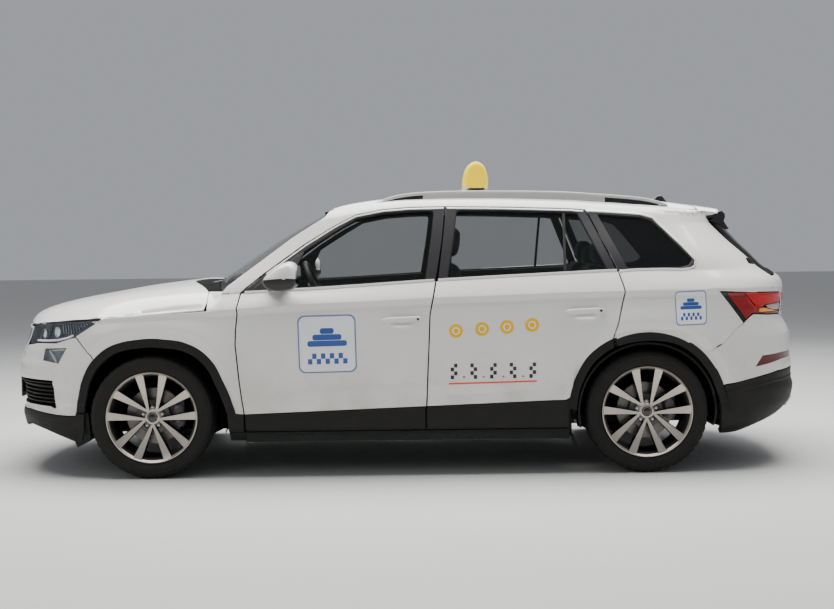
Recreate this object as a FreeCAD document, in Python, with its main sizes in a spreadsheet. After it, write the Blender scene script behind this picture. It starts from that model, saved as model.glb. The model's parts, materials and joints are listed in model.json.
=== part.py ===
import FreeCAD, Part
import math
import os

# ---------------------------------------------------------------------------
# Five-door sport-utility car in taxi use.  Millimetres, +Z up, front at -X,
# left side at -Y, origin on the ground under the middle of the car.
# ---------------------------------------------------------------------------

V = FreeCAD.Vector
doc = FreeCAD.newDocument("taxi_cab")

# ------------------------------------------------------------------ dimensions
params = doc.addObject("Spreadsheet::Sheet", "params")
DIM = [
    ("front_axle_x", -1444.5), ("rear_axle_x", 1346.5), ("axle_height", 346.0),
    ("front_track_half", 788.0), ("rear_track_half", 783.0),
    ("tyre_radius", 346.0), ("tyre_half_width", 117.0), ("bead_radius", 246.0),
    ("rim_lip_radius", 258.0), ("rim_half_width", 112.0), ("barrel_inner", 225.0),
    ("disc_radius", 160.0), ("hub_bore", 30.0), ("stub_radius", 29.95),
    ("kingpin_y", 745.0), ("pin_radius", 12.0), ("pin_bore", 12.05),
    ("shut_gap", 7.0), ("door_thick", 92.0), ("frame_thick", 42.0),
    ("skin_thick", 14.0), ("glass_thick", 4.5), ("glass_inset", 9.0),
    ("floor_z", 232.0), ("floor_thick", 28.0), ("cabin_half", 735.0),
    ("wheel_rim_r", 168.0), ("wheel_rim_tube", 16.0),
    ("steer_x", -537.0), ("steer_y", -370.0), ("steer_z", 1040.0), ("steer_tilt", 24.0),
    ("sign_x", 432.0), ("sign_length", 150.0), ("sign_width", 330.0), ("sign_height", 163.0),
    ("rail_y", 603.0), ("engine_length", 560.0), ("engine_width", 640.0), ("engine_height", 520.0),
    ("beam_half", 560.0), ("exhaust_radius", 28.0), ("muffler_radius", 85.0),
]
for i, (name, val) in enumerate(DIM):
    params.set("A%d" % (i + 1), str(val))
    params.setAlias("A%d" % (i + 1), name)
doc.recompute()


def dim(name):
    return float(getattr(params, name))


NODES = []


def keep(obj, label):
    obj.Label = label
    NODES.append((obj, label))
    return obj


# ------------------------------------------------------------------ curves
class Curve:
    """Monotone cubic through given points, straight outside them."""

    def __init__(self, pts):
        pts = sorted(pts)
        self.x = [p[0] for p in pts]
        self.y = [p[1] for p in pts]
        n = len(pts)
        h = [self.x[i + 1] - self.x[i] for i in range(n - 1)]
        d = [(self.y[i + 1] - self.y[i]) / h[i] for i in range(n - 1)]
        m = [0.0] * n
        m[0], m[-1] = d[0], d[-1]
        for i in range(1, n - 1):
            if d[i - 1] * d[i] <= 0:
                m[i] = 0.0
            else:
                w1 = 2 * h[i] + h[i - 1]
                w2 = h[i] + 2 * h[i - 1]
                m[i] = (w1 + w2) / (w1 / d[i - 1] + w2 / d[i])
        self.m = m

    def __call__(self, v):
        x, y, m = self.x, self.y, self.m
        if v <= x[0]:
            return y[0] + m[0] * (v - x[0])
        if v >= x[-1]:
            return y[-1] + m[-1] * (v - x[-1])
        lo, hi = 0, len(x) - 1
        while hi - lo > 1:
            mid = (lo + hi) // 2
            if x[mid] <= v:
                lo = mid
            else:
                hi = mid
        h = x[hi] - x[lo]
        t = (v - x[lo]) / h
        return ((2 * t ** 3 - 3 * t ** 2 + 1) * y[lo] + (t ** 3 - 2 * t ** 2 + t) * h * m[lo]
                + (-2 * t ** 3 + 3 * t ** 2) * y[hi] + (t ** 3 - t ** 2) * h * m[hi])


class Flat(Curve):
    """The same curve, held constant outside its points."""

    def __call__(self, v):
        return Curve.__call__(self, min(max(v, self.x[0]), self.x[-1]))


def hermite(z, z0, w0, s0, z1, w1, s1):
    h = z1 - z0
    t = (z - z0) / h
    return ((2 * t ** 3 - 3 * t ** 2 + 1) * w0 + (t ** 3 - 2 * t ** 2 + t) * h * s0
            + (-2 * t ** 3 + 3 * t ** 2) * w1 + (t ** 3 - t ** 2) * h * s1)


# ------------------------------------------------------------------ body shape
# Feature lines along the side: height over x.
Z_CLAD = Flat([(-945, 358), (62, 392), (904, 422)])
Z_CREASE = Flat([(-904, 410), (-677, 420), (94, 449), (849, 485)])
Z_FACET = Flat([(-880, 425), (-677, 482), (-385, 514), (95, 536), (500, 538), (732, 531), (870, 500)])
A_FACET = Flat([(-900, 0), (-640, 1), (620, 1), (880, 0)])
Z_SHOULDER = Flat([(-2250, 862), (-2100, 872), (-1702, 911), (-1226, 939), (-958, 952), (-488, 978),
                   (-190, 989), (133, 1003), (423, 1010), (906, 1024), (1215, 1029), (1706, 1035)])
Z_BELT = Flat([(-1050, 1034), (-934, 1040), (-491, 1060), (155, 1098), (914, 1132), (1168, 1142),
               (1577, 1146)])
Z_DLO = Flat([(-1000, 1300), (-497, 1440), (-394, 1455), (-291, 1472), (-137, 1491), (15, 1501),
              (220, 1503), (938, 1485), (1036, 1477), (1350, 1453), (1468, 1434), (1900, 1365)])
D_SHOULDER = Flat([(-1600, -24), (-1300, -13), (-950, -2), (0, 0), (900, 0), (1300, -4), (1600, -12)])
D_BELT = Flat([(-950, -3), (0, 0), (900, -4), (1300, -14), (1650, -30)])
D_DLO = Flat([(-500, 0), (0, 2), (900, -2), (1450, -20), (1700, -34)])
X_NOSE = Flat([(120, -2060), (160, -2090), (200, -2180), (242, -2270), (274, -2336), (330, -2336),
               (396, -2312), (445, -2316), (512, -2325), (531, -2340), (592, -2345), (629, -2342),
               (684, -2320), (714, -2314), (781, -2286), (856, -2262), (940, -2240)])
X_TAIL = Flat([(180, 1990), (233, 2130), (295, 2254), (378, 2332), (448, 2345), (501, 2330), (574, 2334),
               (624, 2328), (749, 2324), (800, 2304), (862, 2272), (942, 2284), (1002, 2280),
               (1063, 2276), (1086, 2264), (1130, 2206), (1160, 2166), (1213, 2115), (1286, 2040),
               (1375, 1960), (1418, 1928), (1465, 1926), (1500, 1900)])
X_CORNER_F = -1560.0
XB = Flat([(1000, 1500.0), (1500, 1310.0)])
P_F, Q_F = 2.4, 3.0
P_R, Q_R = 3.0, 2.5
H_ROOF = Flat([(-470, 1513), (-366, 1545), (-228, 1568), (0, 1590), (300, 1606), (600, 1610), (900, 1604),
               (1200, 1587), (1450, 1563), (1709, 1528), (1836, 1509), (1910, 1494)])
H_BONNET = Flat([(-2292, 840), (-2276, 868), (-2254, 898), (-2228, 920), (-2164, 949), (-2068, 976),
                 (-1940, 1003), (-1794, 1028), (-1584, 1063), (-1374, 1089), (-1257, 1100), (-1139, 1103),
                 (-1080, 1102)])

FLARE_F = [(-1906, 373), (-1895, 499), (-1869, 593), (-1812, 702), (-1724, 788), (-1614, 830),
           (-1458, 847), (-1302, 844), (-1185, 809), (-1109, 742), (-1048, 646), (-995, 528), (-960, 400)]
CLAD_F = [(-1876, 370), (-1862, 460), (-1828, 578), (-1771, 671), (-1692, 737), (-1613, 768),
          (-1496, 786), (-1379, 785), (-1262, 768), (-1162, 719), (-1093, 648), (-1041, 545),
          (-995, 434), (-973, 363)]
FLARE_R = [(890, 400), (914, 456), (945, 643), (1040, 767), (1180, 835), (1350, 856), (1506, 842),
           (1630, 783), (1739, 680), (1817, 539), (1840, 400)]
CLAD_R = [(904, 419), (943, 551), (1022, 675), (1146, 759), (1285, 793), (1441, 791), (1577, 765),
          (1641, 723), (1706, 632), (1770, 509), (1805, 400)]


class Ring:
    """Distance from a wheel centre to a line round its arch, over the angle."""

    def __init__(self, pts, cx, cz=346.0):
        self.cx, self.cz = cx, cz
        self.c = Flat([(math.atan2(z - cz, x - cx), math.hypot(x - cx, z - cz)) for x, z in pts])

    def __call__(self, x, z):
        return self.c(math.atan2(z - self.cz, x - self.cx))

    def at(self, ang, off=0.0):
        r = self.c(ang) + off
        return (self.cx + r * math.cos(ang), self.cz + r * math.sin(ang))


RINGS = [(Ring(FLARE_F, -1444.5), Ring(CLAD_F, -1444.5)), (Ring(FLARE_R, 1346.5), Ring(CLAD_R, 1346.5))]
CLAD_WIDTH = 48.0


def side_base(x, z):
    """Half-width of the plain side at a station, without corners and flares."""
    d = D_SHOULDER(x)
    zc, zk, zf, zs, zb, zd = Z_CLAD(x), Z_CREASE(x), Z_FACET(x), Z_SHOULDER(x), Z_BELT(x), Z_DLO(x)
    a = A_FACET(x)
    zd = max(zd, zb + 120)
    if z < 290:
        return hermite(max(z, 200), 200, 838 + d, 1.1, 290, 906 + d, 0.25)
    if z < zc:
        return hermite(z, 290, 906 + d, 0.25, zc, 909 + d, 0.06)
    if z < zk:
        return hermite(z, zc, 909 + d, 0.06, zk, 910 + 5 * a + d, 0.05 + 0.06 * a)
    zm = 800.0
    lo = 914 - 17 * a + d
    if z < zf:
        return hermite(z, zk, 910 + 5 * a + d, 0.05 - 0.28 * a, zf, lo, 0.02)
    if z < zm:
        return hermite(z, zf, lo, 0.02, zm, 921 + d, 0.03)
    if z < zs - 38:
        return hermite(z, zm, 921 + d, 0.03, zs - 38, 918 + d, -0.06)
    if z < zs:
        return hermite(z, zs - 38, 918 + d, 0.12, zs, 928 + d, 0.36)
    db, dd = D_BELT(x), D_DLO(x)
    if z < zb:
        return hermite(z, zs, 928 + d, -0.45, zb, 868 + db, -0.72)
    if z < zd:
        return hermite(z, zb, 868 + db, -0.35, zd, 690 + dd, -0.52)
    z2 = min(z, zd + 48)
    return hermite(z2, zd, 690 + dd, -0.62, zd + 48, 645 + dd, -1.3)


def corner(x, z):
    if x < X_CORNER_F:
        t = (X_CORNER_F - x) / (X_CORNER_F - X_NOSE(z))
        return max(0.0, 1 - min(t, 1.0) ** P_F) ** (1 / Q_F)
    xb = XB(z)
    if x > xb:
        t = (x - xb) / (X_TAIL(z) - xb)
        return max(0.0, 1 - min(t, 1.0) ** P_R) ** (1 / Q_R)
    return 1.0


def clampx(x, z):
    return min(max(x, X_CORNER_F), XB(z))


def flare(x, z):
    best = 0.0
    for fl, cl in RINGS:
        if abs(x - fl.cx) > 800 or z > 1010:
            continue
        ang = math.atan2(z - fl.cz, x - fl.cx)
        if ang < -0.3 and ang > -2.8:
            continue
        r = math.hypot(x - fl.cx, z - fl.cz)
        rf, rc = fl.c(ang), cl.c(ang)
        if r > rf:
            v = 13 * math.exp(-((r - rf) / 95.0) ** 2)
        elif r > rc:
            v = 13 - 20 * (rf - r) / (rf - rc)
        else:
            v = -7
        fade = min(1.0, max(0.0, (z - 330) / 120.0))
        best += v * fade
    return best


def side(x, z):
    """Half-width of the body at x, z."""
    return side_base(clampx(x, z), z) * corner(x, z) + flare(x, z)


def nose_x(y, z):
    b = side_base(X_CORNER_F, z)
    t = min(abs(y) / b, 1.0)
    return X_CORNER_F - (X_CORNER_F - X_NOSE(z)) * (1 - t ** Q_F) ** (1 / P_F)


def tail_x(y, z):
    xb = XB(z)
    b = side_base(xb, z)
    t = min(abs(y) / b, 1.0)
    return xb + (X_TAIL(z) - xb) * (1 - t ** Q_R) ** (1 / P_R)


def roof_z(x, y):
    zd = Z_DLO(x) + 48
    e = side_base(clampx(x, zd), zd)
    t = min(abs(y) / e, 1.0)
    return H_ROOF(x) - (H_ROOF(x) - zd) * (0.5 * t ** 2 + 0.5 * t ** 7)


def bonnet_z(x, y):
    ze = Z_SHOULDER(x)
    dx = nose_x(y, 860.0) - nose_x(0.0, 860.0)
    u = x - nose_x(y, 860.0)
    k = 1.0 - min(max(u / 650.0, 0.0), 1.0)
    xe = x - dx * k * k * (3 - 2 * k)
    e = max(side(x, ze), 200.0)
    t = min(abs(y) / e, 1.0)
    zc = H_BONNET(xe)
    return zc - max(zc - ze, 0.0) * (0.22 * t ** 2 + 0.78 * t ** 9)


# ------------------------------------------------------------------ solids
def polyline(pts):
    return Part.makePolygon([V(*p) for p in pts] + [V(*pts[0])])


def loft(sections, ruled=False):
    s = Part.makeLoft([polyline(p) for p in sections], True, ruled, False)
    if s.Volume < 0:
        s.reverse()
    return s


def prism_y(pts, y0, y1, draft=0.0, sgn=-1, ref=None):
    """Prism through side-view points; draft moves x by depth from the skin."""
    a, b = [], []
    for p in pts:
        x, z = p[0], p[1]
        k = p[2] if len(p) > 2 else draft
        w = ref(x, z) if ref else 900.0
        a.append((x + k * (y1 - w), sgn * y1, z))
        b.append((x + k * (y0 - w), sgn * y0, z))
    return loft([a, b], True)


def prism_x(pts, x0, x1):
    return loft([[(x0, y, z) for y, z in pts], [(x1, y, z) for y, z in pts]], True)


def prism_z(pts, z0, z1):
    return loft([[(x, y, z0) for x, y in pts], [(x, y, z1) for x, y in pts]], True)


def box(x0, x1, y0, y1, z0, z1):
    return Part.makeBox(x1 - x0, y1 - y0, z1 - z0, V(x0, y0, z0))


def mirror_y(s):
    return s.mirror(V(0, 0, 0), V(0, 1, 0))


def side_wall(xs, zfun, thick, sgn=-1):
    """Shell of the body side: stations xs, heights zfun(x), depth thick(x,z)."""
    secs = []
    for x in xs:
        zs = zfun(x)
        out = [(x, sgn * side(x, z), z) for z in zs]
        inn = [(x, sgn * (side(x, z) - thick(x, z)), z) for z in zs]
        secs.append(out + inn[::-1])
    return loft(secs)


def linspace(a, b, n):
    return [a + (b - a) * i / (n - 1.0) for i in range(n)]


def feature(label, shape):
    """One sub-part whose shape comes from the body surface."""
    if shape.ShapeType == "Compound" and len(shape.Solids) == 1:
        shape = shape.Solids[0]
    obj = doc.addObject("Part::Feature", label)
    obj.Shape = shape
    return keep(obj, label)


def both(label, make):
    for name, sgn in (("left", -1), ("right", 1)):
        feature(label % name, make(sgn))


GAP = dim("shut_gap")
HALF = GAP / 2
DOOR_T = dim("door_thick")
FRAME_T = dim("frame_thick")


def door_thick(x, z):
    zb = Z_BELT(x)
    if z <= zb - 40:
        return DOOR_T
    if z >= zb + 25:
        return FRAME_T
    return DOOR_T + (FRAME_T - DOOR_T) * (z - zb + 40) / 65.0


def wall_zs(x, lo, hi):
    zc, zk, zf, zs, zb = Z_CLAD(x), Z_CREASE(x), Z_FACET(x), Z_SHOULDER(x), Z_BELT(x)
    base = [lo, 290, zc, zk, zf, 0.5 * (zf + 800), 800, zs - 38, zs, 0.5 * (zs + zb), zb,
            zb + 0.2 * (hi - zb), zb + 0.5 * (hi - zb), zb + 0.8 * (hi - zb), hi]
    return base


# door cut lines (middle of the gap), from the sill up
CUT_A = [(-921, 262), (-924, 363), (-949, 567), (-967, 751), (-963, 835), (-953, 925), (-957, 955),
         (-948, 992), (-938, 1041), (-806, 1146), (-587, 1304), (-419, 1410)]
TOP_F = [(-291, 1475), (-137, 1502), (15, 1513), (222, 1515)]
CUT_B = [(222, 1515), (202, 1333), (161, 1104), (124, 909), (117, 745), (96, 293), (96, 262)]
TOP_R = [(222, 1515), (560, 1509), (938, 1496), (1022, 1489)]
CUT_C = [(1022, 1489), (1040, 1464), (1188, 1140), (1214, 1045), (1217, 1023), (1182, 874), (1158, 795)]


def arch_edge(ring, a0, a1, n, off):
    return [ring.at(a0 + (a1 - a0) * i / (n - 1.0), off) for i in range(n)]


CR = RINGS[1][1]
CF = RINGS[0][1]
ARCH_R = arch_edge(CR, math.radians(115), math.radians(182), 9, -CLAD_WIDTH)


def shift(pts, dx):
    return [(p[0] + dx, p[1]) for p in pts]


FRONT_DOOR = (shift(CUT_A, HALF)
              + [(x, z - HALF) for x, z in TOP_F[:-1]]
              + [(x - HALF, z - (HALF if i == 0 else 0)) for i, (x, z) in enumerate(CUT_B)])
REAR_DOOR = (shift(CUT_B[::-1][:-1], HALF)
             + [(TOP_R[0][0] + HALF, TOP_R[0][1] - HALF)] + [(x, z - HALF) for x, z in TOP_R[1:-1]]
             + [(x - HALF, z) for x, z in CUT_C]
             + ARCH_R + [(905, 262)])
APERTURE = ([(-921 - HALF, 200)] + shift(CUT_A, -HALF)
            + [(x, z + HALF) for x, z in TOP_F[:-1]] + [(x, z + HALF) for x, z in TOP_R[:-1]]
            + [(x + HALF, z + (HALF if i == 0 else 0)) for i, (x, z) in enumerate(CUT_C)]
            + arch_edge(CR, math.radians(114), math.radians(184), 12, -CLAD_WIDTH - 7) + [(912, 200)])
# window outlines
WIN_F = [(-880, 1052), (-795, 1122), (-575, 1280), (-410, 1382), (-291, 1458), (-137, 1484), (15, 1494),
         (176, 1497), (158, 1333), (122, 1104)]
WIN_R = [(205, 1110), (244, 1333), (264, 1497), (560, 1493), (938, 1478), (985, 1472), (1140, 1142),
         (914, 1136)]
WIN_Q = [(1236, 1152), (1080, 1468), (1350, 1447), (1452, 1428), (1537, 1360), (1625, 1273),
         (1690, 1196), (1640, 1163), (1577, 1152)]


def drafted(pts, k_rear, front_xmax, rear_xmin):
    out = []
    for x, z in pts:
        if x >= rear_xmin:
            out.append((x, z, k_rear))
        else:
            out.append((x, z, 0.0))
    return out


def make_door(outline, window, x0, x1, rear_xmin, k_rear):
    def make(sgn):
        xs = linspace(x0, x1, 12)
        wall = side_wall(xs, lambda x: wall_zs(x, 262.0, Z_DLO(x) + 40), door_thick, sgn)
        ol = drafted(outline, k_rear, None, rear_xmin)
        s = wall.common(prism_y(ol, 520, 990, 0.0, sgn, side))
        if window:
            s = s.cut(prism_y([(x, z) for x, z in window], 520, 990, 0.0, sgn))
        # the hinge edge is thinner, so that it swings clear of its pillar
        xa = min(p[0] for p in outline) - 20
        ch = [(xa, sgn * 862), (xa, sgn * 600), (xa + 135, sgn * 600), (xa + 135, sgn * 812)]
        s = s.cut(prism_z(ch, 200, 1002))
        if rear_xmin < 900:
            # relief in the closing edge, where the next door's shoulder swings past
            s = s.cut(box(138, 176, min(sgn * 904, sgn * 960), max(sgn * 904, sgn * 960), 982, 1024))
        return s
    return make


def make_glass(window, x0, x1, n=7):
    def make(sgn):
        t0, t1 = dim("glass_inset"), dim("glass_inset") + dim("glass_thick")
        secs = []
        for x in linspace(x0, x1, n):
            zs = linspace(Z_BELT(x) - 60, Z_DLO(x) + 30, 6)
            out = [(x, sgn * (side(x, z) - t0), z) for z in zs]
            inn = [(x, sgn * (side(x, z) - t1), z) for z in zs]
            secs.append(out + inn[::-1])
        s = loft(secs)
        return s.common(prism_y(window, 520, 990, 0.0, sgn))
    return make


both("front_door_%s", make_door(FRONT_DOOR, WIN_F, -975, 230, 80, 0.2))
both("rear_door_%s", make_door(REAR_DOOR, WIN_R, 85, 1230, 905, 0.2))
both("front_door_glass_%s", make_glass(WIN_F, -900, 190))
both("rear_door_glass_%s", make_glass(WIN_R, 195, 1160))


# ------------------------------------------------------------------ body side
GATE = [(-560, 1560), (-560, 1480), (-606, 1300), (-632, 1100), (-606, 1000), (-598, 900), (-585, 762)]


def gate_outline(off, zlo, zhi=1700):
    left = [(y - off if y < 0 else y + off, z) for y, z in GATE]
    left[0] = (left[0][0], zhi)
    left[-1] = (left[-1][0], zlo)
    return left + [(-y, z) for y, z in left[::-1]]


def pillar_thick(x, z):
    if z > Z_BELT(x):
        return 70.0
    return 60.0 + (70 - 60) * max(0.0, (z - 800)) / 350.0


LAMP_R = [(1747, 1024), (1893, 836), (1959, 890), (2135, 880), (2400, 876), (2400, 1003), (2000, 1010)]
BUMPER_SIDE = [(1764, 726), (1855, 815), (1893, 838), (1959, 890), (2135, 880), (2420, 876), (2420, 100),
               (1733, 100), (1733, 724)]


def make_body_side(sgn):
    def zs(x):
        hi = Z_DLO(x) + 48
        zs_, zb = Z_SHOULDER(x), Z_BELT(x)
        return [300, 420, 560, 700, 830, zs_ - 38, zs_, 0.5 * (zs_ + zb), zb, zb + 0.2 * (hi - zb),
                zb + 0.5 * (hi - zb), zb + 0.8 * (hi - zb), hi - 48, hi - 22, hi]
    rear = side_wall(linspace(860, 1560, 8) + [1650, 1750, 1850, 1950, 2050, 2130, 2190],
                     zs, pillar_thick, sgn)
    front = side_wall(linspace(-1000, 900, 12), lambda x: zs(x)[6:], pillar_thick, sgn)
    apert = prism_y(APERTURE, 400, 1000, 0.0, sgn)
    rear = rear.cut(apert)
    # fixed limits in side view: tail and bumper seam
    rear = rear.cut(prism_y(BUMPER_SIDE, 300, 1000, 0.0, sgn))
    rear = rear.cut(prism_y(LAMP_R, 300, 1000, 0.0, sgn))
    # rear wheel opening
    opening = [(760, 100)] + arch_edge(CR, math.radians(185), math.radians(-10), 21, -CLAD_WIDTH) + [(1900, 100)]
    rear = rear.cut(prism_y(opening, 300, 1000, 0.0, sgn))
    rear = rear.cut(prism_y(WIN_Q, 400, 1000, 0.0, sgn))
    gate = prism_x(gate_outline(GAP, 700), 1690, 2500)
    rear = rear.cut(gate)
    # roof pillar band above the doors and along the windscreen
    front = front.cut(apert)
    lim = [(-1049, 1010), (-1049, 1043), (-1017, 1077), (-847, 1203), (-660, 1344), (-456, 1464),
           (-420, 1560), (900, 1700), (900, 900), (-1049, 900)]
    front = front.common(prism_y(lim, 400, 1000, 0.0, sgn))
    # hinge pillar, middle pillar, sill
    y0, y1 = (-792, -735) if sgn < 0 else (735, 792)
    parts = [rear]
    hp = box(-1000, -880, y0, y1, 232, 980).fuse(box(-1000, -890, min(sgn * 735, sgn * 770), max(sgn * 735, sgn * 770), 960, 1034))
    yb0, yb1 = (-822, -735) if sgn < 0 else (735, 822)
    # middle pillar follows the glass upward
    secs = []
    for z, ww in ((232, 792), (540, 797), (700, 812), (980, 812), (1060, 797), (1092, 797)):
        w0 = 735 if z < 1000 else 735
        secs.append([(95, sgn * w0, z), (235, sgn * w0, z), (235, sgn * ww, z), (95, sgn * ww, z)])
    low = loft(secs, True)
    secs = []
    for z in (1088, 1104, 1126, 1200, 1320, 1440, 1520):
        w1 = side(200, z) - door_thick(200, z) - 10
        if z < 1150:
            w1 = min(w1, 790.0)
        x_a, x_b = 130 + (z - 1088) * 0.14, 240 + (z - 1088) * 0.10
        secs.append([(x_a, sgn * (w1 - 45), z), (x_b, sgn * (w1 - 45), z), (x_b, sgn * w1, z), (x_a, sgn * w1, z)])
    up = loft(secs, True)
    # inner roof rail that the middle pillar meets, inboard of the door frames
    secs = []
    for x in linspace(-470, 1100, 9):
        z1 = Z_DLO(x) + 48
        z0 = z1 - 62
        w1 = side_base(x, z0) - FRAME_T - 8
        w2 = side_base(x, z1) - 14
        w3 = side_base(x, z1 - 21) - FRAME_T - 10
        secs.append([(x, sgn * (w1 - 40), z0), (x, sgn * w1, z0), (x, sgn * w3, z1 - 14), (x, sgn * w2, z1), (x, sgn * (w2 - 70), z1)])
    rail = loft(secs, True)
    # inner windscreen pillar, from the hinge pillar up to the roof rail
    za = Curve([(-1049, 1043), (-1017, 1077), (-847, 1203), (-660, 1344), (-456, 1464), (-400, 1494)])
    secs = []
    for x in (-1000, -900, -800, -700, -600, -520, -440):
        zt = za(x)
        w = side(x, zt - 35)
        secs.append([(x, sgn * (w - 112), zt - 80), (x, sgn * (w - 52), zt - 80), (x, sgn * (w - 52), zt - 8), (x, sgn * (w - 112), zt - 8)])
    rail = rail.fuse(loft(secs, True))
    sill = box(-1000, 930, min(sgn * 735, sgn * 790), max(sgn * 735, sgn * 790), 200, 400)
    lip = box(-915, 905, min(sgn * 735, sgn * 880), max(sgn * 735, sgn * 880), 200, 254)
    # rear wheelhouse: half tunnel with inner wall
    yo, yi = 905, 640
    cyl = Part.makeCylinder(393, 250, V(1346.5, min(sgn * 640, sgn * 890), 346), V(0, 1, 0))
    cyl2 = Part.makeCylinder(381, 238, V(1346.5, min(sgn * 652, sgn * 890), 346), V(0, 1, 0))
    house = cyl.cut(cyl2).common(box(900, 1800, -950, 950, 262, 800))
    skin_zone = side_wall([900, 1100, 1346, 1600, 1800], lambda x: linspace(250, 900, 8), lambda x, z: 300.0, sgn)
    house = house.common(skin_zone)
    # inner rear panel from wheelhouse to the tail
    inner = box(1700, 2150, min(sgn * 640, sgn * 655), max(sgn * 640, sgn * 655), 480, 900)
    pts = [(1700, 480), (2050, 480), (2085, 600), (2085, 866), (1700, 866)]
    inner = prism_y(pts, 640, 655, 0.0, sgn)
    web = box(1700, 1712, min(sgn * 640, sgn * 880), max(sgn * 640, sgn * 880), 560, 900)
    web = web.cut(prism_y(opening, 300, 1000, 0.0, sgn))
    webs = web.common(side_wall([1690, 1705, 1720], lambda x: linspace(250, 1000, 8), lambda x, z: 300.0, sgn))
    sol = rear
    for p in (front, hp, low, up, rail, sill, lip, house, inner, webs):
        sol = sol.fuse(p)
    strip = patch([1691.5, 1740, 1800, 1860], lambda x: [sgn * v for v in linspace(560 + GAP, side_base(clampx(x, Z_DLO(x) + 48), Z_DLO(x) + 48) * corner(x, Z_DLO(x) + 48) - 1, 5)],
                  roof_z, 40.0)
    sol = sol.fuse(strip)
    sol = sol.cut(prism_y([(x, z) for x, z in WIN_Q], 400, 1000, 0.0, sgn))
    sol = sol.cut(gate).cut(ROOF)
    # way through the wheelhouse for the rear axle link
    sol = sol.cut(box(1296, 1397, min(sgn * 600, sgn * 700), max(sgn * 600, sgn * 700), 250, 425))
    sols = sorted(sol.Solids, key=lambda q: -q.Volume)
    print("body side solids", [round(q.Volume / 1000.0, 1) for q in sols])
    return sols[0]


# ------------------------------------------------------------------ roof
def patch(xs, yfun, zfun, t):
    secs = []
    for x in xs:
        ys = yfun(x)
        out = [(x, y, zfun(x, y)) for y in ys]
        inn = [(x, y, zfun(x, y) - t) for y in ys]
        secs.append(out + inn[::-1])
    return loft(secs)


def roof_ys(x, off=0.0):
    zd = Z_DLO(x) + 48
    e = side_base(clampx(x, zd), zd) - off
    return [e * k for k in (-1, -0.95, -0.86, -0.7, -0.45, 0, 0.45, 0.7, 0.86, 0.95, 1)]


def roof_front(y):
    return -458 + 34 * (y / 650.0) ** 2


ROOF = patch([-470, -366, -228, -60, 150, 450, 800, 1150, 1450, 1600, 1691], lambda x: roof_ys(x, 0.5), roof_z, 26.0)
ROOF = ROOF.common(prism_z([(roof_front(y), y) for y in linspace(-720, 720, 17)] + [(1691, 720), (1691, -720)], 1300, 1700))
feature("roof_panel", ROOF)
both("body_side_%s", make_body_side)

# ------------------------------------------------------------------ windscreen
def screen(u, v, off=0.0):
    bx, by, bz = -1132 + 92 * u * u, 832 * u, 1098 - 48 * u * u
    tx, ty, tz = -464 + 34 * u * u, 668 * u, 1511 - 50 * u * u
    b = 16 * 4 * v * (1 - v)
    return (bx + (tx - bx) * v - 0.52 * (b - off), by + (ty - by) * v, bz + (tz - bz) * v + 0.85 * (b - off))


secs = []
for u in linspace(-1, 1, 9):
    out = [screen(u, v, 0.0) for v in linspace(0, 1, 6)]
    inn = [screen(u, v, 6.0) for v in linspace(0, 1, 6)]
    secs.append(out + inn[::-1])
pane = loft(secs).cut(ROOF)
for obj, label in NODES:
    if label.startswith("body_side"):
        pane = pane.cut(obj.Shape)
feature("windscreen", sorted(pane.Solids, key=lambda q: -q.Volume)[0])

# ------------------------------------------------------------------ quarter windows
q = [make_glass(WIN_Q, 1060, 1720, 6)(s) for s in (-1, 1)]
feature("quarter_windows", Part.makeCompound(q))

# ------------------------------------------------------------------ bonnet
def bonnet_edge(x):
    return side(x, Z_SHOULDER(x)) - 0.0


def bonnet_rear(y):
    """Rear edge in plan: well forward in the middle, sweeping back to the windscreen pillars."""
    return -1292 + 166 * min(abs(y) / 790.0, 1.0) ** 2.2


def make_bonnet():
    xs = [-2262, -2235, -2200, -2150, -2080, -1990, -1880, -1740, -1580, -1420, -1260, -1112]
    secs = []
    for x in xs:
        e = bonnet_edge(x) - 4
        ys = [e * k for k in (-1, -0.97, -0.92, -0.84, -0.7, -0.45, 0, 0.45, 0.7, 0.84, 0.92, 0.97, 1)]
        out = [(x, y, bonnet_z(x, y) + (3 if abs(y) > 0.99 * e else 0)) for y in ys]
        inn = [(x, y * 0.975, bonnet_z(x, y * 0.975) - (13 if abs(y) > 0.9 * e else 20)) for y in ys]
        secs.append(out + inn[::-1])
    s = loft(secs)
    # plan outline: rounded front edge
    pts = [(nose_x(y, 850.0) + 6, y) for y in linspace(-880, 880, 25) if abs(y) < 860]
    pts = pts + [(bonnet_rear(y), y) for y in linspace(880, -880, 25)]
    return s.common(prism_z(pts, 780, 1200))


feature("bonnet", make_bonnet())


# ------------------------------------------------------------------ front fenders with arch liners
HEADLAMP = [(-1716, 903), (-2070, 872), (-2400, 850), (-2400, 752), (-2169, 756), (-2127, 765), (-1867, 800)]
SEAM_F = [(-1867, 803), (-1778, 694), (-1722, 636), (-1560, 404), (-1560, 100), (-2450, 100), (-2450, 803)]


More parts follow.
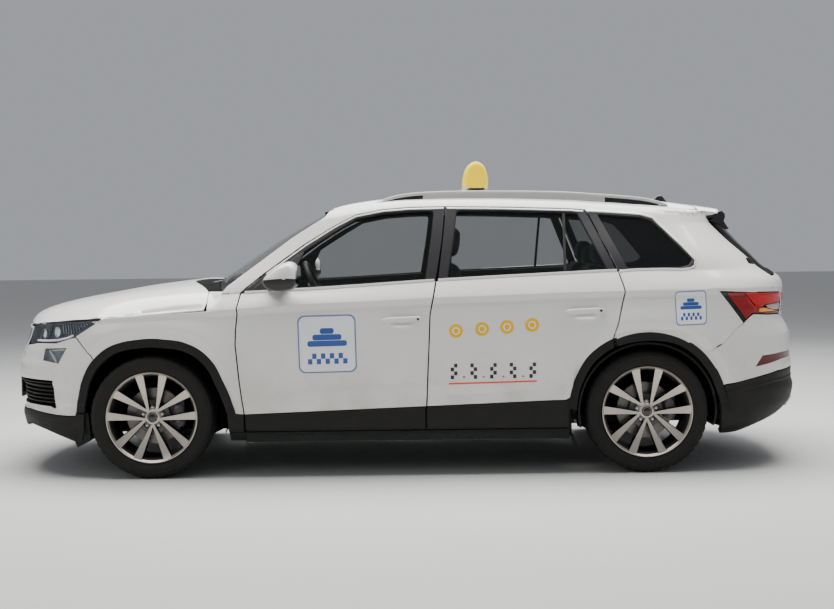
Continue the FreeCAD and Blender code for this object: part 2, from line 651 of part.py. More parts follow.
def make_fender(sgn):
    xs = [-2110, -2020, -1930, -1840, -1740, -1640, -1540, -1440, -1340, -1240, -1140, -1050, -963]
    secs = []
    for x in xs:
        zs_ = Z_SHOULDER(x)
        zz = [340, 440, 560, 680, 780, 850, zs_ - 38, zs_ - 6]
        t = dim("skin_thick")
        out = [(x, sgn * side(x, z), z) for z in zz]
        inn = [(x, sgn * (side(x, z) - t), z) for z in zz]
        secs.append(out + inn[::-1])
    s = loft(secs)
    # rear limit: the door cut, front limit: lamp and bumper seam
    rear = [(-3000, 100)] + [(x - HALF, z) for x, z in CUT_A[:9]] + [(-3000, 1060)]
    s = s.common(prism_y(rear, 500, 1000, 0.0, sgn))
    s = s.cut(prism_y(HEADLAMP, 100, 1000, 0.0, sgn))
    s = s.cut(prism_y(SEAM_F, 100, 1000, 0.0, sgn))
    opening = [(-2000, 100)] + arch_edge(CF, math.radians(185), math.radians(-10), 21, -CLAD_WIDTH) + [(-1000, 100)]
    opening[0] = (opening[1][0], 100)
    opening[-1] = (opening[-2][0], 100)
    s = s.cut(prism_y(opening, 300, 1000, 0.0, sgn))
    pieces = [p for p in s.Solids if p.Volume > 1e5]
    s = pieces[0] if len(pieces) == 1 else Part.makeCompound(pieces)
    # liner
    o = Part.makeCylinder(396, 450, V(-1444.5, min(sgn * 462, sgn * 912), 346), V(0, 1, 0))
    i = Part.makeCylinder(388, 442, V(-1444.5, min(sgn * 470, sgn * 912), 346), V(0, 1, 0))
    liner = o.cut(i).common(box(-1900, -1000, -950, 950, 300, 800))
    zone = side_wall([-1900, -1700, -1560, -1444, -1200, -1000], lambda x: linspace(250, 900, 8), lambda x, z: 500.0, sgn)
    liner = liner.common(zone)
    # shelf joining the liner to the fender and the inner apron
    apron = box(-1835, -1056, min(sgn * 462, sgn * 470), max(sgn * 462, sgn * 470), 300, 860)
    s = s.fuse(liner).fuse(apron)
    bridge = box(-1460, -1430, min(sgn * 462, sgn * 905), max(sgn * 462, sgn * 905), 738, 770)
    bridge = bridge.common(side_wall([-1500, -1444, -1400], lambda x: linspace(700, 800, 3), lambda x, z: 500.0, sgn))
    return s.fuse(bridge)


both("front_fender_%s", make_fender)


# ------------------------------------------------------------------ bumpers
def ring_section(z, front, t, y_end_x):
    """Closed plan curve of the body end at height z, from side to side."""
    pts = []
    b = side_base(X_CORNER_F if front else XB(z), z)
    x0 = X_CORNER_F if front else XB(z)
    xn = X_NOSE(z) if front else X_TAIL(z)
    p, qq = (P_F, Q_F) if front else (P_R, Q_R)

    def curve(b_, n_, n):
        out = []
        # start angle where x equals y_end_x
        tx = min(abs(y_end_x - x0) / abs(n_ - x0), 0.98)
        ys = b_ * (1 - tx ** p) ** (1 / qq)
        for k in range(-n, n + 1):
            f = k / float(n)
            f = math.copysign(abs(f) ** 0.75, f)
            y = ys * f
            x = x0 + (n_ - x0) * (1 - (abs(y) / b_) ** qq) ** (1 / p)
            out.append((x, y, z))
        return out
    dirn = -1 if front else 1
    outer = curve(b, xn, 9)
    inner = curve(b - t, xn - dirn * t, 9)
    return outer + inner[::-1]


def make_front_bumper():
    zs = [165, 205, 242, 274, 330, 396, 445, 512, 545, 592, 629, 684, 730, 781, 852]
    s = loft([ring_section(z, True, 42.0, -1700.0) for z in zs], True)
    for sgn in (-1, 1):
        opening = [(CF.cx + max(math.hypot(x - CF.cx, z - CF.cz), 403) * math.cos(math.atan2(z - CF.cz, x - CF.cx)),
                    CF.cz + max(math.hypot(x - CF.cx, z - CF.cz), 403) * math.sin(math.atan2(z - CF.cz, x - CF.cx)))
                   for x, z in arch_edge(CF, math.radians(185), math.radians(60), 14, -CLAD_WIDTH)]
        opening = [(opening[0][0], 100)] + opening + [(-1400, 100)]
        s = s.cut(prism_y(opening, 300, 1000, 0.0, sgn))
        up = [(-1600, 1000), (-1600, 560), (-1726, 634), (-1781, 689), (-1868, 798), (-2127, 764), (-2169, 755), (-2450, 751), (-2450, 1000)]
        s = s.cut(prism_y(up, 0, 1000, 0.0, sgn))
    # grille opening and lower intake
    g = [(-505, 760), (-470, 575), (470, 575), (505, 760)]
    s = s.cut(prism_x(g, -2500, -1900))
    low = [(-520, 470), (-480, 330), (480, 330), (520, 470)]
    s = s.cut(prism_x(low, -2500, -1900))
    return s


feature("front_bumper", make_front_bumper())


def make_grille():
    secs = []
    for z in linspace(577, 835, 6):
        h = 468 + (z - 575) * 33 / 185.0 if z < 760 else 500 + (z - 760) * 0.05
        ys = [h * k for k in (-1, -0.8, -0.5, 0, 0.5, 0.8, 1)]
        out = [(nose_x(y, z) + 12, y, z) for y in ys]
        inn = [(nose_x(y, z) + 50, y, z) for y in ys]
        secs.append(out + inn[::-1])
    return loft(secs, True)


feature("grille", make_grille())


def make_headlamps():
    out = []
    for sgn in (-1, 1):
        s = loft([ring_section(z, True, 120.0, -1600.0) for z in (740, 800, 850, 920)], True)
        lamp = [(-1724, 895), (-2070, 865), (-2300, 848), (-2300, 762), (-2169, 762), (-2127, 769), (-1869, 804)]
        s = s.common(prism_y(lamp, 506, 1000, 0.0, sgn))
        out += s.Solids
    return Part.makeCompound(out)


feature("headlamps", make_headlamps())


def make_rear_bumper():
    zs = [195, 233, 265, 295, 335, 378, 448, 501, 540, 574, 624, 700, 749, 800, 892]
    s = loft([ring_section(z, False, 42.0, 1740.0) for z in zs], True)
    for sgn in (-1, 1):
        opening = arch_edge(CR, math.radians(120), math.radians(-10), 14, -CLAD_WIDTH)
        opening = [(1300, 100), (1300, 900)] + opening + [(opening[-1][0], 100)]
        s = s.cut(prism_y(opening, 300, 1000, 0.0, sgn))
        up = [(1600, 720), (1766, 724), (1857, 812), (1895, 835), (1960, 887), (2135, 877), (2420, 873),
              (2420, 1000), (1600, 1000)]
        s = s.cut(prism_y(up, 0, 1000, 0.0, sgn))
    s = s.cut(prism_x(gate_outline(GAP, 755, 1000), 1690, 2500))
    return s


feature("rear_bumper", make_rear_bumper())


def make_tail_lamps():
    out = []
    for sgn in (-1, 1):
        s = loft([ring_section(z, False, 60.0, 1700.0) for z in (830, 862, 900, 942, 1002, 1030)], True)
        lamp = [(1750, 1022), (1893, 839), (1959, 892), (2135, 882), (2400, 878), (2400, 1002), (2000, 1009)]
        s = s.common(prism_y(lamp, 598 + GAP, 1000, 0.0, sgn))
        s = s.cut(prism_x(gate_outline(GAP, 755, 1100), 1690, 2500))
        out += s.Solids
    return Part.makeCompound(out)


feature("tail_lamps", make_tail_lamps())


# ------------------------------------------------------------------ tailgate
def rear_shell(zs, t, half, n=6):
    secs = []
    for z in zs:
        h = half(z)
        ys = [h * k / float(n) for k in range(-n, n + 1)]
        out = [(tail_x(y, z), y, z) for y in ys]
        inn = [(tail_x(y, z) - t, y, z) for y in ys]
        secs.append(out + inn[::-1])
    return loft(secs, True)


GATE_HALF = Flat([(762, 585), (900, 598), (1000, 606), (1100, 632), (1300, 606), (1480, 560), (1560, 560)])
GLASS_G = [(-520, 1405), (-575, 1150), (-540, 1118), (540, 1118), (575, 1150), (520, 1405)]


def make_tailgate():
    low = rear_shell([762, 800, 862, 942, 1002, 1063, 1086, 1130, 1213, 1286, 1375, 1418, 1462], 62.0, GATE_HALF)
    low = low.cut(prism_x(GLASS_G, 1800, 2400))
    top = patch([1697, 1760, 1836, 1880, 1915], lambda x: [560 * k / 5.0 for k in range(-5, 6)],
                lambda x, y: roof_z(x, y), 34.0)
    top = top.common(prism_z([(1697, -560), (1697, 560)] + [(tail_x(y, 1480) + 8, y) for y in linspace(560, -560, 13)],
                             1300, 1700))
    # inner top beam between the roof edge and the glass
    beam = rear_shell([1430, 1462, 1485], 90.0, lambda z: 556.0)
    s = low.fuse(top).fuse(beam)
    # inner corners that would meet the rear pillars while it swings up
    for sgn in (-1, 1):
        s = s.cut(box(1690, 1752, min(sgn * 561, sgn * 640), max(sgn * 561, sgn * 640), 1392, 1444))
    return s.cut(box(1400, 1698, -700, 700, 700, 1700))


GATE_SOLID = make_tailgate()
feature("tailgate", GATE_SOLID)


def make_gate_glass():
    secs = []
    for z in linspace(1100, 1425, 6):
        ys = [600 * k / 5.0 for k in range(-5, 6)]
        out = [(tail_x(y, z) - 9, y, z) for y in ys]
        inn = [(tail_x(y, z) - 14, y, z) for y in ys]
        secs.append(out + inn[::-1])
    return loft(secs, True).common(prism_x(GLASS_G, 1800, 2400))


feature("tailgate_glass", make_gate_glass())


def make_gate_lamps():
    out = []
    for sgn in (-1, 1):
        secs = []
        for z in (888, 942, 998):
            ys = linspace(330, 590, 5)
            o = [(tail_x(y, z) + 6, sgn * y, z) for y in ys]
            i = [(tail_x(y, z) + 0.0, sgn * y, z) for y in ys]
            secs.append(o + i[::-1])
        out += loft(secs, True).cut(GATE_SOLID).Solids
    return Part.makeCompound(out)


feature("tailgate_lamps", make_gate_lamps())


# ------------------------------------------------------------------ floor, cowl
def param(obj, prop, expr):
    obj.setExpression(prop, expr)


def pbox(name, lx, ly, lz, x, y, z):
    b = doc.addObject("Part::Box", name)
    for prop, val in (("Length", lx), ("Width", ly), ("Height", lz)):
        if isinstance(val, str):
            b.setExpression(prop, val)
        else:
            setattr(b, prop, val)
    pl = []
    for i, val in enumerate((x, y, z)):
        pl.append(0.0 if isinstance(val, str) else val)
    b.Placement = FreeCAD.Placement(V(*pl), FreeCAD.Rotation())
    for k, val in zip("xyz", (x, y, z)):
        if isinstance(val, str):
            b.setExpression("Placement.Base." + k, val)
    return b


def pcyl(name, r, h, pos, axis=(0, 0, 1)):
    c = doc.addObject("Part::Cylinder", name)
    if isinstance(r, str):
        c.setExpression("Radius", r)
    else:
        c.Radius = r
    if isinstance(h, str):
        c.setExpression("Height", h)
    else:
        c.Height = h
    pl = [0.0 if isinstance(v, str) else v for v in pos]
    c.Placement = FreeCAD.Placement(V(*pl), FreeCAD.Rotation(V(0, 0, 1), V(*axis)))
    for k, val in zip("xyz", pos):
        if isinstance(val, str):
            c.setExpression("Placement.Base." + k, val)
    return c


def pfuse(name, objs):
    f = doc.addObject("Part::MultiFuse", name)
    f.Shapes = objs
    return f


def pcut(name, a, b):
    c = doc.addObject("Part::Cut", name)
    c.Base = a
    c.Tool = b
    return c


def compound(name, objs):
    c = doc.addObject("Part::Compound", name)
    c.Links = objs
    return c


# floor pan: cabin floor, tunnel, heel board, load floor
fl = [pbox("floor_main", 1900, "params.cabin_half * 2", "params.floor_thick", -1000, "-params.cabin_half", "params.floor_z"),
      pbox("floor_tunnel", 2100, 260, 90, -1000, -130, 250),
      pbox("floor_heel", 26, 1270, 250, 880, -635, "params.floor_z"),
      pbox("floor_bench", 260, 1270, 26, 880, -635, 456),
      pbox("floor_step", 26, 1270, 160, 1118, -635, 456),
      pbox("floor_load", 1000, 1278, 26, 1118, -639, 590),
      pbox("floor_front", 78, 920, 40, -1078, -460, 232),
      pbox("floor_back", 30, 1200, 150, 2088, -600, 590)]
keep(pfuse("floor_pan", fl), "floor_pan")

cw = [pbox("cowl_wall", 26, "params.cabin_half * 2 - 10", 770, -1026, "-params.cabin_half + 5", 272),
      pbox("cowl_shelf", 270, 1240, 14, -1286, -620, 1030)]
keep(pfuse("cowl_panel", cw), "cowl_panel")

# engine block, one plain block
eb = pbox("engine_box", "params.engine_length", "params.engine_width", "params.engine_height",
          -1760, "-params.engine_width / 2", 330)
keep(eb, "engine_block")


# ------------------------------------------------------------------ sketch helpers
def plane_of(body, role):
    for f in body.Origin.OriginFeatures:
        if f.Role == role:
            return f


def new_body(name):
    b = doc.addObject("PartDesign::Body", name)
    try:
        b.AllowCompound = True
    except Exception:
        pass
    return b


def sketch_on(body, role, name, loops):
    s = body.newObject("Sketcher::SketchObject", name)
    s.AttachmentSupport = [(plane_of(body, role), "")]
    s.MapMode = "FlatFace"
    for loop in loops:
        n = len(loop)
        first = s.GeometryCount
        for i in range(n):
            a, b = loop[i], loop[(i + 1) % n]
            s.addGeometry(Part.LineSegment(V(a[0], a[1], 0), V(b[0], b[1], 0)), False)
        import Sketcher
        for i in range(n):
            s.addConstraint(Sketcher.Constraint("Coincident", first + i, 2, first + (i + 1) % n, 1))
    return s


def place(body, x, y, z, rot=None):
    pos = [0.0 if isinstance(v, str) else v for v in (x, y, z)]
    body.Placement = FreeCAD.Placement(V(*pos), rot or FreeCAD.Rotation())
    for k, val in zip("xyz", (x, y, z)):
        if isinstance(val, str):
            body.setExpression("Placement.Base." + k, val)


# ------------------------------------------------------------------ wheels
TR, TW, BR = dim("tyre_radius"), dim("tyre_half_width"), dim("bead_radius")
LIP, RW, BI = dim("rim_lip_radius"), dim("rim_half_width"), dim("barrel_inner")

import Sketcher


def bind_point(s, geo, pos, kind, name, expr):
    i = s.addConstraint(Sketcher.Constraint(kind, -1, 1, geo, pos, 1.0))
    return i


def make_tyre(label, px, py):
    b = new_body("body_" + label)
    prof = [(-98, BR + 0.3), (-103, 262), (-TW, 292), (-114, 322), (-98, 340), (-60, TR), (60, TR), (98, 340),
            (114, 322), (TW, 292), (103, 262), (98, BR + 0.3)]
    s = sketch_on(b, "YZ_Plane", "profile_" + label, [prof])
    r = b.newObject("PartDesign::Revolution", "rev_" + label)
    r.Profile = s
    r.ReferenceAxis = (s, ["H_Axis"])
    r.Angle = 360
    b.Tip = r
    place(b, px, py, "params.axle_height")
    keep(b, label)


def make_wheel(label, px, py, out):
    """out is -1 when the outer face looks to -Y."""
    b = new_body("body_" + label)
    q = out

    def m(pts):
        return [(q * a, r) for a, r in pts]
    barrel = m([(RW, LIP), (RW - 7, LIP), (RW - 9, BR), (-RW + 9, BR), (-RW + 7, LIP), (-RW, LIP), (-RW, 238),
                (-RW + 14, BI + 8), (-40, BI), (60, BI), (RW - 12, 240)])
    hub = m([(-14, 30), (-14, 150), (-14, dim("disc_radius")), (8, dim("disc_radius")), (8, 72), (60, 66), (78, 62), (84, 30),
             (84, 0), (40, 0), (40, dim("hub_bore"))])
    s = sketch_on(b, "YZ_Plane", "profile_" + label, [barrel, hub])
    r = b.newObject("PartDesign::Revolution", "rev_" + label)
    r.Profile = s
    r.ReferenceAxis = (s, ["H_Axis"])
    r.Angle = 360
    b.Tip = r
    s2 = sketch_on(b, "YZ_Plane", "spoke_" + label,
                   [m([(58, 55), (84, 55), (94, 150), (104, 236), (80, 236), (72, 150)])])
    p = b.newObject("PartDesign::Pad", "pad_" + label)
    p.Profile = s2
    p.Length = 34
    try:
        p.SideType = "Symmetric"
    except Exception:
        p.Midplane = True
    b.Tip = p
    pp = b.newObject("PartDesign::PolarPattern", "pat_" + label)
    pp.Originals = [p]
    pp.Axis = (plane_of(b, "Y_Axis"), [""])
    pp.Angle = 360
    pp.Occurrences = 10
    b.Tip = pp
    place(b, px, py, "params.axle_height")
    keep(b, label)


for end, ax, tr in (("front", "params.front_axle_x", "params.front_track_half"),
                    ("rear", "params.rear_axle_x", "params.rear_track_half")):
    for name, sg in (("left", "-"), ("right", "")):
        make_tyre("%s_tyre_%s" % (end, name), ax, sg + tr)
        make_wheel("%s_wheel_%s" % (end, name), ax, sg + tr, -1 if name == "left" else 1)


# ------------------------------------------------------------------ knuckles
def make_knuckle(label, sgn):
    yk = "-params.kingpin_y" if sgn < 0 else "params.kingpin_y"
    ax = "params.front_axle_x"
    up = pbox(label + "_upright", 56, 34, 232, ax + " - 28", yk + " - 17", 230)
    hub = pcyl(label + "_hub", 45, 34, (ax, yk + (" - 17"), "params.axle_height"), (0, 1, 0))
    stub = pcyl(label + "_stub", "params.stub_radius", 68, (ax, yk + (" - 70" if sgn < 0 else " + 2"), "params.axle_height"), (0, 1, 0))
    pin_lo = pcyl(label + "_pin_low", "params.pin_radius", 30, (ax, yk, 202), (0, 0, 1))
    pin_hi = pcyl(label + "_pin_high", "params.pin_radius", 26, (ax, yk, 460), (0, 0, 1))
    # caliper behind the axle, over the disc
    body = pbox(label + "_caliper", 76, 84, 130, ax + " + 96", yk + (" - 79" if sgn < 0 else " - 5"), 312)
    slot = pcyl(label + "_slot", "params.disc_radius + 8", 34,
                (ax, yk + (" - 57 - 6" if sgn < 0 else " + 29"), "params.axle_height"), (0, 1, 0))
    cal = pcut(label + "_caliper_cut", body, slot)
    arm = pbox(label + "_arm", 110, 20, 50, ax + " + 10", yk + (" - 10" if sgn < 0 else " - 10"), 330)
    keep(pfuse("fuse_" + label, [up, hub, stub, pin_lo, pin_hi, cal, arm]), label)


make_knuckle("knuckle_left", -1)
make_knuckle("knuckle_right", 1)


# ------------------------------------------------------------------ front subframe with arms and struts
def arm_shape(z0, z1):
    side = [(140, 430), (110, 550), (60, 600), (30, 655), (28, 722), (21, 752), (12, 765)]
    quarter = [(-1444.5 + x, y) for x, y in side]
    pts = quarter + [(-1444.5 - x, y) for x, y in side[::-1]] + [(-1444.5 - x, -y) for x, y in side]
    pts += [(-1444.5 + x, -y) for x, y in side[::-1]]
    return prism_z(pts, z0, z1)


def link_shape(z0, z1):
    c = -1444.5
    side = [(12, 765), (21, 752), (26, 722), (26, 640), (40, 610), (40, 525)]
    return [(c - x, y) for x, y in side] + [(c + x, y) for x, y in side[::-1]]


fa = doc.addObject("Part::Feature", "lower_arms")
fa.Shape = arm_shape(200, 228)
cross = pbox("cross_front", 90, 860, 70, -1740, -430, 205)
longl = pbox("cross_left", 640, 60, 50, -1720, -430, 215)
longr = pbox("cross_right", 640, 60, 50, -1720, 370, 215)
rackb = pcyl("rack_tube", 24, 820, (-1350, -410, 247), (0, 1, 0))
parts = [fa, cross, longl, longr, rackb]
tools = []
for n, sgn in (("l", -1), ("r", 1)):
    lk = doc.addObject("Part::Feature", "upper_link_" + n)
    ring_pts = [V(x, sgn * y, 464) for x, y in link_shape(0, 0)]
    lk.Shape = Part.Face(Part.makePolygon(ring_pts + [ring_pts[0]])).extrude(V(0, 0, 26))
    st = pcyl("strut_" + n, 28, 250, ("params.front_axle_x", sgn * 568.0, 476), (0, 0, 1))
    parts += [lk, st]
    yk = "-params.kingpin_y" if sgn < 0 else "params.kingpin_y"
    tools.append(pcyl("bore_low_" + n, "params.pin_bore", 60, ("params.front_axle_x", yk, 190), (0, 0, 1)))
    tools.append(pcyl("bore_high_" + n, "params.pin_bore", 60, ("params.front_axle_x", yk, 450), (0, 0, 1)))
fsub = pfuse("front_subframe_solid", parts)
ftool = pfuse("front_subframe_bores", tools)
keep(pcut("front_subframe", fsub, ftool), "front_subframe")

# ------------------------------------------------------------------ rear subframe
parts = [pbox("rear_beam", 110, "params.beam_half * 2", 70, "params.rear_axle_x - 55", "-params.beam_half", 290),
         pbox("rear_cross", 90, 900, 60, 1120, -450, 300),
         pbox("rear_long_l", 380, 60, 60, 1120, -450, 300),
         pbox("rear_long_r", 380, 60, 60, 1120, 390, 300)]
for n, sgn in (("l", -1), ("r", 1)):
    yt = "-params.rear_track_half" if sgn < 0 else "params.rear_track_half"
    parts.append(pbox("rear_link_" + n, 70, 200, 50, "params.rear_axle_x - 35", -748 if sgn < 0 else 548, 300))
    parts.append(pcyl("rear_hub_" + n, 45, 34, ("params.rear_axle_x", yt + (" + 26" if sgn < 0 else " - 60"), "params.axle_height"), (0, 1, 0)))
    parts.append(pcyl("rear_stub_" + n, "params.stub_radius", 66, ("params.rear_axle_x", yt + (" - 30" if sgn < 0 else " - 36"), "params.axle_height"), (0, 1, 0)))
    cal = pbox("rear_caliper_" + n, 70, 84, 120, "params.rear_axle_x + 98", yt + (" - 36" if sgn < 0 else " - 48"), 322)
    slot = pcyl("rear_slot_" + n, "params.disc_radius + 8", 34, ("params.rear_axle_x", yt + (" - 14" if sgn < 0 else " - 20"), "params.axle_height"), (0, 1, 0))
    parts.append(pcut("rear_caliper_cut_" + n, cal, slot))
    parts.append(pbox("rear_arm_" + n, 130, 20, 50, "params.rear_axle_x + 10", yt + (" + 28" if sgn < 0 else " - 48"), 326))
    parts.append(pcyl("rear_spring_" + n, 48, 230, ("params.rear_axle_x - 20", sgn * 520.0, 355), (0, 0, 1)))
keep(pfuse("rear_subframe", parts), "rear_subframe")

# ------------------------------------------------------------------ exhaust
ex = [pcyl("exhaust_pipe", "params.exhaust_radius", 2150, (-1080, 0, 190), (1, 0, 0)),
      pcyl("exhaust_can", 40, 420, (-560, 0, 190), (1, 0, 0)),
      pcyl("exhaust_rise", "params.exhaust_radius", 700, (1060, 0, 190), (0.9806, 0, 0.196)),
      pcyl("exhaust_box", "params.muffler_radius", 760, (1830, -380, 330), (0, 1, 0))]
keep(pfuse("exhaust", ex), "exhaust")

# ------------------------------------------------------------------ cabin
def pad_xz(label, loop, half, px=0.0, py=0.0, pz=0.0, fillet=0.0, expr=None):
    """Side-view profile padded symmetrically across Y."""
    b = new_body("body_" + label)
    s = sketch_on(b, "XZ_Plane", "sketch_" + label, [loop])
    p = b.newObject("PartDesign::Pad", "pad_" + label)
    p.Profile = s
    if expr:
        p.setExpression("Length", expr)
    else:
        p.Length = half * 2
    try:
        p.SideType = "Symmetric"
    except Exception:
        p.Midplane = True
    b.Tip = p
    place(b, px, py, pz)
    return b


dash = pad_xz("dashboard", [(-1000, 700), (-1000, 1062), (-900, 1078), (-800, 1062), (-745, 1010), (-735, 900), (-800, 780), (-830, 700)], 690)
tilt = math.radians(dim("steer_tilt"))
axis = V(math.cos(tilt), 0, math.sin(tilt))
hubc = V(dim("steer_x"), dim("steer_y"), dim("steer_z"))
col = doc.addObject("Part::Cylinder", "column_shroud")
col.Radius = 44
col.Height = 250
col.Placement = FreeCAD.Placement(hubc - axis * 320, FreeCAD.Rotation(V(0, 0, 1), axis))
colb = doc.addObject("Part::Cylinder", "column_bore")
colb.Radius = 22.06
colb.Height = 100
colb.Placement = FreeCAD.Placement(hubc - axis * 164, FreeCAD.Rotation(V(0, 0, 1), axis))
keep(pcut("dashboard", pfuse("dash_and_column", [dash, col]), colb), "dashboard")
cons = pad_xz("centre_console", [(-830, 341), (-830, 690), (-700, 690), (-560, 560), (-100, 560), (-80, 640), (250, 640), (250, 341)], 105)
keep(cons, "centre_console")

seat_prof = [(-330, 262), (-350, 470), (-440, 500), (-460, 560), (-430, 640), (-300, 655), (20, 610), (90, 640), (190, 1180), (225, 1240), (225, 1400),
             (300, 1400), (330, 1240), (300, 1120), (190, 600), (150, 470), (120, 262)]
seats = []
for n, sgn in (("driver", -1), ("passenger", 1)):
    seats.append(pad_xz("seat_" + n, seat_prof, 235, 0, sgn * 370.0, 0))
keep(compound("front_seats", seats), "front_seats")
bench_prof = [(560, 482), (560, 600), (600, 640), (960, 600), (1100, 1180), (1120, 1300), (1180, 1300), (1210, 1180), (1112, 645), (1095, 482)]
keep(pad_xz("rear_bench", bench_prof, 600), "rear_bench")

# steering wheel on its column
tilt = math.radians(dim("steer_tilt"))
ring = doc.addObject("Part::Torus", "steer_ring")
ring.setExpression("Radius1", "params.wheel_rim_r")
ring.setExpression("Radius2", "params.wheel_rim_tube")
hub = doc.addObject("Part::Cylinder", "steer_hub")
hub.Radius = 60
hub.Height = 60
hub.Placement = FreeCAD.Placement(V(0, 0, -50), FreeCAD.Rotation())
sp1 = doc.addObject("Part::Box", "steer_spokes")
sp1.Length, sp1.Width, sp1.Height = 330, 40, 18
sp1.Placement = FreeCAD.Placement(V(-165, -20, -12), FreeCAD.Rotation())
sp2 = doc.addObject("Part::Box", "steer_spoke_low")
sp2.Length, sp2.Width, sp2.Height = 40, 165, 18
sp2.Placement = FreeCAD.Placement(V(-20, -165, -12), FreeCAD.Rotation())
shaft = doc.addObject("Part::Cylinder", "steer_shaft")
shaft.Radius = 22
shaft.Height = 110
shaft.Placement = FreeCAD.Placement(V(0, 0, -158), FreeCAD.Rotation())
sw = pfuse("steering_wheel", [ring, hub, sp1, sp2, shaft])
axis = V(math.cos(tilt), 0, math.sin(tilt))
sw.Placement = FreeCAD.Placement(V(dim("steer_x"), dim("steer_y"), dim("steer_z")),
                                 FreeCAD.Rotation(V(0, 1, 0), V(-math.sin(tilt), 0, math.cos(tilt)), axis, "ZXY"))
for k in "xyz":
    sw.setExpression("Placement.Base." + k, "params.steer_" + k)
keep(sw, "steering_wheel")


# ------------------------------------------------------------------ mirrors
def make_mirror(sgn):
    secs = []
    for y, x0, x1, z0, z1 in ((925, -745, -640, 1075, 1160), (960, -775, -610, 1082, 1200), (1040, -780, -598, 1090, 1222),
                              (1110, -765, -605, 1100, 1218), (1140, -735, -630, 1125, 1195)):
        c = 18
        secs.append([(x0, sgn * y, z0 + c), (x0 + c, sgn * y, z0), (x1 - c, sgn * y, z0), (x1, sgn * y, z0 + c),
                     (x1, sgn * y, z1 - c), (x1 - c, sgn * y, z1), (x0 + c, sgn * y, z1), (x0, sgn * y, z1 - c)])
    s = loft(secs, True)
    secs = []
    for y, x0, x1, z0, z1 in ((845, -790, -690, 1052, 1078), (935, -740, -650, 1076, 1100)):
        secs.append([(x0, sgn * y, z0), (x1, sgn * y, z0), (x1, sgn * y, z1), (x0, sgn * y, z1)])
    foot = loft(secs, True)
    door = [o for o, l in NODES if l == "front_door_%s" % ("left" if sgn < 0 else "right")][0].Shape
    pane = [o for o, l in NODES if l == "front_door_glass_%s" % ("left" if sgn < 0 else "right")][0].Shape
    sol = s.fuse(foot).cut(door).cut(pane)
    return sorted(sol.Solids, key=lambda q: -q.Volume)[0]


both("mirror_%s", make_mirror)

# ------------------------------------------------------------------ roof equipment
def make_rails():
    out = []
    for sgn in (-1, 1):
        top = Curve([(-172, 1551), (-120, 1570), (-43, 1590), (83, 1604), (311, 1610), (602, 1607), (892, 1600),
                     (1070, 1588), (1248, 1574), (1367, 1561), (1456, 1542), (1521, 1522)])
        secs = []
        ry = dim("rail_y")
        for x in linspace(-168, 1518, 13):
            yy = sgn * (ry - (0 if x < 900 else (x - 900) * 0.03))
            zb = roof_z(x, abs(yy)) + 0.3
            zt = max(top(x), zb + 6)
            zl = zt - 26 if (-40 < x < 1400) else zb
            secs.append([(x, yy - 17, max(zl, zb)), (x, yy + 17, max(zl, zb)), (x, yy + 13, zt), (x, yy - 13, zt)])
        s = loft(secs, True)
        for xf in (-60, 640, 1400):
            yy = sgn * (ry - (0 if xf < 900 else (xf - 900) * 0.03))
            zt = top(xf) - 10
            zb = min(roof_z(xf - 60, abs(yy)), roof_z(xf + 60, abs(yy))) - 4
            s = s.fuse(box(xf - 60, xf + 60, yy - 15, yy + 15, zb, zt))
        s = s.cut(patch(linspace(-300, 1650, 12), lambda x: roof_ys(x, 0.5), roof_z, 60.0)).cut(ROOF)
        out += [p for p in s.Solids if p.Volume > 1e4]
    return Part.makeCompound(out)


feature("roof_rails", make_rails())

sb = new_body("body_roof_sign")
L, Wd, Hh = dim("sign_length"), dim("sign_width"), dim("sign_height")
s = sketch_on(sb, "XZ_Plane", "sketch_roof_sign",
              [[(-66, 0), (-75, 38), (-58, 95), (-30, 148), (0, 163), (30, 150), (58, 95), (75, 38), (70, 0), (52, -30), (52, -46), (-52, -46), (-52, -30)]])
p = sb.newObject("PartDesign::Pad", "pad_roof_sign")
p.Profile = s
p.setExpression("Length", "params.sign_width")
try:
    p.SideType = "Symmetric"
except Exception:
    p.Midplane = True
sb.Tip = p
place(sb, "params.sign_x", 0.0, 1642)
roof_obj = [o for o, l in NODES if l == "roof_panel"][0]
keep(pcut("roof_sign", sb, roof_obj), "roof_sign")

ab = new_body("body_roof_antenna")
s = sketch_on(ab, "XZ_Plane", "sketch_roof_antenna", [[(-75, -8), (-75, 0), (-10, 40), (22, 62), (30, 58), (36, 0), (36, -8)]])
p = ab.newObject("PartDesign::Pad", "pad_roof_antenna")
p.Profile = s
p.Length = 26
try:
    p.SideType = "Symmetric"
except Exception:
    p.Midplane = True
ab.Tip = p
place(ab, 1585, 0.0, 1544)
keep(pcut("roof_antenna", ab, roof_obj), "roof_antenna")

# ------------------------------------------------------------------ check and write
doc.recompute()
bad = []
for obj in doc.Objects:
    st = [str(v) for v in obj.State]
    if "Invalid" in st or "Error" in st:
        bad.append("%s %s" % (obj.Name, st))
for obj, label in NODES:
    sh = obj.Shape
    if sh.isNull() or not sh.isValid() or sh.Volume < 1:
        bad.append("%s shape null=%s" % (label, sh.isNull()))
if bad:
    print("\n".join(bad))
    raise SystemExit("some objects failed")
os.makedirs("parts", exist_ok=True)
for obj, label in NODES:
    obj.Shape.exportStep("parts/%s.step" % label)
    bb = obj.Shape.BoundBox
    print("%-24s %2d solids %9.1f cm3  x %7.1f %7.1f  y %7.1f %7.1f  z %7.1f %7.1f" % (
        label, len(obj.Shape.Solids), obj.Shape.Volume / 1000.0, bb.XMin, bb.XMax, bb.YMin, bb.YMax, bb.ZMin, bb.ZMax))
print(len(NODES), "nodes")
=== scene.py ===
import json
import math

import bpy
import bmesh
import numpy as np
from mathutils import Matrix, Vector
from mathutils.geometry import delaunay_2d_cdt

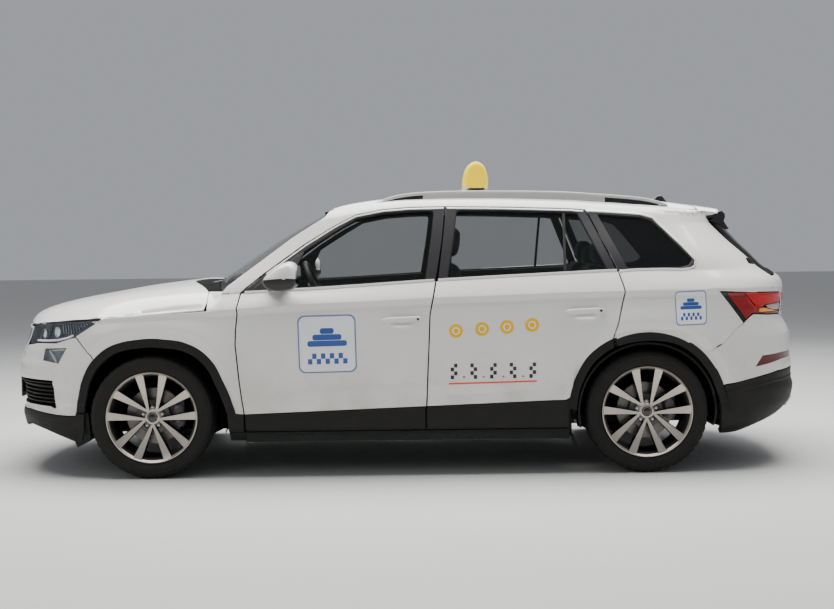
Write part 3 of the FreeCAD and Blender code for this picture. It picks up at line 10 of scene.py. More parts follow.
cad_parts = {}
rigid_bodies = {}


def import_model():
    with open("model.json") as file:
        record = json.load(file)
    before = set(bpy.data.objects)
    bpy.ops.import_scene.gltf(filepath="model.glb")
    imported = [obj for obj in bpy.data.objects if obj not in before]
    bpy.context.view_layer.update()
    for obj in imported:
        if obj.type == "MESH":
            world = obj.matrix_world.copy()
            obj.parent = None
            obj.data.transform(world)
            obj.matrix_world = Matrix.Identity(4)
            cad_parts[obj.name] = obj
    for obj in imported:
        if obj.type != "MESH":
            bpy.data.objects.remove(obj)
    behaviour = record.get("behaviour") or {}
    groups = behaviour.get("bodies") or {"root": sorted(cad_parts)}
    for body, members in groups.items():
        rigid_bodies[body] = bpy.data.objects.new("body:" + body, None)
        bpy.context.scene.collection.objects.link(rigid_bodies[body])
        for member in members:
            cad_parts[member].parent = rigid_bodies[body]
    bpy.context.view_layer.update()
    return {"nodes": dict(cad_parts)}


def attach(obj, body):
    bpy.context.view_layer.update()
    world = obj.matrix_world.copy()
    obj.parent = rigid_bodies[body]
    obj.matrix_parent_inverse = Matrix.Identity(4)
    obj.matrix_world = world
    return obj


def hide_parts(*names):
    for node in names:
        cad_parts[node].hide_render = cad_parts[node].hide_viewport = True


for o in list(bpy.data.objects):
    bpy.data.objects.remove(o)
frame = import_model()
SC = bpy.context.scene
rng = np.random.default_rng(7)


# ---------------------------------------------------------------- shape of the body (millimetres, front at -X, left at -Y)
class Curve:
    def __init__(self, pts, flat=True):
        pts = sorted(pts)
        self.x = np.array([p[0] for p in pts], float)
        self.y = np.array([p[1] for p in pts], float)
        x, y = self.x, self.y
        h = np.diff(x)
        d = np.diff(y) / h
        m = np.zeros(len(x))
        m[0], m[-1] = d[0], d[-1]
        for i in range(1, len(x) - 1):
            if d[i - 1] * d[i] > 0:
                w1, w2 = 2 * h[i] + h[i - 1], h[i] + 2 * h[i - 1]
                m[i] = (w1 + w2) / (w1 / d[i - 1] + w2 / d[i])
        self.m, self.flat = m, flat

    def __call__(self, v):
        v = np.asarray(v, float)
        x, y, m = self.x, self.y, self.m
        c = np.clip(v, x[0], x[-1])
        i = np.clip(np.searchsorted(x, c, side="right") - 1, 0, len(x) - 2)
        h = x[i + 1] - x[i]
        t = (c - x[i]) / h
        r = ((2 * t ** 3 - 3 * t ** 2 + 1) * y[i] + (t ** 3 - 2 * t ** 2 + t) * h * m[i]
             + (-2 * t ** 3 + 3 * t ** 2) * y[i + 1] + (t ** 3 - t ** 2) * h * m[i + 1])
        if not self.flat:
            r = r + np.where(v < x[0], m[0] * (v - x[0]), 0) + np.where(v > x[-1], m[-1] * (v - x[-1]), 0)
        return r


def herm(z, z0, w0, s0, z1, w1, s1):
    h = np.maximum(z1 - z0, 1e-6)
    t = np.clip((z - z0) / h, -1.0, 2.0)
    return ((2 * t ** 3 - 3 * t ** 2 + 1) * w0 + (t ** 3 - 2 * t ** 2 + t) * h * s0
            + (-2 * t ** 3 + 3 * t ** 2) * w1 + (t ** 3 - t ** 2) * h * s1)


Z_CLAD = Curve([(-945, 358), (62, 392), (904, 422)])
Z_CREASE = Curve([(-904, 410), (-677, 420), (94, 449), (849, 485)])
Z_FACET = Curve([(-880, 425), (-677, 482), (-385, 514), (95, 536), (500, 538), (732, 531), (870, 500)])
A_FACET = Curve([(-900, 0), (-640, 1), (620, 1), (880, 0)])
Z_SHOULDER = Curve([(-2250, 862), (-2100, 872), (-1702, 911), (-1226, 939), (-958, 952), (-488, 978),
                    (-190, 989), (133, 1003), (423, 1010), (906, 1024), (1215, 1029), (1706, 1035)])
Z_BELT = Curve([(-1050, 1034), (-934, 1040), (-491, 1060), (155, 1098), (914, 1132), (1168, 1142), (1577, 1146)])
Z_DLO = Curve([(-1000, 1300), (-497, 1440), (-394, 1455), (-291, 1472), (-137, 1491), (15, 1501),
               (220, 1503), (938, 1485), (1036, 1477), (1350, 1453), (1468, 1434), (1900, 1365)])
D_SHOULDER = Curve([(-1600, -24), (-1300, -13), (-950, -2), (0, 0), (900, 0), (1300, -4), (1600, -12)])
D_BELT = Curve([(-950, -3), (0, 0), (900, -4), (1300, -14), (1650, -30)])
D_DLO = Curve([(-500, 0), (0, 2), (900, -2), (1450, -20), (1700, -34)])
X_NOSE = Curve([(120, -2060), (160, -2090), (200, -2180), (242, -2270), (274, -2336), (330, -2336),
                (396, -2312), (445, -2316), (512, -2325), (531, -2340), (592, -2345), (629, -2342),
                (684, -2320), (714, -2314), (781, -2286), (856, -2262), (940, -2240)])
X_TAIL = Curve([(180, 1990), (233, 2130), (295, 2254), (378, 2332), (448, 2345), (501, 2330), (574, 2334),
                (624, 2328), (749, 2324), (800, 2304), (862, 2272), (942, 2284), (1002, 2280),
                (1063, 2276), (1086, 2264), (1130, 2206), (1160, 2166), (1213, 2115), (1286, 2040),
                (1375, 1960), (1418, 1928), (1465, 1926), (1500, 1900)])
X_CORNER_F = -1560.0
XB = Curve([(1000, 1500.0), (1500, 1310.0)])
P_F, Q_F = 2.4, 3.0
P_R, Q_R = 3.0, 2.5
L_F, L_R = 1420.0, 1500.0
H_ROOF = Curve([(-470, 1513), (-366, 1545), (-228, 1568), (0, 1590), (300, 1606), (600, 1610), (900, 1604),
                (1200, 1587), (1450, 1563), (1709, 1528), (1836, 1509), (1910, 1494)])
H_BONNET = Curve([(-2292, 840), (-2276, 868), (-2254, 898), (-2228, 920), (-2164, 949), (-2068, 976),
                  (-1940, 1003), (-1794, 1028), (-1584, 1063), (-1374, 1089), (-1257, 1100), (-1139, 1103),
                  (-1080, 1102)])
FLARE_F = [(-1906, 373), (-1895, 499), (-1869, 593), (-1812, 702), (-1724, 788), (-1614, 830),
           (-1458, 847), (-1302, 844), (-1185, 809), (-1109, 742), (-1048, 646), (-995, 528), (-960, 400)]
CLAD_F = [(-1876, 370), (-1862, 460), (-1828, 578), (-1771, 671), (-1692, 737), (-1613, 768),
          (-1496, 786), (-1379, 785), (-1262, 768), (-1162, 719), (-1093, 648), (-1041, 545),
          (-995, 434), (-973, 363)]
FLARE_R = [(890, 400), (914, 456), (945, 643), (1040, 767), (1180, 835), (1350, 856), (1506, 842),
           (1630, 783), (1739, 680), (1817, 539), (1840, 400)]
CLAD_R = [(904, 419), (943, 551), (1022, 675), (1146, 759), (1285, 793), (1441, 791), (1577, 765),
          (1641, 723), (1706, 632), (1770, 509), (1805, 400)]
CLAD_WIDTH = 48.0
GAP, HALF = 7.0, 3.5


class Ring:
    def __init__(self, pts, cx, cz=346.0):
        self.cx, self.cz = cx, cz
        self.c = Curve([(math.atan2(z - cz, x - cx), math.hypot(x - cx, z - cz)) for x, z in pts])

    def at(self, ang, off=0.0):
        r = float(self.c(ang)) + off
        return (self.cx + r * math.cos(ang), self.cz + r * math.sin(ang))

    def arc(self, a0, a1, n, off=0.0):
        return [self.at(math.radians(a0 + (a1 - a0) * i / (n - 1.0)), off) for i in range(n)]


RF, RCF = Ring(FLARE_F, -1444.5), Ring(CLAD_F, -1444.5)
RR, RCR = Ring(FLARE_R, 1346.5), Ring(CLAD_R, 1346.5)


def side_base(x, z):
    x, z = np.broadcast_arrays(np.asarray(x, float), np.asarray(z, float))
    d = D_SHOULDER(x)
    zc, zk, zf, zs, zb, zd = Z_CLAD(x), Z_CREASE(x), Z_FACET(x), Z_SHOULDER(x), Z_BELT(x), Z_DLO(x)
    a = A_FACET(x)
    zd = np.maximum(zd, zb + 120)
    zm = 800.0
    lo = 914 - 17 * a + d
    db, dd = D_BELT(x), D_DLO(x)
    z2 = np.minimum(z, zd + 48)
    return np.select(
        [z < 290, z < zc, z < zk, z < zf, z < zm, z < zs - 38, z < zs, z < zb, z < zd],
        [herm(np.maximum(z, 200), 200, 838 + d, 1.1, 290, 906 + d, 0.25),
         herm(z, 290, 906 + d, 0.25, zc, 909 + d, 0.06),
         herm(z, zc, 909 + d, 0.06, zk, 910 + 5 * a + d, 0.05 + 0.06 * a),
         herm(z, zk, 910 + 5 * a + d, 0.05 - 0.28 * a, zf, lo, 0.02),
         herm(z, zf, lo, 0.02, zm, 921 + d, 0.03),
         herm(z, zm, 921 + d, 0.03, zs - 38, 918 + d, -0.06),
         herm(z, zs - 38, 918 + d, 0.12, zs, 928 + d, 0.36),
         herm(z, zs, 928 + d, -0.45, zb, 868 + db, -0.72),
         herm(z, zb, 868 + db, -0.35, zd, 690 + dd, -0.52)],
        herm(z2, zd, 690 + dd, -0.62, zd + 48, 645 + dd, -1.3))


def flare(x, z):
    x, z = np.broadcast_arrays(np.asarray(x, float), np.asarray(z, float))
    out = np.zeros(x.shape)
    for fl, cl in ((RF, RCF), (RR, RCR)):
        ang = np.arctan2(z - fl.cz, x - fl.cx)
        r = np.hypot(x - fl.cx, z - fl.cz)
        rf, rc = fl.c(ang), cl.c(ang)
        v = np.where(r > rf, 13 * np.exp(-((r - rf) / 95.0) ** 2),
                     np.where(r > rc, 13 - 20 * (rf - r) / np.maximum(rf - rc, 1), -7.0))
        v = v * np.clip((z - 330) / 120.0, 0, 1)
        ok = (np.abs(x - fl.cx) <= 800) & (z <= 1010) & ~((ang < -0.3) & (ang > -2.8))
        out = out + np.where(ok, v, 0)
    return out


def corner(x, z):
    tf = np.clip((X_CORNER_F - x) / (X_CORNER_F - X_NOSE(z)), 0, 1)
    xb = XB(z)
    tr = np.clip((x - xb) / (X_TAIL(z) - xb), 0, 1)
    return (1 - tf ** P_F) ** (1 / Q_F) * (1 - tr ** P_R) ** (1 / Q_R)


def side(x, z):
    x = np.asarray(x, float)
    return side_base(np.clip(x, X_CORNER_F, XB(z)), z) * corner(x, z) + flare(x, z)


def nose_x(y, z):
    b = side_base(X_CORNER_F, z)
    t = np.minimum(np.abs(y) / b, 1.0)
    return X_CORNER_F - (X_CORNER_F - X_NOSE(z)) * (1 - t ** Q_F) ** (1 / P_F)


def tail_x(y, z):
    xb = XB(z)
    b = side_base(xb, z)
    t = np.minimum(np.abs(y) / b, 1.0)
    return xb + (X_TAIL(z) - xb) * (1 - t ** Q_R) ** (1 / P_R)


def roof_z(x, y):
    zd = Z_DLO(x) + 48
    e = side_base(np.clip(x, X_CORNER_F, XB(zd)), zd)
    t = np.minimum(np.abs(y) / e, 1.0)
    return H_ROOF(x) - (H_ROOF(x) - zd) * (0.5 * t ** 2 + 0.5 * t ** 7)


def bonnet_z(x, y):
    ze = Z_SHOULDER(x)
    n0 = nose_x(0.0, 860.0)
    dx = nose_x(y, 860.0) - n0
    u = x - nose_x(y, 860.0)
    k = 1.0 - np.clip(u / 650.0, 0.0, 1.0)
    xe = x - dx * k * k * (3 - 2 * k)
    e = np.maximum(side(x, ze), 200.0)
    t = np.minimum(np.abs(y) / e, 1.0)
    zc = H_BONNET(xe)
    return zc - np.maximum(zc - ze, 0.0) * (0.22 * t ** 2 + 0.78 * t ** 9)


def roof_front(y):
    return -458 + 34 * (np.asarray(y, float) / 650.0) ** 2


def screen(u, v, off=0.0):
    bx, by, bz = -1132 + 92 * u * u, 832 * u, 1098 - 48 * u * u
    tx, ty, tz = -464 + 34 * u * u, 668 * u, 1511 - 50 * u * u
    b = 16 * 4 * v * (1 - v)
    return np.stack([bx + (tx - bx) * v - 0.52 * (b - off), by + (ty - by) * v,
                     bz + (tz - bz) * v + 0.85 * (b - off)], -1)


# a wrapped coordinate: u is x along the side, and goes on round the nose (below -1560) and round the tail
def _super(al, p, q):
    """Point on t^p + s^q = 1 at angle al from the s axis; the far half is the mirrored one."""
    s, c = np.abs(np.sin(al)), np.abs(np.cos(al))
    rho = np.ones_like(al)
    for _ in range(30):
        f = (rho * s) ** p + (rho * c) ** q - 1
        g = p * (rho * s) ** (p - 1) * s + q * (rho * c) ** (q - 1) * c
        rho = rho - f / np.maximum(g, 1e-9)
    return rho * s, rho * np.cos(al)


def P_left(u, z, extra=None):
    """Body surface of the left side and both ends, y negative on the left."""
    u, z = np.broadcast_arrays(np.asarray(u, float), np.asarray(z, float))
    xb = XB(z)
    af = np.clip((X_CORNER_F - u) / L_F, 0, 2) * math.pi / 2
    ar = np.clip((u - xb) / L_R, 0, 2) * math.pi / 2
    tf, sf = _super(af, P_F, Q_F)
    tr, sr = _super(ar, P_R, Q_R)
    xf = X_CORNER_F + (X_NOSE(z) - X_CORNER_F) * tf
    xr = xb + (X_TAIL(z) - xb) * tr
    x = np.where(u < X_CORNER_F, xf, np.where(u > xb, xr, u))
    w = side_base(np.clip(x, X_CORNER_F, xb), z)
    s = np.where(u < X_CORNER_F, sf, np.where(u > xb, sr, 1.0))
    y = w * s + flare(x, z) * np.clip(s * 1.6, 0, 1)
    if extra is not None:
        y = y + extra(x, z) * np.clip(s * 1.6, 0, 1)
    return np.stack([x, -y, z], -1)


def u_nose_x(x, z):
    t = (X_CORNER_F - x) / (X_CORNER_F - float(X_NOSE(z)))
    if t <= 0:
        return x
    t = min(t, 1.0)
    s = max(1 - t ** P_F, 0) ** (1 / Q_F)
    return X_CORNER_F - L_F * math.atan2(t, s) / (math.pi / 2)


def u_nose_y(y, z):
    """y is negative on the left."""
    s = -y / float(side_base(X_CORNER_F, z))
    t = max(1 - abs(s) ** Q_F, 0) ** (1 / P_F)
    return X_CORNER_F - L_F * math.atan2(t, s) / (math.pi / 2)


def u_tail_x(x, z):
    xb = float(XB(z))
    t = (x - xb) / (float(X_TAIL(z)) - xb)
    if t <= 0:
        return x
    t = min(t, 1.0)
    s = max(1 - t ** P_R, 0) ** (1 / Q_R)
    return xb + L_R * math.atan2(t, s) / (math.pi / 2)


def u_tail_y(y, z):
    xb = float(XB(z))
    s = -y / float(side_base(xb, z))
    t = max(1 - abs(s) ** Q_R, 0) ** (1 / P_R)
    return xb + L_R * math.atan2(t, s) / (math.pi / 2)


def dense(pts, step=32.0):
    out = []
    for i in range(len(pts) - 1):
        (x0, z0), (x1, z1) = pts[i], pts[i + 1]
        k = max(1, int(math.ceil(math.hypot(x1 - x0, z1 - z0) / step)))
        out += [(x0 + (x1 - x0) * j / k, z0 + (z1 - z0) * j / k) for j in range(k)]
    return out + [pts[-1]]


def fx(pts):
    return [(u_nose_x(x, z), z) for x, z in dense(pts)]


def fy(pts):
    return [(u_nose_y(y, z), z) for y, z in dense(pts)]


def tx(pts):
    return [(u_tail_x(x, z), z) for x, z in dense(pts)]


def ty(pts):
    return [(u_tail_y(y, z), z) for y, z in dense(pts)]


def mirror_nose(pts):
    """Mirrored points of the other half across the middle, in reverse order."""
    c = X_CORNER_F - L_F
    return [(2 * c - u, z) for u, z in pts[::-1]]


def mirror_tail(pts):
    out = []
    for u, z in pts[::-1]:
        c = float(XB(z)) + L_R
        out.append((2 * c - u, z))
    return out


# side surface that turns over onto the roof above the gutter line
def P_over(u, v):
    u, v = np.broadcast_arrays(np.asarray(u, float), np.asarray(v, float))
    p = P_left(u, np.minimum(v, 1500))
    x = p[..., 0]
    zt = Z_DLO(x) + 48
    low = P_left(u, np.minimum(v, zt))
    e = -P_left(u, zt)[..., 1]
    d = np.maximum(v - zt, 0)
    y = e - d * 0.82
    zz = roof_z(low[..., 0], y)
    top = np.stack([low[..., 0], -y, zz], -1)
    return np.where((v > zt)[..., None], top, low)


# ---------------------------------------------------------------- mesh builder
class MB:
    def __init__(self):
        self.v, self.f, self.n, self.m, self.count = [], [], [], [], 0

    def add(self, pts):
        pts = np.asarray(pts, float).reshape(-1, 3)
        self.v.append(pts)
        i = self.count
        self.count += len(pts)
        return np.arange(i, i + len(pts))

    def face(self, idx, nor=None, m=0):
        self.f.append(tuple(int(i) for i in idx))
        self.n.append(nor)
        self.m.append(m)

    def rings(self, rings, closed=True, m=0, nors=None, flip=False):
        """Quads between successive index rings of the same length."""
        for k in range(len(rings) - 1):
            a, b = rings[k], rings[k + 1]
            n = len(a)
            for i in range(n if closed else n - 1):
                j = (i + 1) % n
                q = (a[i], a[j], b[j], b[i])
                nn = None
                if nors is not None:
                    nn = (nors[k][i], nors[k][j], nors[k + 1][j], nors[k + 1][i])
                if flip:
                    q = q[::-1]
                    nn = nn[::-1] if nn is not None else None
                self.face(q, nn, m)

    def cap(self, ring, m=0, flip=False):
        r = list(ring)
        self.face(r[::-1] if flip else r, None, m)

    def grid(self, pts, m=0, flip=False, close_u=False, close_v=False, caps=False):
        """pts (nu, nv, 3)"""
        nu, nv = pts.shape[:2]
        idx = self.add(pts.reshape(-1, 3)).reshape(nu, nv)
        for i in range(nu if close_u else nu - 1):
            for j in range(nv if close_v else nv - 1):
                a, b, c, d = idx[i, j], idx[(i + 1) % nu, j], idx[(i + 1) % nu, (j + 1) % nv], idx[i, (j + 1) % nv]
                self.face((a, b, c, d) if not flip else (d, c, b, a), None, m)
        if caps:
            self.cap(idx[0], m, flip=flip)
            self.cap(idx[-1], m, flip=not flip)
        return idx

    def both(self):
        """This mesh and its mirror image in one."""
        o = MB()
        V = np.concatenate(self.v)
        o.v = [V, V * np.array([1, -1, 1])]
        o.count = 2 * len(V)
        o.f = self.f + [tuple(i + len(V) for i in q[::-1]) for q in self.f]
        o.n = self.n + [None if n is None else [np.asarray(k) * np.array([1, -1, 1]) for k in list(n)[::-1]] for n in self.n]
        o.m = self.m + self.m
        return o

    def mirrored(self):
        o = MB()
        V = np.concatenate(self.v)
        o.v = [V * np.array([1, -1, 1])]
        o.count = len(V)
        o.f = [q[::-1] for q in self.f]
        o.n = [None if n is None else [np.asarray(k) * np.array([1, -1, 1]) for k in list(n)[::-1]] for n in self.n]
        o.m = list(self.m)
        return o

    def obj(self, name, mats, body, replaces=(), angle=32.0, smooth=True, slot=None):
        me = bpy.data.meshes.new(name)
        V = np.concatenate(self.v) * 0.001
        me.from_pydata(V.tolist(), [], self.f)
        if not isinstance(mats, (list, tuple)):
            mats = [mats]
        for mt in mats:
            me.materials.append(mt)
        me.polygons.foreach_set("material_index", np.array(self.m, np.int32))
        if smooth:
            me.shade_smooth()
            me.set_sharp_from_angle(angle=math.radians(angle))
        if any(n is not None for n in self.n):
            ln = np.zeros((len(me.loops), 3))
            i = 0
            for q, n in zip(self.f, self.n):
                if n is not None:
                    ln[i:i + len(q)] = n
                i += len(q)
            me.normals_split_custom_set([tuple(k) for k in ln])
        me.validate(clean_customdata=False)
        o = bpy.data.objects.new(name, me)
        SC.collection.objects.link(o)
        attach(o, body)
        if replaces:
            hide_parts(*replaces)
        return o


def inside(poly, pts):
    x, y = pts[:, 0], pts[:, 1]
    px, py = poly[:, 0], poly[:, 1]
    qx, qy = np.roll(px, -1), np.roll(py, -1)
    c = np.zeros(len(pts), bool)
    for i in range(len(poly)):
        if py[i] == qy[i]:
            continue
        s = (py[i] > y) != (qy[i] > y)
        c ^= s & (x < (qx[i] - px[i]) * (y - py[i]) / (qy[i] - py[i]) + px[i])
    return c


def dist_to(poly, pts, closed=True):
    a = poly
    b = np.roll(poly, -1, 0)
    if not closed:
        a, b = poly[:-1], poly[1:]
    best = np.full(len(pts), 1e9)
    for i in range(len(a)):
        d = b[i] - a[i]
        L = d @ d
        if L < 1e-12:
            continue
        t = np.clip(((pts - a[i]) @ d) / L, 0, 1)
        best = np.minimum(best, np.hypot(*(pts - a[i] - t[:, None] * d).T))
    return best


def area(p):
    x, y = p[:, 0], p[:, 1]
    return 0.5 * np.sum(x * np.roll(y, -1) - np.roll(x, -1) * y)


def fillet(pts, r, n=5, min_turn=14.0, sharp=()):
    """Rounds the corners of a closed outline."""
    pts = [np.array(p[:2], float) for p in pts]
    out = []
    N = len(pts)
    for i in range(N):
        a, b, c = pts[i - 1], pts[i], pts[(i + 1) % N]
        u, v = a - b, c - b
        lu, lv = np.linalg.norm(u), np.linalg.norm(v)
        if lu < 1e-6 or lv < 1e-6:
            continue
        u, v = u / lu, v / lv
        turn = 180 - math.degrees(math.acos(np.clip(u @ v, -1, 1)))
        rr = r[i] if isinstance(r, dict) and i in r else (r if not isinstance(r, dict) else r.get("all", 4))
        if turn < min_turn or rr <= 0 or i in sharp:
            out.append(b)
            continue
        half = math.radians(180 - turn) / 2
        d = min(rr / math.tan(half), 0.45 * lu, 0.45 * lv)
        p, q = b + u * d, b + v * d
        for k in range(n + 1):
            t = k / float(n)
            out.append((1 - t) ** 2 * p + 2 * t * (1 - t) * b + t * t * q)
    return np.array(out)


def resample(loop, step, closed=True):
    loop = np.asarray(loop, float)
    out = []
    N = len(loop)
    for i in range(N if closed else N - 1):
        a, b = loop[i], loop[(i + 1) % N]
        L = np.linalg.norm(b - a)
        if L < 0.3:
            continue
        k = max(1, int(math.ceil(L / step)))
        for j in range(k):
            out.append(a + (b - a) * j / k)
    if not closed:
        out.append(loop[-1])
    return np.array(out)


def loop_normals(p):
    """Outward unit normals of a loop whose material is on its left, with a mitre limit."""
    d = np.roll(p, -1, 0) - p
    d = d / np.maximum(np.linalg.norm(d, axis=1), 1e-9)[:, None]
    e = np.stack([d[:, 1], -d[:, 0]], 1)
    s = e + np.roll(e, 1, 0)
    l = np.linalg.norm(s, axis=1)
    s = s / np.maximum(l, 1e-9)[:, None]
    c = np.clip((s * e).sum(1), 0.55, 1)
    return s / c[:, None], s


def normals_of(P, uv, h=2.0):
    a = P(uv[:, 0] + h, uv[:, 1]) - P(uv[:, 0] - h, uv[:, 1])
    b = P(uv[:, 0], uv[:, 1] + h) - P(uv[:, 0], uv[:, 1] - h)
    n = np.cross(a, b)
    return n / np.maximum(np.linalg.norm(n, axis=1), 1e-9)[:, None]


def unit(a):
    return a / np.maximum(np.linalg.norm(a, axis=-1), 1e-9)[..., None]


def triangulate(loops, step, lines=(), line_step=None):
    """2D points and triangles inside loops[0] and outside the others. Returns pts, tris, index lists of each loop."""
    pts, edges, idx = [], [], []
    for lp in loops:
        k = len(pts)
        pts += [tuple(p) for p in lp]
        ids = list(range(k, k + len(lp)))
        idx.append(ids)
        edges += [(ids[i], ids[(i + 1) % len(ids)]) for i in range(len(ids))]
    outer = np.asarray(loops[0])
    lo, hi = outer.min(0), outer.max(0)
    extra = []
    for ln in lines:
        q = resample(ln, (line_step or step) * 0.6, closed=False)
        extra.append(q)
    if extra:
        extra = np.concatenate(extra)
        keep = inside(outer, extra)
        for h in loops[1:]:
            keep &= ~inside(np.asarray(h), extra)
        extra = extra[keep]
        dmin = np.full(len(extra), 1e9)
        for lp in loops:
            dmin = np.minimum(dmin, dist_to(np.asarray(lp), extra))
        extra = extra[dmin > step * 0.22]
    else:
        extra = np.zeros((0, 2))
    nx = int((hi[0] - lo[0]) / step) + 2
    nz = int((hi[1] - lo[1]) / (step * 0.87)) + 2
    gx, gz = np.meshgrid(np.arange(nx), np.arange(nz))
    g = np.stack([lo[0] + (gx + 0.5 * (gz % 2)) * step, lo[1] + gz * step * 0.87], -1).reshape(-1, 2)
    keep = inside(outer, g)
    for h in loops[1:]:
        keep &= ~inside(np.asarray(h), g)
    g = g[keep]
    for lp in loops:
        g = g[dist_to(np.asarray(lp), g) > step * 0.5]
    for ln in lines:
        if len(g):
            g = g[dist_to(np.asarray(ln, float), g, closed=False) > step * 0.4]
    allp = pts + [tuple(p) for p in extra] + [tuple(p) for p in g]
    cen = np.mean(np.array(allp), 0)
    r = delaunay_2d_cdt([Vector((p[0] - cen[0], p[1] - cen[1])) for p in allp], edges, [], 0, 1e-4)
    V = np.array([(v[0], v[1]) for v in r[0]]) + cen
    F = np.array([f for f in r[2] if len(f) == 3], int)
    c = V[F].mean(1)
    keep = inside(outer, c)
    for h in loops[1:]:
        keep &= ~inside(np.asarray(h), c)
    F = F[keep]
    a = V[F]
    ar = 0.5 * ((a[:, 1, 0] - a[:, 0, 0]) * (a[:, 2, 1] - a[:, 0, 1]) - (a[:, 1, 1] - a[:, 0, 1]) * (a[:, 2, 0] - a[:, 0, 0]))
    F = np.where((ar < 0)[:, None], F[:, ::-1], F)
    F = F[np.abs(ar) > 1e-3]
    back = {}
    for new, olds in enumerate(r[3]):
        for o_ in olds:
            back[o_] = new
    loops_idx = [[back[i] for i in ids] for ids in idx]
    return V, F, loops_idx


def panel(mb, loops, P, step=14.0, hem=2.6, wall=18.0, lines=(), closed_in=True, white=0, dark=1, K=3, hsm=2.0, lift=0.0, white_wall=6.0):
    """A sheet panel: outer skin, rolled edge, wall going in, inner skin."""
    full, inner, nor2, nrm2 = [], [], [], []
    for i, lp in enumerate(loops):
        lp = np.asarray(lp, float)
        if (area(lp) > 0) != (i == 0):
            lp = lp[::-1]
        lp = resample(lp, step * 0.75)
        nn, n1 = loop_normals(lp)
        full.append(lp)
        nor2.append(nn)
        nrm2.append(n1)
        inner.append(lp - nn * hem)
    V, F, li = triangulate(inner, step, lines)

    def D(uv):
        return normals_of(P, uv, 12.0)
    N0 = normals_of(P, V, hsm)
    pos = P(V[:, 0], V[:, 1]) + N0 * lift
    a = mb.add(pos)
    for f in F:
        mb.face(a[f], N0[f], white)
    Dv = D(V)
    # the inner skin takes the dark slot: painted shade seen through the gaps
    if closed_in:
        b = mb.add(pos - Dv * wall)
        for f in F:
            mb.face(b[f[::-1]], None, dark)
    for lp, ring0, nn, n1, ids in zip(full, inner, nor2, nrm2, li):
        E = unit(P(*(ring0 + n1 * 1.0).T) - P(*ring0.T))
        Nr = normals_of(P, ring0, hsm)
        Dr = D(ring0)
        rings = [a[np.array(ids)]]
        nors = [Nr]
        for k in range(1, K + 1):
            ph = math.pi / 2 * k / K
            uv = ring0 + nn * hem * math.sin(ph)
            pp = P(*uv.T) + Nr * lift - Dr * hem * (1 - math.cos(ph))
            rings.append(mb.add(pp))
            nors.append(unit(Nr * math.cos(ph) + E * math.sin(ph)))
        mb.rings(rings, True, white, nors, flip=True)
        if wall > hem:
            pp = P(*lp.T) + Nr * lift
            w0 = min(max(white_wall, hem + 0.5), wall)
            r1 = mb.add(pp - Dr * w0)
            mb.rings([rings[-1], r1], True, white, [E, E], flip=True)
            r2 = r1
            # from white_wall deep down to the inner skin the edge wall takes the dark slot: painted shade in the shut
            # gap
            if wall > w0 + 0.1:
                r2 = mb.add(pp - Dr * wall)
                mb.rings([r1, r2], True, dark, [E, E], flip=True)
            if closed_in:
                mb.rings([r2, b[np.array(ids)]], True, dark, None, flip=True)
    return mb


def strip(mb, path, P, w=10.0, h=2.0, m=0, closed=False, step=8.0, sec=None, base=-3.0, lift=0.0):
    """Moulding along a line on a surface: path in (u, v), rounded section w wide and h high."""
    p = resample(path, step, closed)
    d = np.gradient(p, axis=0) if not closed else (np.roll(p, -1, 0) - np.roll(p, 1, 0))
    d = d / np.maximum(np.linalg.norm(d, axis=1), 1e-9)[:, None]
    n = np.stack([d[:, 1], -d[:, 0]], 1)
    if sec is None:
        sec = [(-0.5, base), (-0.5, h * 0.3), (-0.42, h * 0.8), (-0.2, h), (0.2, h), (0.42, h * 0.8), (0.5, h * 0.3), (0.5, base)]
    N = normals_of(P, p, 6.0)
    rows = []
    for a_, b_ in sec:
        uv = p + n * a_ * w
        rows.append(P(*uv.T) + N * (b_ + lift))
    g = np.stack(rows, 1)
    mb.grid(g, m, flip=False, close_u=closed, close_v=True, caps=not closed)
    return mb


def grid_mesh(name, pts, mats, body, **kw):
    mb = MB()
    mb.grid(pts, **{k: kw.pop(k) for k in list(kw) if k in ("close_u", "close_v", "caps", "flip")})
    return mb.obj(name, mats, body, **kw)


def lathe(mb, prof, centre, axis="y", n=96, m=0, closed=True, sgn=1):
    """Profile of (along, radius) turned about an axis through centre."""
    ang = np.arange(n) / n * 2 * math.pi
    prof = np.asarray(prof, float)
    g = np.zeros((n, len(prof), 3))
    for k, (a_, r_) in enumerate(prof):
        g[:, k, 0] = centre[0] + r_ * np.cos(ang)
        g[:, k, 1] = centre[1] + sgn * a_
        g[:, k, 2] = centre[2] + r_ * np.sin(ang)
    return mb.grid(g, m, flip=sgn < 0, close_u=True, close_v=closed)


def tube(mb, path, r, n=10, m=0, caps=True, flat=None):
    path = np.asarray(path, float)
    r = np.full(len(path), float(r)) if np.isscalar(r) else np.asarray(r, float)
    t = unit(np.gradient(path, axis=0))
    up = np.array([0, 0, 1.0])
    if abs(t[0] @ up) > 0.9:
        up = np.array([0, 1.0, 0])
    a_ = unit(np.cross(t, up))
    b_ = np.cross(a_, t)
    ang = np.arange(n) / n * 2 * math.pi
    g = path[:, None, :] + r[:, None, None] * (np.cos(ang)[None, :, None] * a_[:, None, :] + np.sin(ang)[None, :, None] * b_[:, None, :] * (flat or 1.0))
    mb.grid(g, m, close_v=True, caps=caps, flip=True)
    return mb


def rbox(mb, c, s, r=6.0, m=0, seg=3, rot=None):
    """Box with rounded edges, centre c and full size s."""
    bm = bmesh.new()
    bmesh.ops.create_cube(bm, size=1.0)
    for v in bm.verts:
        v.co = Vector((v.co.x * s[0], v.co.y * s[1], v.co.z * s[2]))
    r = min(r, 0.45 * min(s))
    bmesh.ops.bevel(bm, geom=list(bm.edges) + list(bm.verts), offset=r, segments=seg, profile=0.5, affect="EDGES")
    V = np.array([v.co[:] for v in bm.verts])
    if rot is not None:
        V = V @ np.array(rot).T
    idx = mb.add(V + np.array(c, float))
    bm.verts.index_update()
    for f in bm.faces:
        mb.face([idx[v.index] for v in f.verts], None, m)
    bm.free()
    return mb


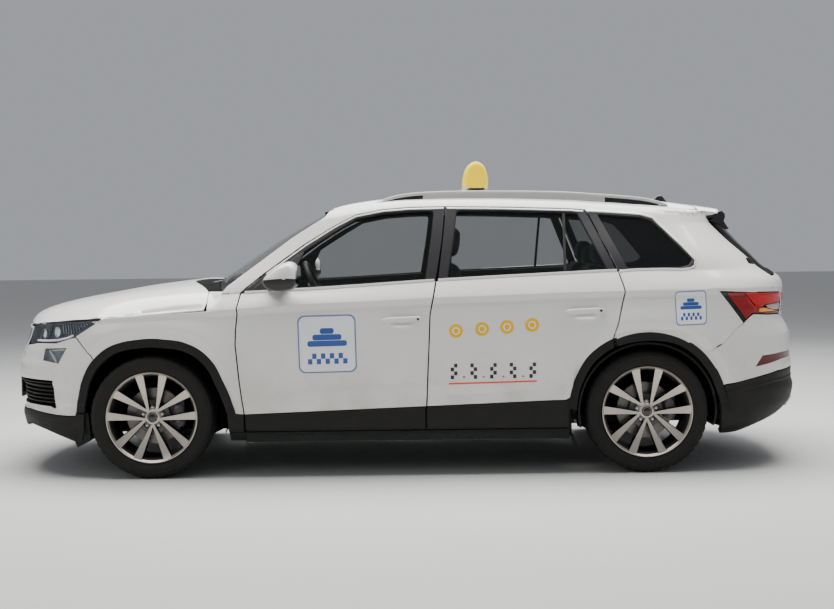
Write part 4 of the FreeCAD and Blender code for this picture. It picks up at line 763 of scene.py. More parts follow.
def loft(mb, secs, m=0, closed=True, caps=True, flip=False):
    g = np.array(secs, float)
    mb.grid(g, m, flip=flip, close_v=closed, caps=caps)
    return mb


# ---------------------------------------------------------------- materials
def lin(c):
    return [((x / 12.92) if x <= 0.04045 else ((x + 0.055) / 1.055) ** 2.4) for x in c] + [1.0]


def material(name, base, rough=0.5, metal=0.0, coat=0.0, alpha=1.0, var=None, var_scale=30.0, bump=0.0, bump_scale=400.0,
             rough_var=0.0, emit=None, spec=None, trans=0.0, ior=None, detail=4.0, streak=None):
    """Principled material with procedural colour variation, roughness variation and bump. base and var are sRGB."""
    m = bpy.data.materials.new(name)
    m.use_nodes = True
    nt = m.node_tree
    b = nt.nodes["Principled BSDF"]
    b.inputs["Metallic"].default_value = metal
    b.inputs["Coat Weight"].default_value = coat
    b.inputs["Coat Roughness"].default_value = 0.04
    b.inputs["Alpha"].default_value = alpha
    if spec is not None:
        b.inputs["Specular IOR Level"].default_value = spec
    if trans:
        b.inputs["Transmission Weight"].default_value = trans
    if ior:
        b.inputs["IOR"].default_value = ior
    if emit:
        b.inputs["Emission Color"].default_value = lin(emit[0])
        b.inputs["Emission Strength"].default_value = emit[1]
    tc = nt.nodes.new("ShaderNodeTexCoord")

    def noise(scale, det=detail, sc3=None):
        n = nt.nodes.new("ShaderNodeTexNoise")
        n.inputs["Scale"].default_value = scale
        n.inputs["Detail"].default_value = det
        if sc3:
            mp = nt.nodes.new("ShaderNodeMapping")
            mp.inputs["Scale"].default_value = sc3
            nt.links.new(tc.outputs["Object"], mp.inputs["Vector"])
            nt.links.new(mp.outputs["Vector"], n.inputs["Vector"])
        else:
            nt.links.new(tc.outputs["Object"], n.inputs["Vector"])
        return n
    if var is not None:
        n = noise(var_scale, sc3=streak)
        mx = nt.nodes.new("ShaderNodeMix")
        mx.data_type = "RGBA"
        mx.inputs["A"].default_value = lin(base)
        mx.inputs["B"].default_value = lin(var)
        nt.links.new(n.outputs["Fac"], mx.inputs["Factor"])
        nt.links.new(mx.outputs["Result"], b.inputs["Base Color"])
    else:
        b.inputs["Base Color"].default_value = lin(base)
    if rough_var:
        n = noise(var_scale * 2.3)
        r = nt.nodes.new("ShaderNodeMapRange")
        r.inputs["To Min"].default_value = max(rough - rough_var, 0.02)
        r.inputs["To Max"].default_value = min(rough + rough_var, 1.0)
        nt.links.new(n.outputs["Fac"], r.inputs["Value"])
        nt.links.new(r.outputs["Result"], b.inputs["Roughness"])
    else:
        b.inputs["Roughness"].default_value = rough
    if bump:
        n = noise(bump_scale, 2.0)
        bp = nt.nodes.new("ShaderNodeBump")
        bp.inputs["Strength"].default_value = 1.0
        bp.inputs["Distance"].default_value = bump
        nt.links.new(n.outputs["Fac"], bp.inputs["Height"])
        nt.links.new(bp.outputs["Normal"], b.inputs["Normal"])
    return m


def paint_material(name, clean, dusty, rough=0.22):
    """White paint: clear coat, very faint mottling, and a film of road dust that thickens towards the sills."""
    m = bpy.data.materials.new(name)
    m.use_nodes = True
    nt = m.node_tree
    N, Lk = nt.nodes, nt.links
    b = N["Principled BSDF"]
    b.inputs["Coat Weight"].default_value = 0.6
    b.inputs["Coat Roughness"].default_value = 0.05
    tc = N.new("ShaderNodeTexCoord")
    sep = N.new("ShaderNodeSeparateXYZ")
    Lk.new(tc.outputs["Object"], sep.inputs["Vector"])
    low = N.new("ShaderNodeMapRange")
    low.inputs["From Min"].default_value = 0.78
    low.inputs["From Max"].default_value = 0.34
    Lk.new(sep.outputs["Z"], low.inputs["Value"])
    n1 = N.new("ShaderNodeTexNoise")
    n1.inputs["Scale"].default_value = 5.0
    n1.inputs["Detail"].default_value = 7.0
    Lk.new(tc.outputs["Object"], n1.inputs["Vector"])
    r1 = N.new("ShaderNodeMapRange")
    r1.inputs["From Min"].default_value = 0.35
    r1.inputs["From Max"].default_value = 0.75
    Lk.new(n1.outputs["Fac"], r1.inputs["Value"])
    mul = N.new("ShaderNodeMath")
    mul.operation = "MULTIPLY"
    Lk.new(low.outputs["Result"], mul.inputs[0])
    Lk.new(r1.outputs["Result"], mul.inputs[1])
    n2 = N.new("ShaderNodeTexNoise")
    n2.inputs["Scale"].default_value = 900.0
    n2.inputs["Detail"].default_value = 1.0
    Lk.new(tc.outputs["Object"], n2.inputs["Vector"])
    speck = N.new("ShaderNodeMath")
    speck.operation = "MULTIPLY_ADD"
    speck.inputs[1].default_value = 0.06
    speck.inputs[2].default_value = 0.03
    Lk.new(n2.outputs["Fac"], speck.inputs[0])
    half = N.new("ShaderNodeMath")
    half.operation = "MULTIPLY_ADD"
    half.inputs[1].default_value = 0.55
    Lk.new(mul.outputs[0], half.inputs[0])
    Lk.new(speck.outputs[0], half.inputs[2])
    mx = N.new("ShaderNodeMix")
    mx.data_type = "RGBA"
    mx.inputs["A"].default_value = lin(clean)
    mx.inputs["B"].default_value = lin(dusty)
    Lk.new(half.outputs[0], mx.inputs["Factor"])
    Lk.new(mx.outputs["Result"], b.inputs["Base Color"])
    rr = N.new("ShaderNodeMapRange")
    rr.inputs["To Min"].default_value = rough
    rr.inputs["To Max"].default_value = rough + 0.35
    Lk.new(half.outputs[0], rr.inputs["Value"])
    Lk.new(rr.outputs["Result"], b.inputs["Roughness"])
    return m


def jamb_material(name):
    """White paint on the door openings, made near-black by place: in the wheel houses (the liner colour), under the
    sills, inside the cabin and on the flanges round the window openings; inside the cabin and on those flanges, which
    are white on the real body, the near-black is painted shade for the dark interior seen through the glass.
    """
    m = paint_material(name, (0.905, 0.900, 0.890), (0.70, 0.66, 0.60))
    nt = m.node_tree
    N, Lk = nt.nodes, nt.links
    b = N["Principled BSDF"]
    src = b.inputs["Base Color"].links[0].from_socket
    tc = N.new("ShaderNodeTexCoord")
    sep = N.new("ShaderNodeSeparateXYZ")
    Lk.new(tc.outputs["Object"], sep.inputs["Vector"])

    def math_(op, a, b_=None, c=None):
        n = N.new("ShaderNodeMath")
        n.operation = op
        for i, k in enumerate((a, b_, c)):
            if k is None:
                continue
            if isinstance(k, (int, float)):
                n.inputs[i].default_value = k
            else:
                Lk.new(k, n.inputs[i])
        return n.outputs[0]
    # painted shade: flanges inside the cabin, reaching further out between 1.06 m and 1.468 m round the windows, are
    # turned near-black
    y = math_("ABSOLUTE", sep.outputs["Y"])
    lean = math_("MAXIMUM", math_("SUBTRACT", sep.outputs["Z"], 1.1), 0.0)
    band = math_("MULTIPLY", math_("GREATER_THAN", sep.outputs["Z"], 1.06), math_("LESS_THAN", sep.outputs["Z"], 1.468))
    inner = math_("LESS_THAN", math_("SUBTRACT", math_("MULTIPLY_ADD", lean, 0.45, y), math_("MULTIPLY", band, 0.05)), 0.815)
    dx = math_("SUBTRACT", sep.outputs["X"], 1.3465)
    dz = math_("SUBTRACT", sep.outputs["Z"], 0.346)
    rad = math_("SQRT", math_("ADD", math_("MULTIPLY", dx, dx), math_("MULTIPLY", dz, dz)))
    arch = math_("LESS_THAN", rad, 0.452)
    low = math_("LESS_THAN", sep.outputs["Z"], 0.262)
    dark = math_("MAXIMUM", inner, math_("MAXIMUM", arch, low))
    n1 = N.new("ShaderNodeTexNoise")
    n1.inputs["Scale"].default_value = 40.0
    Lk.new(tc.outputs["Object"], n1.inputs["Vector"])
    # near-black tone: liner colour in the wheel houses, painted shade inside the cabin and on the window flanges
    tr = N.new("ShaderNodeMix")
    tr.data_type = "RGBA"
    tr.inputs["A"].default_value = lin((0.060, 0.060, 0.063))
    tr.inputs["B"].default_value = lin((0.095, 0.093, 0.090))
    Lk.new(n1.outputs["Fac"], tr.inputs["Factor"])
    mx = N.new("ShaderNodeMix")
    mx.data_type = "RGBA"
    Lk.new(dark, mx.inputs["Factor"])
    Lk.new(src, mx.inputs["A"])
    Lk.new(tr.outputs["Result"], mx.inputs["B"])
    Lk.new(mx.outputs["Result"], b.inputs["Base Color"])
    b.inputs["Coat Weight"].default_value = 0.0
    b.inputs["Specular IOR Level"].default_value = 0.2
    return m


M = {}
M["paint"] = paint_material("paint_white", (0.905, 0.900, 0.890), (0.70, 0.66, 0.60))
M["jamb"] = jamb_material("body_inner")
M["cowl"] = material("cowl_black", (0.035, 0.034, 0.033), 0.9, spec=0.08, var=(0.06, 0.058, 0.055), var_scale=40)
# painted shade: dark colour for the deep part of each panel's edge wall and its inner skin, so the shut gaps read dark;
# the real edges are body colour
M["dark"] = material("gap_wall_shade", (0.10, 0.10, 0.105), 0.8, var=(0.06, 0.06, 0.065), var_scale=20)
M["primer"] = material("primer_grey", (0.62, 0.62, 0.61), 0.6, var=(0.55, 0.55, 0.54), var_scale=12)
M["clad"] = material("cladding_black", (0.105, 0.102, 0.100), 0.58, spec=0.22, var=(0.135, 0.130, 0.124), var_scale=9, bump=0.0004, bump_scale=900, rough_var=0.08)
M["gloss"] = material("black_gloss", (0.045, 0.045, 0.05), 0.12, coat=0.5, var=(0.06, 0.06, 0.065), var_scale=14)
M["satin"] = material("black_satin", (0.09, 0.09, 0.095), 0.42, var=(0.12, 0.12, 0.12), var_scale=22, bump=0.0002, bump_scale=700)
M["pillar"] = material("pillar_film", (0.13, 0.13, 0.145), 0.36, coat=0.15, var=(0.16, 0.155, 0.165), var_scale=30, streak=(1, 1, 0.1))
M["rubber"] = material("rubber_seal", (0.055, 0.055, 0.055), 0.75, var=(0.09, 0.09, 0.09), var_scale=60, bump=0.0002, bump_scale=300)
M["chrome"] = material("bright_trim", (0.93, 0.925, 0.91), 0.24, metal=0.45, var=(0.90, 0.895, 0.88), var_scale=18, rough_var=0.05)
M["rail"] = material("rail_silver", (0.83, 0.83, 0.82), 0.30, metal=0.35, var=(0.79, 0.79, 0.78), var_scale=25, bump=0.00006, bump_scale=1200)
M["glass"] = material("glass_tint", (0.10, 0.125, 0.115), 0.03, alpha=0.20, var=(0.115, 0.14, 0.13), var_scale=3)
M["glass_dark"] = material("glass_privacy", (0.05, 0.060, 0.060), 0.03, alpha=0.46, var=(0.06, 0.07, 0.073), var_scale=3)
M["glass_screen"] = material("glass_screen", (0.16, 0.19, 0.18), 0.03, alpha=0.22, var=(0.18, 0.21, 0.20), var_scale=3)
M["lens"] = material("lamp_lens", (0.66, 0.69, 0.72), 0.04, alpha=0.13, coat=0.5, var=(0.60, 0.64, 0.68), var_scale=20)
M["reflector"] = material("lamp_reflector", (0.62, 0.66, 0.70), 0.14, metal=0.9, var=(0.50, 0.56, 0.62), var_scale=35)
M["housing"] = material("lamp_housing", (0.24, 0.265, 0.30), 0.28, metal=0.4, var=(0.33, 0.36, 0.40), var_scale=40)
M["drl"] = material("lamp_strip", (0.93, 0.95, 0.98), 0.25, var=(0.86, 0.90, 0.95), var_scale=60, emit=((0.95, 0.97, 1.0), 0.25))
M["bulb"] = material("lamp_projector", (0.80, 0.84, 0.88), 0.06, metal=0.4, coat=0.8, var=(0.9, 0.92, 0.94), var_scale=80, emit=((0.95, 0.98, 1.0), 0.15))
M["red"] = material("lamp_red", (0.60, 0.015, 0.02), 0.16, coat=0.5, var=(0.48, 0.01, 0.015), var_scale=40)
M["red_hot"] = material("lamp_red_bright", (0.78, 0.025, 0.025), 0.16, coat=0.5, var=(0.68, 0.015, 0.02), var_scale=50, emit=((0.9, 0.04, 0.03), 0.05))
M["red_dark"] = material("lamp_red_dark", (0.20, 0.012, 0.015), 0.10, coat=0.8, var=(0.13, 0.008, 0.01), var_scale=40)
M["amber"] = material("lamp_amber", (0.93, 0.50, 0.10), 0.15, coat=0.8, var=(0.98, 0.62, 0.16), var_scale=60, emit=((0.95, 0.5, 0.1), 0.15))
M["clear"] = material("lamp_clear", (0.72, 0.70, 0.68), 0.12, coat=0.8, var=(0.58, 0.55, 0.54), var_scale=90)
M["reflex"] = material("reflex_red", (0.42, 0.05, 0.05), 0.25, coat=0.6, var=(0.30, 0.03, 0.03), var_scale=260, bump=0.0005, bump_scale=380)
M["tyre"] = material("tyre_rubber", (0.105, 0.103, 0.100), 0.74, spec=0.22, var=(0.145, 0.140, 0.134), var_scale=14, bump=0.0003, bump_scale=500, rough_var=0.08)
M["machined"] = material("alloy_machined", (0.76, 0.73, 0.69), 0.30, metal=0.85, var=(0.70, 0.67, 0.63), var_scale=160, rough_var=0.08)
M["rimblack"] = material("alloy_black", (0.045, 0.045, 0.05), 0.25, coat=0.5, var=(0.07, 0.07, 0.075), var_scale=20)
M["barrel"] = material("alloy_barrel", (0.17, 0.17, 0.175), 0.45, metal=0.4, var=(0.23, 0.22, 0.21), var_scale=18)
M["disc"] = material("brake_disc", (0.50, 0.49, 0.47), 0.36, metal=0.8, var=(0.40, 0.385, 0.36), var_scale=90)
M["caliper"] = material("caliper_grey", (0.42, 0.42, 0.42), 0.5, metal=0.3, var=(0.33, 0.32, 0.31), var_scale=60, bump=0.0006, bump_scale=260)
M["cast"] = material("cast_grey", (0.24, 0.24, 0.25), 0.6, metal=0.3, var=(0.17, 0.16, 0.155), var_scale=25, bump=0.0008, bump_scale=200)
M["under"] = material("underbody", (0.12, 0.12, 0.125), 0.85, var=(0.17, 0.165, 0.155), var_scale=8, bump=0.0008, bump_scale=120)
M["liner"] = material("arch_liner", (0.055, 0.055, 0.058), 0.95, spec=0.22, var=(0.085, 0.082, 0.078), var_scale=12, bump=0.001, bump_scale=240)
M["steel"] = material("exhaust_steel", (0.42, 0.40, 0.37), 0.45, metal=0.8, var=(0.30, 0.26, 0.22), var_scale=18)
M["trim"] = material("trim_grey", (0.24, 0.24, 0.245), 0.6, var=(0.27, 0.27, 0.27), var_scale=40, bump=0.0004, bump_scale=500)
M["trim_dark"] = material("trim_black", (0.12, 0.12, 0.125), 0.55, var=(0.15, 0.15, 0.15), var_scale=40, bump=0.0004, bump_scale=500)
M["lining"] = material("headlining", (0.40, 0.385, 0.37), 0.95, var=(0.35, 0.34, 0.33), var_scale=60, bump=0.0006, bump_scale=900)
M["carpet"] = material("carpet", (0.15, 0.15, 0.155), 1.0, var=(0.20, 0.20, 0.20), var_scale=150, bump=0.002, bump_scale=700)
M["screen_off"] = material("display_glass", (0.02, 0.02, 0.025), 0.05, coat=0.6, var=(0.03, 0.03, 0.04), var_scale=10)
M["mirror"] = material("mirror_glass", (0.80, 0.83, 0.85), 0.02, metal=1.0, var=(0.77, 0.80, 0.82), var_scale=4)
M["sign"] = material("sign_yellow", (0.95, 0.83, 0.0), 0.42, spec=0.12, var=(0.94, 0.80, 0.0), var_scale=9, rough_var=0.05)
M["sign_pale"] = material("sign_pale", (0.82, 0.80, 0.66), 0.3, coat=0.4, var=(0.74, 0.72, 0.60), var_scale=20)
M["blue"] = material("decal_blue", (0.14, 0.30, 0.60), 0.34, var=(0.17, 0.34, 0.64), var_scale=25)
M["outline"] = material("decal_outline", (0.33, 0.42, 0.64), 0.34, var=(0.40, 0.47, 0.68), var_scale=25)
M["sticker"] = material("decal_white", (0.93, 0.935, 0.94), 0.32, var=(0.91, 0.915, 0.93), var_scale=25)
M["sticker_grey"] = material("decal_grey", (0.80, 0.795, 0.785), 0.32, var=(0.78, 0.775, 0.765), var_scale=25)
M["yellow"] = material("decal_yellow", (0.95, 0.76, 0.0), 0.42, spec=0.12, var=(0.94, 0.73, 0.0), var_scale=40)
M["gate_black"] = material("gate_border", (0.035, 0.035, 0.038), 0.55, spec=0.10, var=(0.05, 0.05, 0.053), var_scale=14)
M["glass_gate"] = material("glass_gate", (0.03, 0.036, 0.037), 0.10, alpha=0.62, spec=0.10, var=(0.04, 0.046, 0.048), var_scale=3)
M["black_ink"] = material("decal_black", (0.09, 0.09, 0.10), 0.4, var=(0.12, 0.12, 0.13), var_scale=40)
M["orange"] = material("decal_orange", (0.95, 0.34, 0.08), 0.36, var=(0.92, 0.30, 0.06), var_scale=40)
M["plate"] = material("plate_blank", (0.88, 0.88, 0.87), 0.35, var=(0.84, 0.84, 0.83), var_scale=14)
M["bolt"] = material("bolt_steel", (0.70, 0.70, 0.69), 0.28, metal=0.9, var=(0.60, 0.60, 0.59), var_scale=90)


def cloth_material(name, a, b, thread=900.0, bump=0.0006):
    m = bpy.data.materials.new(name)
    m.use_nodes = True
    nt = m.node_tree
    N, Lk = nt.nodes, nt.links
    s = N["Principled BSDF"]
    s.inputs["Roughness"].default_value = 0.95
    s.inputs["Sheen Weight"].default_value = 0.35
    tc = N.new("ShaderNodeTexCoord")
    w1 = N.new("ShaderNodeTexWave")
    w1.bands_direction = "Y"
    w1.inputs["Scale"].default_value = thread / 6.0
    w2 = N.new("ShaderNodeTexWave")
    w2.bands_direction = "DIAGONAL"
    w2.inputs["Scale"].default_value = thread / 6.0
    for w in (w1, w2):
        Lk.new(tc.outputs["Object"], w.inputs["Vector"])
    mul = N.new("ShaderNodeMath")
    mul.operation = "MULTIPLY"
    Lk.new(w1.outputs["Fac"], mul.inputs[0])
    Lk.new(w2.outputs["Fac"], mul.inputs[1])
    mx = N.new("ShaderNodeMix")
    mx.data_type = "RGBA"
    mx.inputs["A"].default_value = lin(a)
    mx.inputs["B"].default_value = lin(b)
    Lk.new(mul.outputs[0], mx.inputs["Factor"])
    Lk.new(mx.outputs["Result"], s.inputs["Base Color"])
    bp = N.new("ShaderNodeBump")
    bp.inputs["Distance"].default_value = bump
    Lk.new(mul.outputs[0], bp.inputs["Height"])
    Lk.new(bp.outputs["Normal"], s.inputs["Normal"])
    return m


M["cloth"] = cloth_material("seat_cloth", (0.20, 0.20, 0.21), (0.29, 0.29, 0.30))
M["cloth_mid"] = cloth_material("seat_cloth_middle", (0.25, 0.25, 0.26), (0.37, 0.37, 0.37))

# the second slot of each pair is painted shade for gap walls and inner skins
PAINT2 = [M["paint"], M["dark"]]
CLAD2 = [M["clad"], M["dark"]]

# ---------------------------------------------------------------- camera, light, floor
C = np.array([-0.03125, -8.4, 1.33442])
yaw, pitch, roll = math.radians(0.63526), math.radians(-2.80695), math.radians(-0.61905)
ax_a = np.array([math.sin(yaw) * math.cos(pitch), math.cos(yaw) * math.cos(pitch), math.sin(pitch)])
ax_r = np.cross(ax_a, [0, 0, 1])
ax_r = ax_r / np.linalg.norm(ax_r)
ax_u = np.cross(ax_r, ax_a)
r2 = math.cos(roll) * ax_r + math.sin(roll) * ax_u
u2 = -math.sin(roll) * ax_r + math.cos(roll) * ax_u
cam_data = bpy.data.cameras.new("camera")
cam_data.sensor_width = 36.0
cam_data.lens = 57.8989
cam_data.clip_start, cam_data.clip_end = 0.05, 200
cam = bpy.data.objects.new("camera", cam_data)
SC.collection.objects.link(cam)
mw = Matrix(((r2[0], u2[0], -ax_a[0], C[0]), (r2[1], u2[1], -ax_a[1], C[1]), (r2[2], u2[2], -ax_a[2], C[2]), (0, 0, 0, 1)))
cam.matrix_world = mw
SC.camera = cam


def area_light(name, loc, target, size, size_y, power, color=(1, 1, 1)):
    d = bpy.data.lights.new(name, "AREA")
    d.shape = "RECTANGLE"
    d.size, d.size_y = size, size_y
    d.energy = power
    d.color = color
    o = bpy.data.objects.new(name, d)
    o.location = loc
    o.rotation_mode = "QUATERNION"
    o.rotation_quaternion = (Vector(target) - Vector(loc)).to_track_quat("-Z", "Y")
    SC.collection.objects.link(o)
    return o


area_light("light_top", (0, 0.4, 6.2), (0, 0, 0.8), 9.0, 5.0, 1450, (1.0, 0.985, 0.96))
area_light("light_front_left", (-5.5, -6.5, 4.0), (-0.8, 0, 0.8), 4.0, 3.0, 60, (1.0, 0.985, 0.965))
area_light("light_back", (1.5, 7.5, 4.5), (0, 0, 0.8), 6.0, 3.5, 200, (0.97, 0.985, 1.0))
world = bpy.data.worlds.new("world")
SC.world = world
world.use_nodes = True
bg = world.node_tree.nodes["Background"]
bg.inputs["Color"].default_value = (0.80, 0.83, 0.88, 1)
bg.inputs["Strength"].default_value = 0.46
floor_mat = material("floor_pale", (0.76, 0.76, 0.755), 0.75, var=(0.74, 0.74, 0.735), var_scale=1.5)
fm = bpy.data.meshes.new("floor")
fm.from_pydata([(-40, -40, 0), (40, -40, 0), (40, 40, 0), (-40, 40, 0)], [], [(0, 1, 2, 3)])
fm.materials.append(floor_mat)
floor = bpy.data.objects.new("floor", fm)
SC.collection.objects.link(floor)

# ---------------------------------------------------------------- outlines
CUT_A = [(-921, 262), (-924, 363), (-949, 567), (-967, 751), (-963, 835), (-953, 925), (-957, 955),
         (-948, 992), (-938, 1041), (-806, 1146), (-587, 1304), (-419, 1408)]
TOP_F = [(-291, 1472), (-137, 1501), (15, 1512), (222, 1514)]
CUT_B = [(222, 1514), (202, 1333), (161, 1104), (124, 909), (117, 745), (96, 293), (96, 262)]
TOP_R = [(222, 1514), (560, 1508), (938, 1495), (1022, 1488)]
CUT_C = [(1022, 1488), (1040, 1464), (1188, 1140), (1214, 1045), (1217, 1023), (1182, 874), (1158, 795)]
WIN_F = [(-880, 1052), (-795, 1122), (-575, 1280), (-410, 1382), (-291, 1452), (-137, 1482), (15, 1493),
         (160, 1496), (140, 1333), (104, 1104)]
WIN_R = [(222, 1112), (262, 1333), (284, 1496), (560, 1491), (938, 1477), (982, 1471), (1132, 1143), (914, 1137)]
WIN_Q = [(1240, 1154), (1092, 1464), (1350, 1444), (1448, 1424), (1532, 1358), (1620, 1272), (1682, 1198),
         (1640, 1168), (1577, 1156)]
GATE = [(-560, 1560), (-560, 1480), (-606, 1300), (-632, 1100), (-606, 1000), (-598, 900), (-585, 762)]


def sh(pts, dx, dz=0.0):
    return [(p[0] + dx, p[1] + dz) for p in pts]


def interp_x(cut, z):
    """x of a cut line at height z; the line is given in rising or falling z."""
    c = sorted([(p[1], p[0]) for p in cut])
    return float(np.interp(z, [k[0] for k in c], [k[1] for k in c]))


def belt_line(x0, x1, dz=0.0, n=14):
    return [(x0 + (x1 - x0) * i / (n - 1.0), float(Z_BELT(x0 + (x1 - x0) * i / (n - 1.0))) + dz) for i in range(n)]


def zline(cv, x0, x1, dz=0.0, n=40):
    return [(x0 + (x1 - x0) * i / (n - 1.0), float(cv(x0 + (x1 - x0) * i / (n - 1.0))) + dz) for i in range(n)]


FEATURES = [zline(Z_SHOULDER, -1700, 1720, d) for d in (-40, -36, -26, -14, -3, 0, 4, 14)]
FEATURES += [zline(Z_CREASE, -900, 860, d) for d in (-6, 0, 5)] + [zline(Z_FACET, -880, 870, d) for d in (-14, 0, 12)]
FEATURES += [RF.arc(-10, 190, 60, d) for d in (-2, 3)] + [RR.arc(-10, 190, 60, d) for d in (-2, 3)]


# the door handle bowl
def bowl_left(cx, cz):
    def f(x, z):
        return -21.0 * np.exp(-((x - cx) / 64.0) ** 4 - ((z - cz - 2) / 29.0) ** 4)
    return f


HANDLES = [(-32.0, 872.0), (990.0, 908.0)]
bowls = [bowl_left(*h) for h in HANDLES]


def P_door(u, z):
    return P_left(u, z, lambda x, zz: bowls[0](x, zz) + bowls[1](x, zz))


def flared(P, amp=6.5):
    """The painted skin with the crease that runs round each wheel arch: the band below it faces down a little."""
    def f(u, v):
        q = np.array(P(u, v), float)
        x, z = q[..., 0], q[..., 2]
        tot = np.zeros_like(x)
        for outer, inner, fade in ((RF, RCF, (x + 1800.0) / 130.0), (RR, RCR, (1765.0 - x) / 130.0)):
            a_ = np.arctan2(z - outer.cz, x - outer.cx)
            ok = (a_ > 0.0) & (a_ < math.pi)
            a_ = np.clip(a_, 0.03, math.pi - 0.03)
            r = np.hypot(x - outer.cx, z - outer.cz)
            ro, ri = outer.c(a_), inner.c(a_)
            t = np.clip((r - ri) / np.maximum(ro - ri, 8.0), 0, 1)
            o_ = np.clip((r - ro) / 95.0, 0, 1)
            h = np.where(r < ro, t, 1 - o_ * o_ * (3 - 2 * o_))
            low = np.clip((z - 380.0) / 160.0, 0, 1)
            fade = np.clip(fade, 0, 1)
            tot = np.maximum(tot, np.where(ok, h, 0.0) * low * fade * fade * (3 - 2 * fade))
        q[..., 1] -= amp * tot
        return q
    return f


def both_obj(name, mb, mats, body, replaces=(), **kw):
    """One object per side; body and replaces hold a %s for the side."""
    out = []
    for s, q in (("left", mb), ("right", mb.mirrored())):
        out.append(q.obj(name % s, mats, body % s if "%s" in body else body, [r % s for r in replaces], **kw))
    return out


# ---------------------------------------------------------------- doors
def belt_top(cut_front, cut_rear, x0, x1):
    return belt_line(x1, x0, -3.0)


zc = lambda x: float(Z_CLAD(x))
lower_a = [p for p in CUT_A if 363 < p[1] < 1040]
fd_paint = ([(-920.5, zc(-921) + 2)] + [(x, zc(x) + 2) for x in np.linspace(-860, 60, 12)] + [(interp_x(CUT_B, zc(96) + 2) - HALF, zc(96) + 2)]
            + sh([p for p in CUT_B[::-1] if 420 < p[1] < 1090], -HALF)
            + [(interp_x(CUT_B, Z_BELT(158) - 3) - HALF, float(Z_BELT(158)) - 3)] + belt_line(120, -900, -3.0, 10)
            + [(-938 + HALF, float(Z_BELT(-938)) - 3)] + sh(lower_a[::-1], HALF))
mb = MB()
panel(mb, [np.array(fd_paint)], flared(P_door), step=15, lines=FEATURES, wall=30)
both_obj("front_door_skin_%s", mb, PAINT2, "front_door_%s_body", ["front_door_%s"], slot="paint")

rd_paint = ([(interp_x(CUT_B, zc(100) + 2) + HALF, zc(100) + 2)] + [(x, zc(x) + 2) for x in np.linspace(160, 880, 10)]
            + RCR.arc(168.5, 115.5, 22, 1.5) + sh([p for p in CUT_C[::-1] if 800 < p[1] < 1130], -HALF)
            + [(1188 - HALF, float(Z_BELT(1186)) - 3)] + belt_line(1150, 200, -3.0, 12)
            + [(161 + HALF, float(Z_BELT(165)) - 3)] + sh([p for p in CUT_B if 420 < p[1] < 1090], HALF))
mb = MB()
panel(mb, [np.array(rd_paint)], flared(P_door), step=15, lines=FEATURES, wall=30)
both_obj("rear_door_skin_%s", mb, PAINT2, "rear_door_%s_body", ["rear_door_%s"], slot="paint")


# black cladding on the doors, with its lighter upper facet
def P_clad(u, z):
    """Cladding stands a little proud, with a facet along the top and a soft hollow under it."""
    p = P_left(u, z)
    x = p[..., 0]
    t = zc_arr(x) - z
    e = 5.0 * np.clip((x + 900) / 200.0, 0, 1) * np.clip((860 - x) / 260.0, 0, 1)
    bump_ = e * np.exp(-((t - 46.0) / 12.0) ** 2) + e * 0.6 * np.clip((t - 46) / 30.0, 0, 1)
    q = p.copy()
    q[..., 1] = q[..., 1] - bump_
    return q


zc_arr = Z_CLAD
CL_LINES = [zline(Z_CLAD, -900, 880, d) for d in (-58, -50, -46, -42, -34)]
fd_clad = [(-921 + HALF, 262), (96 - HALF, 262), (96 - HALF, zc(96) - 1.5)] + [(x, zc(x) - 1.5) for x in np.linspace(40, -880, 14)] + [(-924 + HALF, zc(-924) - 1.5)]
mb = MB()
panel(mb, [np.array(fd_clad)], P_clad, step=14, lines=CL_LINES, wall=26)
both_obj("front_door_cladding_%s", mb, CLAD2, "front_door_%s_body", slot="plastic_black")
rd_clad = ([(96 + HALF, 262), (900, 262), (899, 330), (906, 372)] + RCR.arc(178, 117.5, 22, -CLAD_WIDTH + 1)
           + sh([(1158, 795), (1162, 806)], -HALF)[:1] + RCR.arc(115.6, 168.5, 22, -1.0)
           + [(x, zc(x) - 1.5) for x in np.linspace(880, 140, 12)] + [(98 + HALF, zc(98) - 1.5)])
mb = MB()
panel(mb, [np.array(rd_clad)], P_clad, step=12, lines=CL_LINES, wall=26)
both_obj("rear_door_cladding_%s", mb, CLAD2, "rear_door_%s_body", slot="plastic_black")

# window frames of the doors
fd_frame = (belt_line(-930, 150, -1.0, 12) + [(interp_x(CUT_B, 1104) - HALF, 1101)] + sh([p for p in CUT_B[::-1] if p[1] > 1110], -HALF)[:-1]
            + [(222 - HALF, 1514 - 2)] + sh(TOP_F[:-1][::-1], 0, -2) + sh([p for p in CUT_A[::-1] if p[1] > 1060], HALF + 1))
wf = fillet(WIN_F, {"all": 6, 7: 26, 0: 14, 9: 16}, 6)
mb = MB()
panel(mb, [np.array(fd_frame), wf], P_left, step=12, wall=24, hem=2.0, lift=-1.0)
both_obj("front_door_frame_%s", mb, [M["pillar"], M["dark"]], "front_door_%s_body", slot="plastic_black")
rd_frame = (belt_line(172, 1180, -1.0, 12) + sh([p for p in CUT_C[::-1] if p[1] > 1142], -HALF)[:-1]
            + [(1022 - HALF, 1488 - 2)] + sh(TOP_R[1:-1][::-1], 0, -2) + [(222 + HALF, 1512)] + sh([p for p in CUT_B if 1110 < p[1] < 1500], HALF))
wr = fillet(WIN_R, {"all": 6, 2: 30, 0: 14, 5: 8, 6: 12}, 6)
mb = MB()
panel(mb, [np.array(rd_frame), wr], P_left, step=12, wall=24, hem=2.0, lift=-1.0)
both_obj("rear_door_frame_%s", mb, [M["pillar"], M["dark"]], "rear_door_%s_body", slot="plastic_black")

